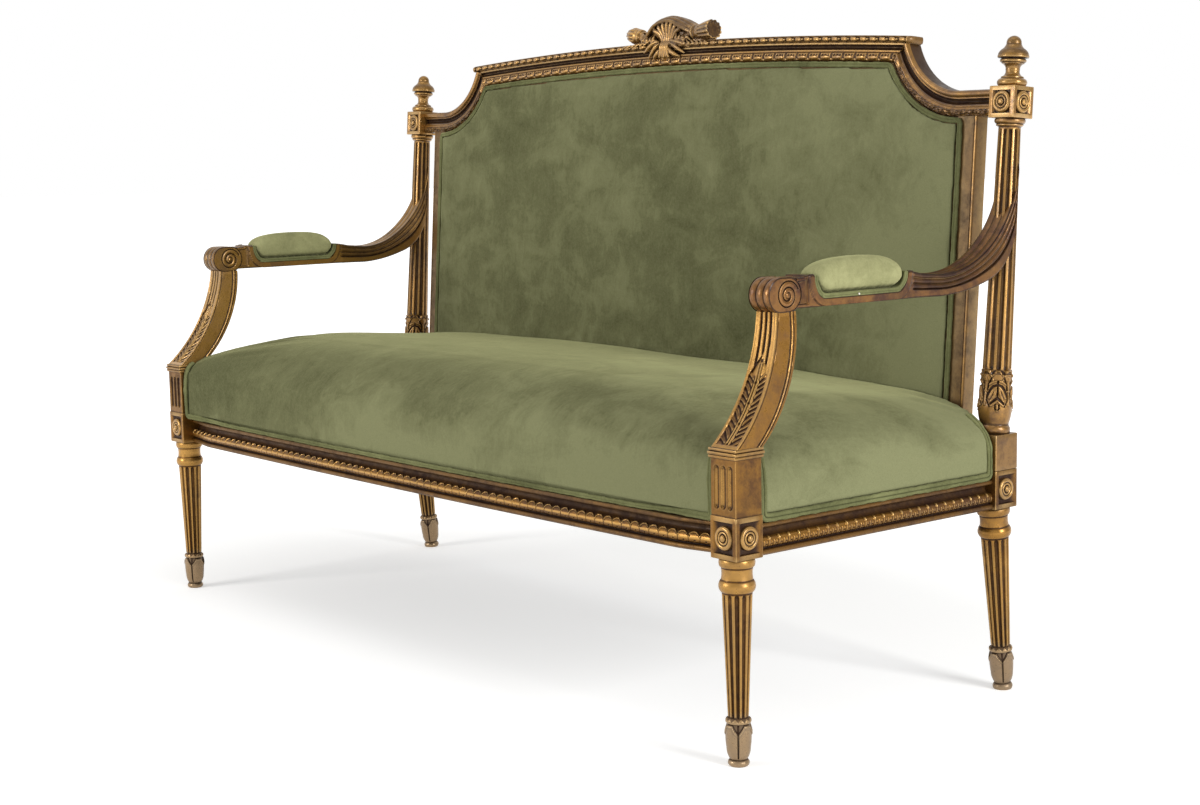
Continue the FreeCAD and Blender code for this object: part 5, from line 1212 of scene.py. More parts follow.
def perimeter(corner, count):
    """Unit square round its middle with softened corners, from the middle of the bottom, with outward normals."""
    ring = []
    for k in range(4):
        n, t = face_axes(k)
        for v in np.linspace(-1 + corner, 1 - corner, count):
            ring.append(np.concatenate([n + v * t, n, [k, v]]))
        for bend in np.radians([22, 45, 68]):
            out = math.cos(bend) * n + math.sin(bend) * t
            ring.append(np.concatenate([(1 - corner) * (n + t) + corner * out, out, [k, 1.0]]))
    return np.array(ring)


def run_of(low, high, half, relief, corner, count):
    """Shell of a squared bar between the lower and upper lines of a side view, with carving on its faces:
    relief(face, v, across, up, half height), v running from -1 to 1 over the face."""
    ring = perimeter(corner, count)
    mid = (low + high) / 2
    rise = (high - low) / 2
    tall = np.linalg.norm(rise, axis=1)
    up_dir = rise / tall[:, None]
    x_out = ring[None, :, 0] * half[:, None]
    z_out = ring[None, :, 1] * tall[:, None]
    height, shade = relief(ring[None, :, 4], ring[None, :, 5], x_out, z_out, tall[:, None])
    x_out = x_out + ring[None, :, 2] * height
    z_out = z_out + ring[None, :, 3] * height
    side_view = mid[:, None] + z_out[..., None] * up_dir[:, None]
    return skin(np.concatenate([SPAN + x_out[..., None], side_view], -1), shade)


def reeds(u, count, depth):
    """Height and shade of rounded reeds side by side; u runs from -1 to 1 across the face."""
    wave = np.abs(np.sin((u + 1) / 2 * math.pi * count))
    return depth * (wave ** 0.7 - 1), 0.95 * (1 - ease(wave / 0.42))


front_arc = trace((-22.0, CAP_TOP), [((24.0, 493.0), (57.0, 606.0))], 1.0)
back_arc = trace((27.0, CAP_TOP), [((71.0, 493.0), (94.0, 606.0))], 1.0)


def support():
    """Curved support of the arm: carved front with leaves and flutes, and moulded sides."""
    z = stops(CAP_TOP - 0.5, 608.0, 0.75)
    y_front = at_height(z, front_arc)
    y_back = at_height(z, back_arc)
    s = np.concatenate([[0], np.cumsum(np.hypot(np.diff(y_front), np.diff(z)))])[:, None]
    half = 25.0 - 5.5 * (z - CAP_TOP) / 169.0
    low = np.stack([y_front, z], 1)
    high = np.stack([y_back, z], 1)

    def relief(face, v, x_out, depth_out, tall):
        a = x_out
        hw = half[:, None]
        border = ease((np.abs(a) - (hw - 3.6)) / 0.5)
        tip_room = np.clip((139 - s) * 0.62, 0, 30)
        panel = ease((np.minimum(hw - 4.4, tip_room) - np.abs(a)) / 0.7) * ease((s - 5) / 2)
        q = np.clip((np.abs(a) - 5.4) / (hw - 9.6), 0, 1)
        drift = 0.16 * np.sin(s / 5.3 + np.sign(a)) + 0.12 * np.sin(s / 13.0)
        bent = s - 11.0 * q ** 1.5 - 2.4 * np.sin(q * math.pi)
        phase = (bent / 9.4 + np.where(a < 0, 0.45, 0.0) + drift) % 1.0
        body = np.clip(1 - np.abs(phase - 0.46) / 0.40, 0, 1) ** 0.65
        vein = dome(phase - 0.52, 0.10) * (q > 0.25)
        leaf_zone = ease((np.abs(a) - 5.2) / 0.5) * ease((112 - s + 8 * q) / 4)
        leaves = (3.3 * body * (1 - 0.25 * q) - 0.8 * vein) * leaf_zone
        rib = 3.9 * dome(np.abs(a) - 2.35, 1.85) * ease((130 - s) / 4)
        dots = np.zeros_like(a)
        for place in (7.0, 40.0, 71.0, 100.0, 130.0):
            dots = np.maximum(dots, dome(np.hypot(a, s - place), 2.6))
        blade = 2.2 * dome(a / np.maximum(tip_room * 0.9, 0.5), 1.0) * ease((s - 104) / 8) * (s < 139)
        carve = panel * (-3.8 + np.maximum(np.maximum(leaves, blade), rib) - 1.6 * dots)
        groove = np.zeros_like(a)
        for k, start in ((-1, 116.0), (0, 142.0), (1, 116.0)):
            d = np.abs(a - k * hw * 0.46)
            g = dome(np.hypot(d, np.maximum(start - s, 0) * 0.5), 2.6)
            groove = np.maximum(groove, g)
        groove = groove * (1 - panel)
        front = carve + 0.5 * border - 3.2 * groove
        lifted = np.maximum(ease((body - 0.2) / 0.5) * (1 - 0.6 * vein) * leaf_zone, blade > 0.4)
        lifted = np.maximum(lifted, ease(dome(np.abs(a) - 2.35, 1.9) / 0.4))
        front_shade = panel * np.clip(0.97 * (1 - lifted), 0, 1) + 0.16 * panel * leaf_zone
        front_shade = np.maximum(front_shade, dots * panel)
        front_shade = np.maximum(front_shade, 0.95 * ease((groove - 0.3) / 0.4))
        back_gap = tall - depth_out
        line = dome(back_gap - 11.5, 1.4) + dome(back_gap - 5.2, 0.9)
        side = -1.4 * line + 0.9 * dome(back_gap - 8.4, 1.7) - 0.9 * dome((depth_out + tall) - 3.4, 0.9)
        side_shade = 0.9 * np.clip(line, 0, 1) + 0.6 * dome((depth_out + tall) - 3.4, 0.9)
        is_front = face == 0
        is_side = (face == 1) | (face == 3)
        height = np.where(is_front, front, np.where(is_side, side, 0 * side))
        shade = np.clip(np.where(is_front, front_shade, np.where(is_side, side_shade, 0.45)), 0, 1)
        # painted highlights: the front's raised leaves, rib and blade brightened, the other faces a little
        return height, shade - np.where(is_front, 0.5, 0.1) * (1 - shade) ** 4
    return run_of(low, high, half, relief, 0.035, 72)


def bent_pair(p0, t0, p1, t1):
    """Two tangent arcs from p0, heading along t0, to p1, arriving along t1, as trace steps."""
    t0 = np.array(t0) / np.hypot(*t0)
    t1 = np.array(t1) / np.hypot(*t1)
    p0, p1 = np.array(p0, float), np.array(p1, float)
    v = p1 - p0
    t = t0 + t1
    k = 2 * (1 - t0 @ t1)
    d = v @ v / (2 * v @ t) if k < 1e-9 else (math.sqrt((v @ t) ** 2 + k * (v @ v)) - v @ t) / k
    middle = (p0 + d * t0 + p1 - d * t1) / 2
    steps = []
    for a, b, tangent, side in ((p0, middle, t0, 1), (middle, p1, t1, -1)):
        chord = b - a
        length = np.hypot(*chord)
        along = chord / length
        cosine = along @ tangent
        across = tangent - cosine * along
        size = np.hypot(*across)
        rise = length / 2 * math.tan(math.atan2(size, cosine) / 2) * side
        steps.append((tuple((a + b) / 2 + across / size * rise), tuple(b)))
    return steps


def cup_line(rise):
    """Steps along the dished cup of the arm, from its front lip to its back lip, raised by rise."""
    front, back, floor = 129.0 + rise, 319.0 - rise, 621.0 + rise
    down = bent_pair((front, 654.0), (0, -1), (front + 24, floor), (1, 0))
    rising = bent_pair((back - 24, floor), (1, 0), (back, 650.0), (0, 1))
    return trace((front, 654.0), down + [(back - 24, floor)] + rising, 1.2)


cup = cup_line(0.0)


def arm_bar():
    """The arm behind its scroll: dished cup for the pad, then the reeded sweep up to the post."""
    slope = math.tan(RAKE)
    top_end = (DEPTH + slope * (792 - POST_BASE) + 4.0, 800.0)
    low_end = (DEPTH + slope * (700 - POST_BASE) + 3.0, 706.0)
    upper = [((333, 648.6), (350, 645.4)), (389, 643)] + bent_pair((389, 643), (1, 0), top_end, (slope, 1))
    upper = trace((319.0, 650.0), upper, 2.0)
    upper = np.vstack([[[96.0, 652.5], [112.0, 653.0], [113.0, 655.0], [128.0, 655.0]], cup, dense(upper, 2.5)[1:]])
    lower = [(389.0, 610.5)] + bent_pair((389, 610.5), (1, 0.05), low_end, (slope, 1))
    lower = trace((96.0, 611.0), lower, 2.0)
    front = upper[:, 0] <= 389.01
    y = np.unique(np.concatenate([stops(96, 389, 2.0), np.round(cup[:, 0], 2), [112.0, 113.0]]))
    y = y[y < 389]
    level_run = upper[front][np.argsort(upper[front][:, 0], kind="stable")]
    high_front = np.stack([y, np.interp(y, level_run[:, 0], level_run[:, 1])], 1)
    low_front = np.stack([y, np.interp(y, lower[:, 0], lower[:, 1])], 1)
    share = np.linspace(0, 1, 90)

    def tail(curve):
        rest = dense(curve[curve[:, 0] >= 389], 1.0)
        length = lengths(rest)
        return read_off(share * length[-1], length, rest)
    low = np.vstack([low_front, tail(lower)])
    high = np.vstack([high_front, tail(upper)])
    half = np.full(len(low), 19.6)
    mid = (low + high) / 2
    rise = (high - low) / 2
    unit = rise / np.linalg.norm(rise, axis=1)[:, None]

    def relief(face, v, x_out, z_out, tall):
        py = mid[:, None, 0] + z_out * unit[:, None, 0]
        pz = mid[:, None, 1] + z_out * unit[:, None, 1]
        d = distance_to(cup, py, pz)
        d = np.where((py > 129) & (py < 319) & (pz > 640), 0, d)
        band = ease((10.2 - d) / 0.5)
        behind = py > 322
        level = np.clip((z_out / tall + 0.34) / 1.34, 0, 1) * 2 - 1
        reed_h, reed_s = reeds(level, 3, 3.8)
        strip = ease((-0.34 - z_out / tall) / 0.03)
        reed_h = reed_h * (1 - strip) + 0.4 * strip
        reed_s = reed_s * (1 - strip) + 0.1 * strip
        top_h, top_s = reeds(v, 3, 3.2)
        far = ease((py - 328) / 5) * (1 - band)
        panel = (py < 118) * ease((np.minimum(z_out + tall, tall - z_out) - 5.0) / 0.6) * (1 - band)
        side = 1.3 * band - 2.6 * panel + np.where(behind, reed_h * far, 0)
        edge = dome(d - 10.8, 1.1) * (face % 2 == 1) * (py < 340)
        side_shade = np.maximum(0.85 * edge, np.where(behind, reed_s * far, 0)) + 0.35 * panel
        side_shade = np.maximum(side_shade, np.where(band > 0.5, 0.16, 0.22))
        top = np.where(behind, top_h * far, 0)
        top_shade = np.where(behind, top_s * far, 0.4)
        sides = face % 2 == 1
        height = np.where(sides, side, np.where(face == 2, top, 0))
        shade = np.where(sides, side_shade, np.where(face == 2, np.maximum(top_shade, 0.2), 0.5))
        return height, np.clip(shade, 0, 1)
    return run_of(low, high, half, relief, 0.10, 40)


def scroll():
    """Rolled hand end: three reeds over the front and a spiral on each side."""
    centre = np.array([79.0, 629.5])
    turn = np.linspace(0, math.tau, 181)[:-1]
    direction = np.stack([np.cos(turn), np.sin(turn)], 1)
    reach = np.zeros(len(turn))
    for y0 in (66.2, 81.5):
        offset = centre - np.array([y0, 630.5])
        b = direction @ offset
        reach = np.maximum(reach, -b + np.sqrt(np.maximum(b * b - offset @ offset + 24.3 ** 2, 0)))
    flat = np.where(direction[:, 1] > 0, (654.8 - centre[1]) / np.maximum(direction[:, 1], 1e-6),
                    (606.2 - centre[1]) / np.minimum(direction[:, 1], -1e-6))
    inside = (centre[0] + direction[:, 0] * flat > 66.2) & (centre[0] + direction[:, 0] * flat < 81.5)
    reach = np.where(inside, flat, reach)
    across = np.linspace(-20.0, 20.0, 61)
    reed_h, reed_s = reeds(across / 20.6, 3, 2.6)
    radial = np.linspace(0.02, 0.985, 54)

    def side_face(sign):
        rho = radial[None] * reach[:, None]
        winding = (turn[:, None] - 0.35) % math.tau / math.tau
        lap = (21.4 - rho) / 8.6 - winding
        share = lap % 1.0
        coil = (lap > 0) & (rho > 4.4)
        tube = np.clip(1 - (np.abs(share - 0.5) / 0.5) ** 2.2, 0, 1) ** 0.5
        groove = dome(np.minimum(share, 1 - share), 0.13) * (lap > -0.12) * (rho > 4.2)
        eye = dome(rho, 5.0)
        height = 17.6 + np.where(coil, 2.2 * tube, 1.6 * (rho > 4.4)) + 2.6 * eye - 0.9 * groove
        pts = np.stack([SPAN + sign * height, centre[0] + rho * direction[:, :1],
                        centre[1] + rho * direction[:, 1:]], -1)
        return pts, np.clip(0.95 * groove + 0.12, 0, 1)
    left, left_shade = side_face(-1)
    right, right_shade = side_face(1)
    rim = reach[:, None] - 0.2 + reed_h[None]
    front = np.stack([np.broadcast_to(SPAN + across, rim.shape), centre[0] + rim * direction[:, :1],
                      centre[1] + rim * direction[:, 1:]], -1)
    pts = np.concatenate([left, front, right[:, ::-1]], 1)
    rim_shade = np.broadcast_to(reed_s * 0.95 + 0.08, rim.shape)
    dark = np.concatenate([left_shade, rim_shade, right_shade[:, ::-1]], 1)
    return grid_shell(pts, wrap_rows=True, shade=dark)


def leaned(p, share):
    """The arms' free ends stand a little inwards, back and up from the line between stump and post."""
    return p + share[:, None] * np.array([-9.7, 10.8, 3.0])


def arm_place(p):
    """Points of the arm and what it carries, leaned all along its level run and not at the post."""
    return leaned(p, 1 - ease((p[:, 1] - 330) / 190))


def support_place(p):
    """Points of the arm's support, leaned from its foot on the stump."""
    return leaned(p, np.clip((p[:, 2] - CAP_TOP) / 165, 0, 1))


both_sides("arm_support_scroll", [moved(support(), support_place)], gilt, ["arm_support"])
both_sides("arm_rest_frame", [moved(arm_bar(), arm_place), moved(scroll(), arm_place)], gilt_brown, ["arm"])
# the left arm takes brighter gildings than the right: painted light
bpy.data.objects["arm_support_scroll_left"].data.materials[0] = gilt_bright
bpy.data.objects["arm_rest_frame_left"].data.materials[0] = gilt_soft


# Carved crest

CREST_BASE = 1018.0


def clay(points, radii, **rest):
    """Limb of the crest from points of across, forward and height, before the rake."""
    return limb([(x, DEPTH - f, z) for x, f, z in points], radii, **rest)


def hood():
    """Draped hood: a heavy front rim and broad folds from front to back, falling lower to the right."""
    rolls = []
    for f, low, top, fall, r in ((14.5, 1026, 1062.0, 1041.0, 3.6), (7.5, 1029, 1066.5, 1047, 4.4),
                                 (0, 1027, 1068.0, 1050, 6.0), (-8, 1026, 1066.5, 1050, 6.8),
                                 (-15, 1024, 1061, 1047, 6.0)):
        path = [(-64, f - 3, low - 6), (-50, f - 1, low + 8), (-33, f, top - 9), (-15, f, top - 2.2), (3, f, top),
                (20, f, top - 3.0), (38, f, fall + 8), (53, f - 1, fall + 1), (64, f - 3, fall - 4)]
        rolls.append(clay(path, [r * 0.7, r, r, r, r, r, r, r, r * 0.8]))
    for k in range(3):
        path = [(22 + 7 * k, 15 - 2.5 * k, 1060 - 2 * k), (36 + 7 * k, 15 - 2 * k, 1051 - k),
                (46 + 6 * k, 13 - 2 * k, 1048 - k)]
        rolls.append(clay(path, [0.9, 2.0, 1.0]))
    rolls.append(clay([(-34, -5, 1036), (34, -5, 1036)], [15, 15]))
    rolls.append(clay([(0, -5, 1034), (0, -5, 1052)], [14, 12]))
    rolls.append(clay([(-52, -5, 1022), (56, -5, 1022)], [12, 12]))
    return rolls


def fan():
    """Seven ribs opening upwards in the hood's hollow."""
    ribs = []
    for k in range(-3, 4):
        tip_z = 1056.5 - 1.25 * k * k
        path = [(5 + 3.4 * k, 13.0, 1013.5), (5 + 4.4 * k, 12.2, 1025), (5 + 7.2 * k, 12.8, 1039),
                (5 + 10.6 * k, 14.6, tip_z - 2), (5 + 11.6 * k, 12.2, tip_z + 1)]
        ribs.append(clay(path, [2.3, 2.9, 3.7, 4.5, 3.2], sides=12))
    ribs.append(clay([(5, 5, 1022), (5, 4, 1044)], [12, 19], flat=0.4))
    return ribs


def spun(profile, relief, origin, axis):
    """Turned shell laid along an axis of the crest."""
    along = np.array(axis, float) / np.linalg.norm(axis)
    fore = np.array([0.0, -1.0, 0.0])
    high = np.cross(along, fore)
    start = np.array([origin[0], DEPTH - origin[1], origin[2]])
    return moved(turned(profile, 120, relief),
                 lambda p: start + p[:, :1] * fore + p[:, 1:2] * high + p[:, 2:] * along)


def sheaf(side):
    """Bundle beyond its collar: fluted and cut flat on the right, a fluted bud on the left."""
    if side > 0:
        neck, axis = (60.0, 0.0, 1036.0), (1.0, 0.0, 0.085)
        profile = trace((8.0, -4.0), [((13.8, 16.0), (17.6, 34.0)), ((18.8, 43.0), (19.4, 51.0)), (17.6, 52.2),
                                      (15.6, 50.0), (0.6, 49.6)], 0.7)
        flutes, begin = 12, 9.0
        rings = ((-1.0, 10.6, 2.8), (6.4, 13.2, 2.6))
    else:
        neck, axis = (-80.0, 0.0, 1037.0), (-1.0, 0.0, 0.16)
        profile = trace((8.6, -4.0), [((13.2, 1.0), (15.4, 7.5)), ((16.4, 15.0), (13.6, 24.5)),
                                      ((9.5, 31.0), (1.2, 33.5))], 0.7)
        flutes, begin = 11, 7.0
        rings = ((-1.2, 11.4, 3.2), (-6.0, 8.6, 1.8))

    def relief(theta, r, z):
        wave = np.abs(np.sin(theta * flutes / 2))
        room = ease((z - begin) / 3.0) * ease((r - 3.0) / 5.0)
        if side > 0:
            room = room * (z < 52.3) * (r > 15.2)
        return -3.6 * (1 - wave ** 0.7) * room, 0 * r
    parts = [spun(profile, relief, neck, axis)]
    along = np.array(axis) / np.linalg.norm(axis)
    across = np.array([-along[2], 0, along[0]])
    for shift, reach, tube in rings:
        centre = np.array(neck) + shift * along
        ring = [centre + (0, reach * math.cos(a), 0) + across * side * reach * math.sin(a)
                for a in (math.tau * k / 32 for k in range(33))]
        parts.append(clay(ring, [tube] * 33, up=(0.3, -1, 0.4)))
    for k in range(5):
        a = (k - 2) * 0.5
        root = np.array([side * 28.0, 9.0 - abs(k - 2) * 1.5, 1018.0 + 1.4 * k])
        tip = np.array(neck) + (0, 7.4 * math.cos(a), 7.4 * math.sin(a))
        middle = (root + tip) / 2 + (0, 3.0, -1.5)
        parts.append(clay([root, middle, tip], [1.8, 3.4, 2.6]))
    return parts


def clasp():
    """Ribbed band over the cove with leaf sprays at each side."""
    parts = []
    for k in range(-2, 3):
        path = [(3 + 5.0 * k, 14.5, 1019), (3 + 4.2 * k, 18.4, 1012), (2 + 4.4 * k, 17.0, 1003), (1 + 5.8 * k, 15, 995.0)]
        parts.append(clay(path, [2.6, 3.3, 3.2, 1.9 if k % 2 else 2.8]))
    parts.append(clay([(-2, 8, 1016), (-4, 8, 998)], [11, 11], flat=0.7))
    for curve in (((-13, 1017), (-23, 1011), (-33, 1001), (-44, 994.5)),
                  ((-9, 1008), (-16, 1001), (-24, 995), (-31, 992.5)),
                  ((-16, 1021), (-30, 1018), (-44, 1010), (-57, 1004)),
                  ((15, 1018), (26, 1014), (38, 1007), (49, 1000)),
                  ((12, 1010), (19, 1003), (28, 998), (37, 994.5)),
                  ((16, 1022), (31, 1020), (47, 1016), (61, 1010))):
        path = [(x, f, z) for (x, z), f in zip(curve, (14, 16.0, 14.5, 11.5))]
        parts.append(clay(path, [2.4, 4.3, 3.9, 1.5]))
        ridge = [(x + 0.5, f + 3.6, z + 0.6) for (x, z), f in zip(curve[:3], (13.5, 15.8, 14.2))]
        parts.append(clay(ridge, [0.9, 1.5, 1.1]))
    for x, z, r in ((22, 1023, 3.6), (35, 1023.5, 3.6), (-22, 1023, 3.2), (-34, 1024, 3.0), (-46, 1023, 2.8),
                    (49, 1023, 3.0)):
        parts.append(clay([(x - 2.0, 14.5, z), (x + 1.5, 15, z - 1)], [r, r]))
    for k in range(6):
        x = 50 + 11.5 * k
        low, high = 1018 - 0.06 * x + 3, 1021.5 - 0.06 * x + 3
        parts.append(clay([(x - 4.5, 13.5, high), (x + 3.5, 15, low - 2.5)], [1.4, 3.0]))
        parts.append(clay([(-x - 4.0, 14.5, low), (-x + 4.0, 14.5, high)], [2.6, 1.4]))
    return parts


def foliage():
    """Leaves that fill between the fan, the bundles and the crown."""
    parts = []
    for side in (-1, 1):
        for k in range(3):
            x = side * (38 + 10 * k)
            low_leaf = [(x - side * 7, 10, 1020 + k), (x, 14.5, 1027 + 0.5 * k), (x + side * 7, 12, 1021)]
            high_leaf = [(side * (24 + 9 * k), 13, 1019), (side * (31 + 8 * k), 15.0, 1028),
                         (side * (29 + 9 * k), 12, 1035 - 1.5 * k)]
            parts += [clay(low_leaf, [1.8, 3.8, 1.2]), clay(high_leaf, [1.4, 3.2, 1.2])]
        parts.append(clay([(side * 30, -10, 1022), (side * 74, -8, 1028)], [9, 8]))
        parts.append(clay([(side * 56, 4, 1021), (side * 92, 0, 1021)], [6, 4]))
    return parts


def seated(p):
    """Settle the crest on the crown and lean it back with the frame."""
    z = p[:, 2]
    rise = np.where(z > CREST_BASE, (z - CREST_BASE) * 0.9, z - CREST_BASE)
    return raked(np.stack([p[:, 0], p[:, 1], CREST_BASE - 3.5 + rise], 1))


def crest_tint(p):
    """Darker bronze on the hood and the cut end, worn gold on the fan, ribs and leaves."""
    x, y, z = p.T
    forwards = DEPTH + math.tan(RAKE) * (z - POST_BASE) - y
    from_fan = np.hypot(x - 5.0, z - 1009.0)
    drape = (x > -64) & (x < 55) & (z > 1022) & ((from_fan > 41.0) | (forwards < 7.0))
    cut = (x > 107.0) & (np.hypot(forwards, z - 1035.5) < 16.2)
    return np.where(cut, 0.85, np.where(drape, 0.52, np.where(x < -103, 0.34, 0.06)))


crest_parts = [moved(s, seated) for s in hood() + fan() + sheaf(1) + sheaf(-1) + clasp() + foliage()]
carved("crest_ornament", crest_parts, gilt_bright, 0.00095, 2, ["crest_carving"], crest_tint)


# Upholstery

def smooth_curve(points, count):
    """Catmull-Rom curve through points, at even steps of its own parameter."""
    p = np.asarray(points, float)
    p = np.vstack([2 * p[0] - p[1], p, 2 * p[-1] - p[-2]])
    t = np.linspace(0, len(p) - 3 - 1e-9, count)
    k = t.astype(int)
    f = (t - k)[:, None]
    a, b, c, d = p[k], p[k + 1], p[k + 2], p[k + 3]
    return 0.5 * (2 * b + (c - a) * f + (2 * a - 5 * b + 4 * c - d) * f ** 2 + (3 * b - a - 3 * c + d) * f ** 3)


def lookup(points, x):
    """Smooth height read off a curve of (place, height) points."""
    curve = smooth_curve(points, 400)
    return np.interp(x, curve[:, 0], curve[:, 1])


SEAT_LOW = 331.4
WELT_Z = SEAT_LOW + 6.1
CUSHION_SIDE = 782.0
# Height of the crown across the seat, at its middle and at its back, and the share of it reached at a distance
# from the front edge, in the middle and at the corners
MID_CROWN = [(-782, 409), (-776, 426), (-762, 446), (-740, 462.5), (-711, 473), (-682, 479), (-640, 484),
             (-600, 486), (-450, 488.5), (-200, 488.5), (200, 487), (450, 482), (600, 475), (650, 470), (682, 465),
             (711, 458), (740, 447), (762, 433), (776, 416), (782, 400)]
BACK_CROWN = [(-782, 392), (-776, 406), (-762, 422), (-740, 438), (-711, 450), (-682, 458), (-640, 465),
              (-600, 468), (-498, 472.5), (-373, 474), (-255, 476), (-142, 476), (-34, 474.5), (69, 471.5),
              (168, 469.5), (262, 468.5), (365, 466), (448, 462), (529, 458), (606, 454), (644, 451), (682, 446.5),
              (711, 440), (740, 429), (762, 415), (776, 400), (782, 386)]
FRONT_RISE = [(-60, 0.50), (0, 0.545), (5, 0.60), (14, 0.665), (32, 0.762), (60, 0.862), (100, 0.948), (150, 0.99),
              (220, 1.0), (700, 1.0)]
CORNER_RISE = [(-60, 0.60), (0, 0.66), (3, 0.695), (8, 0.735), (18, 0.803), (33, 0.856), (50, 0.893), (75, 0.927),
               (117, 0.966), (159, 0.99), (210, 1.0), (700, 1.0)]


def cushion_front(x):
    """Depth of the cushion's front at x, where it stands over the rail."""
    return -19.0 + 3.0 * (x / 735.0) ** 2


def seat_height(x, y):
    """Height of the cushion's top."""
    mid = lookup(MID_CROWN, x)
    back = lookup(BACK_CROWN, x)
    crown_here = mid + (back - mid) * ease((y - 190) / 320)
    d = y - cushion_front(x)
    square = ease((np.abs(x) - 480) / 220)
    rise = lookup(FRONT_RISE, d) * (1 - square) + lookup(CORNER_RISE, d) * square
    return SEAT_LOW + (crown_here - SEAT_LOW) * rise


def back_plane_y(z):
    """Depth of the back pad's face at height z."""
    return DEPTH - 21.6 + np.tan(RAKE) * (z - POST_BASE)


def seat_shell():
    """The seat cushion, notched round the posts: a closed section for each station across it."""
    near = CUSHION_SIDE - np.array([0, 0.15, 1.2, 3, 6, 10, 15, 21])
    beyond = np.concatenate([near, [752, 745, 740, 738.4]])
    x = np.concatenate([-beyond, stops(-732, 732, 9.0), beyond[::-1]])
    share = np.linspace(0, 1, 13)[1:-1]
    rows = []
    for xs in x:
        notch = abs(xs) > 739
        y0 = 25.6 if notch else float(cushion_front(xs))
        y1 = 507.4 if notch else 520.0
        deep = y1 - y0
        y_top = y0 + np.concatenate([[0, 0.3, 1.2, 3, 6, 10, 15], np.linspace(21, deep - 8, 60),
                                     [deep - 3, deep - 0.8, deep]])
        z_top = seat_height(np.full(y_top.shape, xs), y_top)
        if not notch:
            y_top = np.minimum(y_top, back_plane_y(z_top))
            z_top = seat_height(np.full(y_top.shape, xs), y_top)
        wall = SEAT_LOW + share * (z_top[0] - SEAT_LOW)
        swell = 0.0 if notch else 4.5 * (1 - ease((abs(xs) - 560) / 150))
        bulge = -swell * np.sin(np.clip((share - 0.14) / 0.86, 0, 1) ** 0.7 * math.pi)
        back_wall = SEAT_LOW + share[::-1] * (z_top[-1] - SEAT_LOW)
        back_y = np.minimum(np.full(11, y_top[-1]), back_plane_y(back_wall))
        y_bottom = np.linspace(back_y[-1], y0, 44)
        inner = (abs(xs) < 712) & (y_bottom > y0 + 22) & (y_bottom < 500)
        z_bottom = np.where(inner, 338.5, SEAT_LOW)
        ys = np.concatenate([y0 + bulge, y_top, back_y, y_bottom])
        zs = np.concatenate([wall, z_top, back_wall, z_bottom])
        at_side = np.sign(xs) * (abs(xs) > CUSHION_SIDE - 2)
        side_bulge = at_side * np.sin(np.clip((zs - SEAT_LOW) / 50, 0, 1) * math.pi)
        rows.append(np.stack([xs + side_bulge, ys, zs], 1))
    return skin(np.array(rows))


def figure_eight(radius, apart):
    """Section of a double welt: two round cords side by side, its second axis across them."""
    angle = np.radians(np.arange(-75, 256, 15))
    top = np.stack([radius * np.cos(angle), apart + radius * np.sin(angle)], 1)
    angle = np.radians(np.arange(105, 436, 15))
    low = np.stack([radius * np.cos(angle), -apart + radius * np.sin(angle)], 1)
    return np.vstack([top[top[:, 1] > 0.25], low[low[:, 1] < -0.25]])


def double_welt(points, outward, radius=3.0, apart=2.9, closed=False, scale=1.0):
    """Shell of a double welt along a path; outward is the direction it stands proud."""
    ahead = headings(points, closed)
    ahead /= np.linalg.norm(ahead, axis=1, keepdims=True)
    u = outward - ahead * np.sum(outward * ahead, 1, keepdims=True)
    u /= np.linalg.norm(u, axis=1, keepdims=True)
    w = np.cross(ahead, u)
    profile = figure_eight(radius, apart)
    s = lengths(points)
    wobble = 0.16 * np.sin(s / 7.3) + 0.14 * np.sin(s / 3.1 + 1.0) + 0.12 * np.sin(s / 17.0)
    swell = (1 + wobble * 0.35) * scale
    prof = profile[None] * swell[:, None, None]
    pts = points[:, None] + prof[..., :1] * u[:, None] + prof[..., 1:] * w[:, None]
    # painted shade between the two cords and on their side against the cloth
    crease_shadow = 0.85 * ease((0.30 * radius - np.abs(profile[:, 1])) / 0.4) + 0.3 * ease((-0.5 - profile[:, 0]) / 0.5)
    dark = np.broadcast_to(np.clip(crease_shadow, 0, 1), pts.shape[:2])
    return grid_shell(pts, wrap_rows=closed, wrap_cols=True, caps=(not closed, not closed), shade=dark)


def rounded_path(corners, radius, pitch=2.0):
    """Polyline through 3-D corners with its corners rounded, at even pitch, and outward directions carried
    along."""
    pts = np.array([c[0] for c in corners], float)
    outs = np.array([c[1] for c in corners], float)
    path, dirs = [pts[0]], [outs[0]]
    for k in range(1, len(pts) - 1):
        back = pts[k - 1] - pts[k]
        on = pts[k + 1] - pts[k]
        r = min(radius, np.linalg.norm(back) * 0.45, np.linalg.norm(on) * 0.45)
        a = pts[k] + back / np.linalg.norm(back) * r
        b = pts[k] + on / np.linalg.norm(on) * r
        for t in np.linspace(0, 1, 7):
            path.append((1 - t) ** 2 * a + 2 * t * (1 - t) * pts[k] + t * t * b)
            dirs.append(outs[k])
    path.append(pts[-1])
    dirs.append(outs[-1])
    path, dirs = np.array(path), np.array(dirs)
    s = lengths(path)
    even = np.linspace(0, s[-1], max(3, int(s[-1] / pitch)))
    return read_off(even, s, path), read_off(even, s, dirs)


def welt_depth(x):
    """Depth of the front welt at x: along the rail, and straight on past its return at the ends."""
    return np.where(np.abs(x) < 640, front_line(x) + 4.6, -13.6 - 3.0 * ease((np.abs(x) - 640) / 90))


def welt_height(x):
    """Height of the front welt at x."""
    return SEAT_LOW + 4.3 + 4.0 * ease((np.abs(x) - 560) / 150)


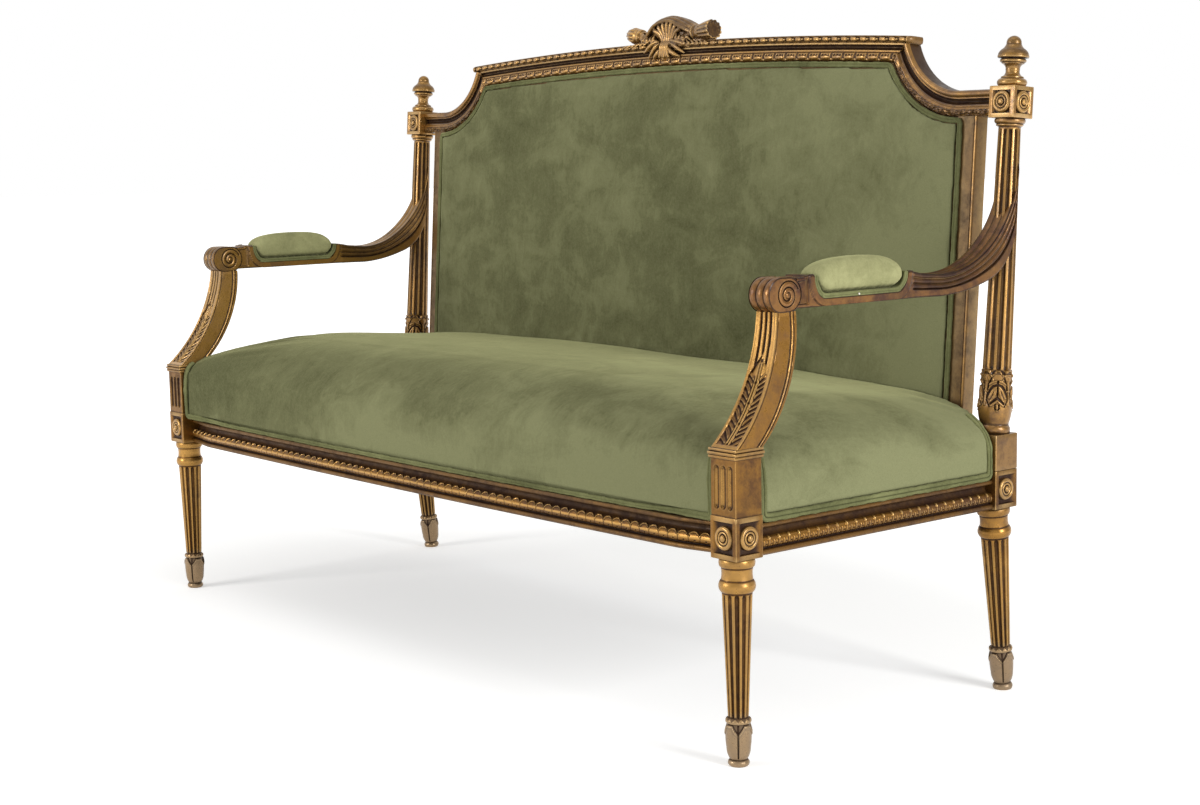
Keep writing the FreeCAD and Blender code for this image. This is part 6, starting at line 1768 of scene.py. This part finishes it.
def seat_welt_front():
    """Welt of the seat's front: down from each stump and along the rail."""
    ends = [(731.4, 0.0, 440.5), (731.8, -6.5, 437.0), (732.2, -12.5, 430.0), (732.6, -16.6, 418.0),
            (732.8, -18.6, 392.0), (732.8, -18.0, 360.0)]
    left, right = ([((side * x, y, z), (0, -1, 0.6 if z > 430 else 0)) for x, y, z in ends] for side in (-1, 1))
    along_rail = [((x, float(welt_depth(x)), float(welt_height(x))), (0, -1, 0))
                  for x in (-732.8, *np.linspace(-718, 718, 59), 732.8)]
    path, outs = rounded_path(left + along_rail + right[::-1], 5.0)
    return double_welt(path, outs, 2.6, 2.5, scale=0.72 + 0.28 * ease((np.abs(path[:, 0]) - 600) / 110))


def seat_welt_side():
    """Welt of the seat's side: down behind the stump, along the rail and up before the post."""
    out = CUSHION_SIDE - 0.4
    corners = [((765.0, 32.6, 434.0), (0.5, 0, 0.8)), ((775.0, 32.4, 421.0), (0.8, 0, 0.5)),
               ((out - 1.4, 32.4, 404.0), (1, 0, 0.2)), ((out + 0.4, 32.4, 372.0), (1, 0, 0)),
               ((out, 32.6, WELT_Z + 1.5), (1, 0, 0))]
    corners += [((out, y, WELT_Z), (1, 0, 0)) for y in np.linspace(46, 486, 20)]
    corners += [((out, 501.4, WELT_Z + 0.5), (1, 0, 0)), ((out + 0.6, 501.4, 360.0), (1, 0, 0)),
                ((out - 0.6, 501.4, 386.0), (1, 0, 0.2)), ((773.0, 501.2, 402.5), (0.8, 0, 0.5)),
                ((757.0, 501.0, 418.0), (0.6, 0, 0.8)), ((742.0, 500.8, 427.0), (0.4, 0, 0.9))]
    return double_welt(*rounded_path(corners, 7.0))


def seat_held(p):
    """Points of the cushion that its cover is fixed at: the foot, the notches round the posts and the rear edge."""
    x = np.abs(p[:, 0])
    corner = (x > 729) & ((p[:, 1] < 30) | (p[:, 1] > 501))
    return (p[:, 2] < 345.5) | corner | (p[:, 1] > 514)


def draw_in(points):
    """Pull the cushion's foot and the edges of its sides in behind the welts."""
    x, y, z = points.T
    foot = ease((346.0 - z) / 3.5)
    flank = np.abs(x) > 762
    beside = np.maximum(ease((38.5 - y) / 3.0), ease((y - 495.4) / 3.0))
    deep = np.maximum(foot * 5.5, beside * 4.0) * flank
    x = np.sign(x) * np.minimum(np.abs(x), CUSHION_SIDE + 0.8 - deep)
    front = (np.abs(x) < 738.6) & (y < 40)
    y = np.where(front, np.maximum(y, welt_depth(x) + 3.2 - 16.0 * (1 - foot)), y)
    post = ease((np.abs(x) - 726.0) / 3.0) * ease((430 - z) / 8.0)
    y = np.where(front, np.maximum(y, -14.8 - 16.0 * (1 - post)), y)
    beside_stump = (y < 26.5) & (np.abs(x) < 745)
    narrow = 738.2 - 2.6 * ease((z - 416) / 4.0) * ease((443 - z) / 4.0)
    x = np.where(beside_stump, np.sign(x) * np.minimum(np.abs(x), narrow), x)
    return np.stack([x, y, z], 1)


seat = build("seat_cushion", [seat_shell()], olive_seat, ["seat_cover", "seat_padding"], slot="velvet")
plump(seat, 0.006, 3.2, seat_held)
set_points(seat, draw_in(piece_points(seat)))
right_side = seat_welt_side()
seat_welts = [seat_welt_front(), right_side, mirrored(right_side)]
build("seat_double_welt", seat_welts, olive_welt, ["seat_welt"], slot="velvet_welt")


# Back upholstery

def outline_top(x, inset):
    """Height above the post's base of the upholstered field's upper edge at x."""
    x = np.abs(x)
    radius = SHOULDER_RADIUS + inset
    meet = circle_meet(-inset, -inset)[0]
    arch = ARCH_CENTRE + np.sqrt((ARCH_RADIUS - inset) ** 2 - x * x)
    curve = SHOULDER_H - np.sqrt(np.maximum(radius ** 2 - (x - SHOULDER_X) ** 2, 0))
    return np.where(x <= meet, arch, curve)


def field_outline(inset, half_width, low, pitch):
    """Closed outline of the field, starting at the lower right and going round by the top."""
    meet_x, meet_h = circle_meet(-inset, -inset)
    radius = SHOULDER_RADIUS + inset
    a0 = math.acos((half_width - SHOULDER_X) / radius)
    a1 = math.atan2(meet_h - SHOULDER_H, meet_x - SHOULDER_X) % math.tau
    angles = np.linspace(math.tau - a0, a1, 48)
    side_h = SHOULDER_H + radius * math.sin(-a0)
    xs = np.linspace(meet_x, 0, 110)[1:]
    half = np.vstack([
        np.stack([np.full(60, half_width), np.linspace(low, side_h, 60)], 1),
        np.stack([SHOULDER_X + radius * np.cos(angles), SHOULDER_H + radius * np.sin(angles)], 1),
        np.stack([xs, ARCH_CENTRE + np.sqrt((ARCH_RADIUS - inset) ** 2 - xs ** 2)], 1)])
    base = np.stack([np.linspace(-half_width, half_width, 240)[1:-1], np.full(238, low)], 1)
    closed = np.vstack([half, (half * (-1, 1))[::-1][1:], base, half[:1]])
    s = lengths(closed)
    return read_off(np.linspace(0, s[-1], int(s[-1] / pitch) + 1)[:-1], s, closed)


PAD_INSET = 7.8
PAD_LOW = FIELD_LOW + 8.2
PAD_WIDE = PAD_HALF - 8.2


def field_grid(inset, wide, low, step):
    """Stations of a field: a row for each x, columns from the foot to the upper edge."""
    meet = circle_meet(-inset, -inset)[0]
    right = [meet + d for d in (-1, 0, 0.6, 1.6, 3.2, 5.5, 8.5, 12.5)] + [wide - d for d in (0.5, 1.5, 3.5, 6)]
    x = np.unique(np.concatenate([stops(-wide, wide, step), right, -np.array(right)]))
    top = outline_top(x, inset)
    count = int(600 / step)
    eta = np.concatenate([[0, 0.001, 0.003, 0.007], np.linspace(0.012, 0.988, count), [0.993, 0.997, 0.999, 1.0]])
    h = low + eta[None] * (top[:, None] - low)
    return np.broadcast_to(x[:, None], h.shape), h


def edge_distance(x, h, inset, wide, low):
    """Distance inwards from the outline of a field."""
    line = field_outline(inset, wide, low, 5.0)
    return distance_to(np.vstack([line, line[:1]]), x, h)


def back_front(p):
    """Distance of points forwards from the back frame's plane."""
    origin = back_points(0.0, 0.0, 0.0)
    forwards = back_points(0.0, 0.0, 1.0) - origin
    return (p - origin) @ forwards


def slab_of(x, h, front, back):
    """Thin padded sheet over a field."""
    xx = np.concatenate([x, x[:, ::-1]], 1)
    hh = np.concatenate([h, h[:, ::-1]], 1)
    ff = np.concatenate([front, back[:, ::-1]], 1)
    return skin(back_points(xx, hh, ff))


def back_cushion():
    """The back's pad, rounded up from its edge."""
    x, h = field_grid(PAD_INSET, PAD_WIDE, PAD_LOW, 11.0)
    d = edge_distance(x, h, PAD_INSET, PAD_WIDE, PAD_LOW)
    rise = 0.5 * dome(np.clip(1 - d / 5.5, 0, 1), 1.0) + 0.32 * dome(np.clip(1 - d / 26.0, 0, 1), 1.0)
    rise = rise + 0.18 * ease(d / 130)
    return slab_of(x, h, 8.6 + 12.2 * rise, np.full(x.shape, 8.4))


def back_held(p):
    """Points of the back's pad that its cover is fixed at: its rim and its two sides."""
    forwards = back_front(p)
    return (forwards < 11.0) | (forwards < 16.0) & (np.abs(p[:, 0]) > PAD_WIDE - 1.5)


pad = build("back_cushion", [back_cushion()], olive_back, ["back_cover", "back_padding"], slot="velvet")
plump(pad, 0.005, 2.4, back_held)
line = field_outline(5.0, PAD_HALF - 5.0, FIELD_LOW + 5.0, 3.0)
for _ in range(2):
    line = (np.roll(line, 1, 0) + 2 * line + np.roll(line, -1, 0)) / 4
rim = back_points(line[:, 0], line[:, 1], 11.2)
forward = back_points(0.0, 0.0, 1.0) - back_points(0.0, 0.0, 0.0)
back_welt = double_welt(rim, np.broadcast_to(forward, rim.shape), 2.3, 2.2, True)
build("back_double_welt", [back_welt], olive_welt, ["back_welt"], slot="velvet_welt")

OUTSIDE_FIELD = -17.0, STILE_INNER + 17.0, -31.0
x, h = field_grid(*OUTSIDE_FIELD, 14.0)
d = edge_distance(x, h, *OUTSIDE_FIELD)
rear = -18.6 - 1.6 * ease(d / 14) - 0.5 * np.sin(x / 61.0) * np.sin(h / 47.0 + 1) * ease(d / 40)
panel = slab_of(x, h, 0 * x - 17.2, rear)
outside = build("outside_back_panel", [panel], olive, ["outside_back_cover"], slot="velvet")
x, h = field_grid(0.8, STILE_INNER - 0.8, 25.6, 16.0)
sheet = slab_of(x, h, 0 * x + 7.8, 0 * x + 7.1)
jute = build("back_burlap_sheet", [sheet], burlap, ["back_burlap"], slot="burlap")


def strap(x, h, f):
    """Webbing strap with its front at f."""
    return slab_of(x, h, 0 * x + f, 0 * x + f - 1.2)


straps = []
half_strap = np.linspace(-24.6, 24.6, 14)
for k in range(7):
    middle = (k - 3) * 2 * STILE_INNER / 7.5
    x = np.broadcast_to((middle + half_strap)[:, None], (14, 120))
    top = outline_top(x[:, 0], 0.8)
    h = 26.0 + np.linspace(0, 1, 120)[None] * (top[:, None] - 26.0)
    straps.append(strap(x, h, 6.8 + 0.15 * np.sin(h / 9.0)))
for k in range(3):
    middle = 100.0 + 150.0 * k
    h = np.broadcast_to((middle + half_strap)[None], (150, 14))
    x = np.broadcast_to(np.linspace(-STILE_INNER + 1, STILE_INNER - 1, 150)[:, None], h.shape)
    straps.append(strap(x, h, 5.2 + 0.15 * np.sin(x / 9.0)))
web = build("back_webbing_straps", straps, webbing, ["back_webbing"], slot="webbing")


def level_sheet(x1, y0, y1, low, high, wave):
    """Thin level sheet with a slight sag between its edges."""
    x0 = -x1
    x = stops(x0, x1, 12.0)[:, None]
    y = stops(y0, y1, 12.0)[None]
    hang = np.sin((x - x0) / (x1 - x0) * math.pi) * np.sin((y - y0) / (y1 - y0) * math.pi)
    sag = wave * hang * (1 + 0.25 * np.sin(x / 43) * np.sin(y / 39))
    x, y, sag = np.broadcast_arrays(x, y, sag)
    top = np.stack([x, y, high - sag], -1)
    under = np.stack([x, y, low - sag], -1)
    return skin(np.concatenate([top, under[:, ::-1]], 1))


sheet = level_sheet(716.5, -3.6, 530.2, 334.95, 335.7, 0.0)
deck = build("seat_burlap_sheet", [sheet], burlap, ["seat_burlap"], slot="burlap")
sheet = level_sheet(730.8, 3.2, 549.5, 286.1, 286.8, 1.2)
under = build("dust_cover_sheet", [sheet], cambric, ["seat_dust_cover"], slot="dust_cloth")


# Arm pads

def arm_pad():
    """Crowned pad: rows along the arm, columns round its section, its foot drawn in to a gathered seam."""
    y = np.concatenate([[135.6, 136.0, 137.0, 138.6, 141], np.linspace(145, 303, 70), [307, 309.4, 311, 312.0, 312.4]])
    crown_line = lookup([(134, 652), (138, 659.5), (147, 666.5), (162, 671.6), (190, 675.2), (225, 676.2),
                         (262, 675.0), (286, 671.4), (300, 665.5), (308, 659), (313, 651)], y)
    cup_in = cup_line(6.9)
    low_line = np.interp(y, cup_in[:, 0], cup_in[:, 1])
    end = np.minimum(y - 135.4, 312.6 - y)
    wide = 21.4 * dome(np.clip(1 - end / 15.0, 0, 1), 1.0) ** 0.62
    angle = np.linspace(0, math.tau, 97)[:-1]
    c, s = np.cos(angle), np.sin(angle)
    rows = []
    for k, yy in enumerate(y):
        low, top = low_line[k] + 0.4, crown_line[k]
        middle = low + min(15.0, (top - low) * 0.42)
        px = np.sign(c) * np.abs(c) ** 0.72 * max(wide[k], 1.0)
        above = middle + (top - middle) * np.abs(s) ** 0.86
        pz = np.where(s > 0, above, middle - (middle - low) * np.abs(s) ** 0.8)
        seam = dome(pz - low - 2.2, 3.4) * (np.abs(c) > 0.35)
        ruche = 0.8 * np.sin(yy / 2.3 + 1.1 * np.sin(yy / 6.1)) * np.exp(-np.abs(pz - low - 4.0) / 4.5)
        px = px - np.sign(c) * (1.5 * seam) + np.sign(c) * ruche * (end[k] > 6)
        rows.append(np.stack([SPAN + px, np.full(96, yy), pz], 1))
    return skin(np.array(rows))


def pad_welt():
    """Double welts lining the cup at each side of the pad, over a strip of velvet between them."""
    line = smooth_curve(cup_line(3.3)[::3], 150)
    pts = np.stack([0 * line[:, 0] + SPAN, line[:, 0], line[:, 1]], 1)
    ahead = np.gradient(line, axis=0)
    inward = np.stack([0 * line[:, 0], -ahead[:, 1], ahead[:, 0]], 1)
    inward /= np.linalg.norm(inward, axis=1, keepdims=True)
    across = np.broadcast_to([1.0, 0, 0], pts.shape)
    welts = [double_welt(pts + (side * 18.0, 0, 0), side * across, 2.05, 1.9) for side in (-1, 1)]
    strip = np.array([[-3.0, -16.5], [2.9, -16.5], [2.9, 16.5], [-3.0, 16.5]])
    return welts + [swept(pts, inward, across, strip)]


def pad_tack():
    """Round head of the tack in the arm's side."""
    profile = trace((1.9, -0.6), [(1.9, 0.2), ((1.6, 0.9), (0.9, 1.15)), (0.3, 1.2)], 0.2)
    return moved(turned(profile, 20), lambda p: np.stack([SPAN + 20.0 + p[:, 2], 217.0 + p[:, 0], 624.2 + p[:, 1]], 1))


arm_pads = both_sides("arm_cushion", [moved(arm_pad(), arm_place)], olive_pad_lit, ["arm_pad"], slot="velvet")
pad_welts = [moved(shell, arm_place) for shell in pad_welt()]
both_sides("arm_pad_double_welt", pad_welts, olive_welt, ["arm_pad_welt"], slot="velvet_welt")
both_sides("arm_pad_pin", [moved(pad_tack(), arm_place)], tack, ["arm_pad_tack"], slot="tack_metal")


# CAD pieces that keep their shape, with their materials

for node, material in (("back_seat_rail", beech), ("back_bottom_rail", beech), ("corner_blocks", beech),
                       ("post_dowels", beech), ("corner_block_screws", screw_steel), ("seat_springs", wire)):
    for slot in bpy.data.objects[node].material_slots:
        slot.material = material


# Camera, light and floor

# The camera's length of lens is in the photo's pixels
PHOTO_WIDTH = 1200.0
FOCAL = 1978.3006
camera_at = np.array([2.6531, -1.7944 + leg_y, 0.8358])
yaw, pitch, roll = (math.radians(v) for v in (50.4209, -7.3758, 1.0481))
fore = np.array([-math.sin(yaw) * math.cos(pitch), math.cos(yaw) * math.cos(pitch), math.sin(pitch)])
right = np.array([math.cos(yaw), math.sin(yaw), 0.0])
up = np.cross(right, fore)
right, up = math.cos(roll) * right - math.sin(roll) * up, math.sin(roll) * right + math.cos(roll) * up
lens = bpy.data.cameras.new("camera")
lens.sensor_width = 36.0
lens.lens = FOCAL * 36.0 / PHOTO_WIDTH
lens.clip_end = 60.0
camera = bpy.data.objects.new("camera", lens)
bpy.context.scene.collection.objects.link(camera)
turn = np.eye(4)
turn[:3, 0], turn[:3, 1], turn[:3, 2], turn[:3, 3] = right, up, -fore, camera_at
camera.matrix_world = Matrix(turn.tolist())
bpy.context.scene.camera = camera
bpy.context.scene.view_settings.view_transform = "Standard"


def lamp(name, place, aim, size, watts, colour=(1, 1, 1)):
    """Rectangular lamp aimed at a point."""
    light = bpy.data.lights.new(name, "AREA")
    light.shape = "RECTANGLE"
    light.size, light.size_y = size
    light.energy = watts
    light.color = colour
    body = bpy.data.objects.new(name, light)
    bpy.context.scene.collection.objects.link(body)
    body.location = place
    body.rotation_euler = (Vector(aim) - Vector(place)).to_track_quat("-Z", "Y").to_euler()


lamp("key", (-1.4, -3.8, 1.7), (0.1, 0.0, 0.55), (1.6, 1.6), 78.0, (1.0, 0.985, 0.96))
lamp("side", (5.6, 0.4, 2.2), (0.2, 0.0, 0.45), (1.8, 2.4), 225.0, (0.99, 0.995, 1.0))
lamp("top", (0.2, -0.9, 3.2), (0.0, 0.0, 0.4), (2.6, 1.0), 12.0)

world = bpy.data.worlds.new("studio")
bpy.context.scene.world = world
world.use_nodes = True
tree = world.node_tree
tree.nodes.clear()
path = add(tree, "ShaderNodeLightPath")
seen = math_node(tree, "MAXIMUM", path.outputs["Is Camera Ray"], path.outputs["Is Transmission Ray"])
place = add(tree, "ShaderNodeTexCoord").outputs["Generated"]
# what gilding mirrors is darker to the right and behind the camera, but for a bright patch
away = along_axis(tree, place, (-0.83, 0.11, 0.55))
near = along_axis(tree, place, (0.66, -0.74, 0.12))
bright = math_node(tree, "MAXIMUM", spread(tree, away, -0.45, 0.30, 0.26, 1.0), spread(tree, near, 0.80, 0.95))
mirror = times(tree, path.outputs["Is Glossy Ray"], bright)
level = math_node(tree, "MAXIMUM", math_node(tree, "MAXIMUM", seen, mirror),
                  times(tree, path.outputs["Is Diffuse Ray"], 0.40))
sky = add(tree, "ShaderNodeBackground", {"Color": (1, 1, 1, 1), "Strength": level})
tree.links.new(sky.outputs["Background"], add(tree, "ShaderNodeOutputWorld").inputs["Surface"])

material, tree = node_tree("pale_floor")
path = add(tree, "ShaderNodeLightPath")
seen = math_node(tree, "MAXIMUM", path.outputs["Is Camera Ray"], path.outputs["Is Glossy Ray"])
paper = mixed(tree, noise(tree, 3.0), linear(244, 244, 243), linear(250, 250, 249))
matte = add(tree, "ShaderNodeBsdfDiffuse", {"Color": paper})
inputs = {0: place_of(tree), 1: (0.72, 1.0, 0.0)}
flat = add(tree, "ShaderNodeVectorMath", inputs, operation="MULTIPLY").outputs["Vector"]
reach = add(tree, "ShaderNodeVectorMath", {0: flat}, operation="LENGTH").outputs["Value"]
strength = times(tree, seen, spread(tree, reach, 0.7, 2.4, 0.42, 1.0))
glow = add(tree, "ShaderNodeEmission", {"Color": (1, 1, 1, 1), "Strength": strength})
both = add(tree, "ShaderNodeAddShader", {0: matte.outputs[0], 1: glow.outputs[0]})
tree.links.new(both.outputs[0], add(tree, "ShaderNodeOutputMaterial").inputs["Surface"])
SPOKES = 96
FLOOR_Z = -0.0004
spokes = np.arange(SPOKES) / SPOKES * math.tau
rings = np.array([1.0, 2.5, 6.0, 14.0, 40.0])[:, None]
grid = np.stack([rings * np.cos(spokes), rings * np.sin(spokes), np.full((5, SPOKES), FLOOR_Z)], -1)
mesh = bpy.data.meshes.new("floor")
verts = [(0, 0, FLOOR_Z)] + [tuple(v) for v in grid.reshape(-1, 3)]
faces = [(0, 1 + k, 1 + (k + 1) % SPOKES) for k in range(SPOKES)]
for ring in range(1, 1 + 4 * SPOKES, SPOKES):
    for k in range(SPOKES):
        after = (k + 1) % SPOKES
        faces.append((ring + k, ring + SPOKES + k, ring + SPOKES + after, ring + after))
mesh.from_pydata(verts, [], faces)
mesh.materials.append(material)
floor = bpy.data.objects.new("floor", mesh)
bpy.context.scene.collection.objects.link(floor)
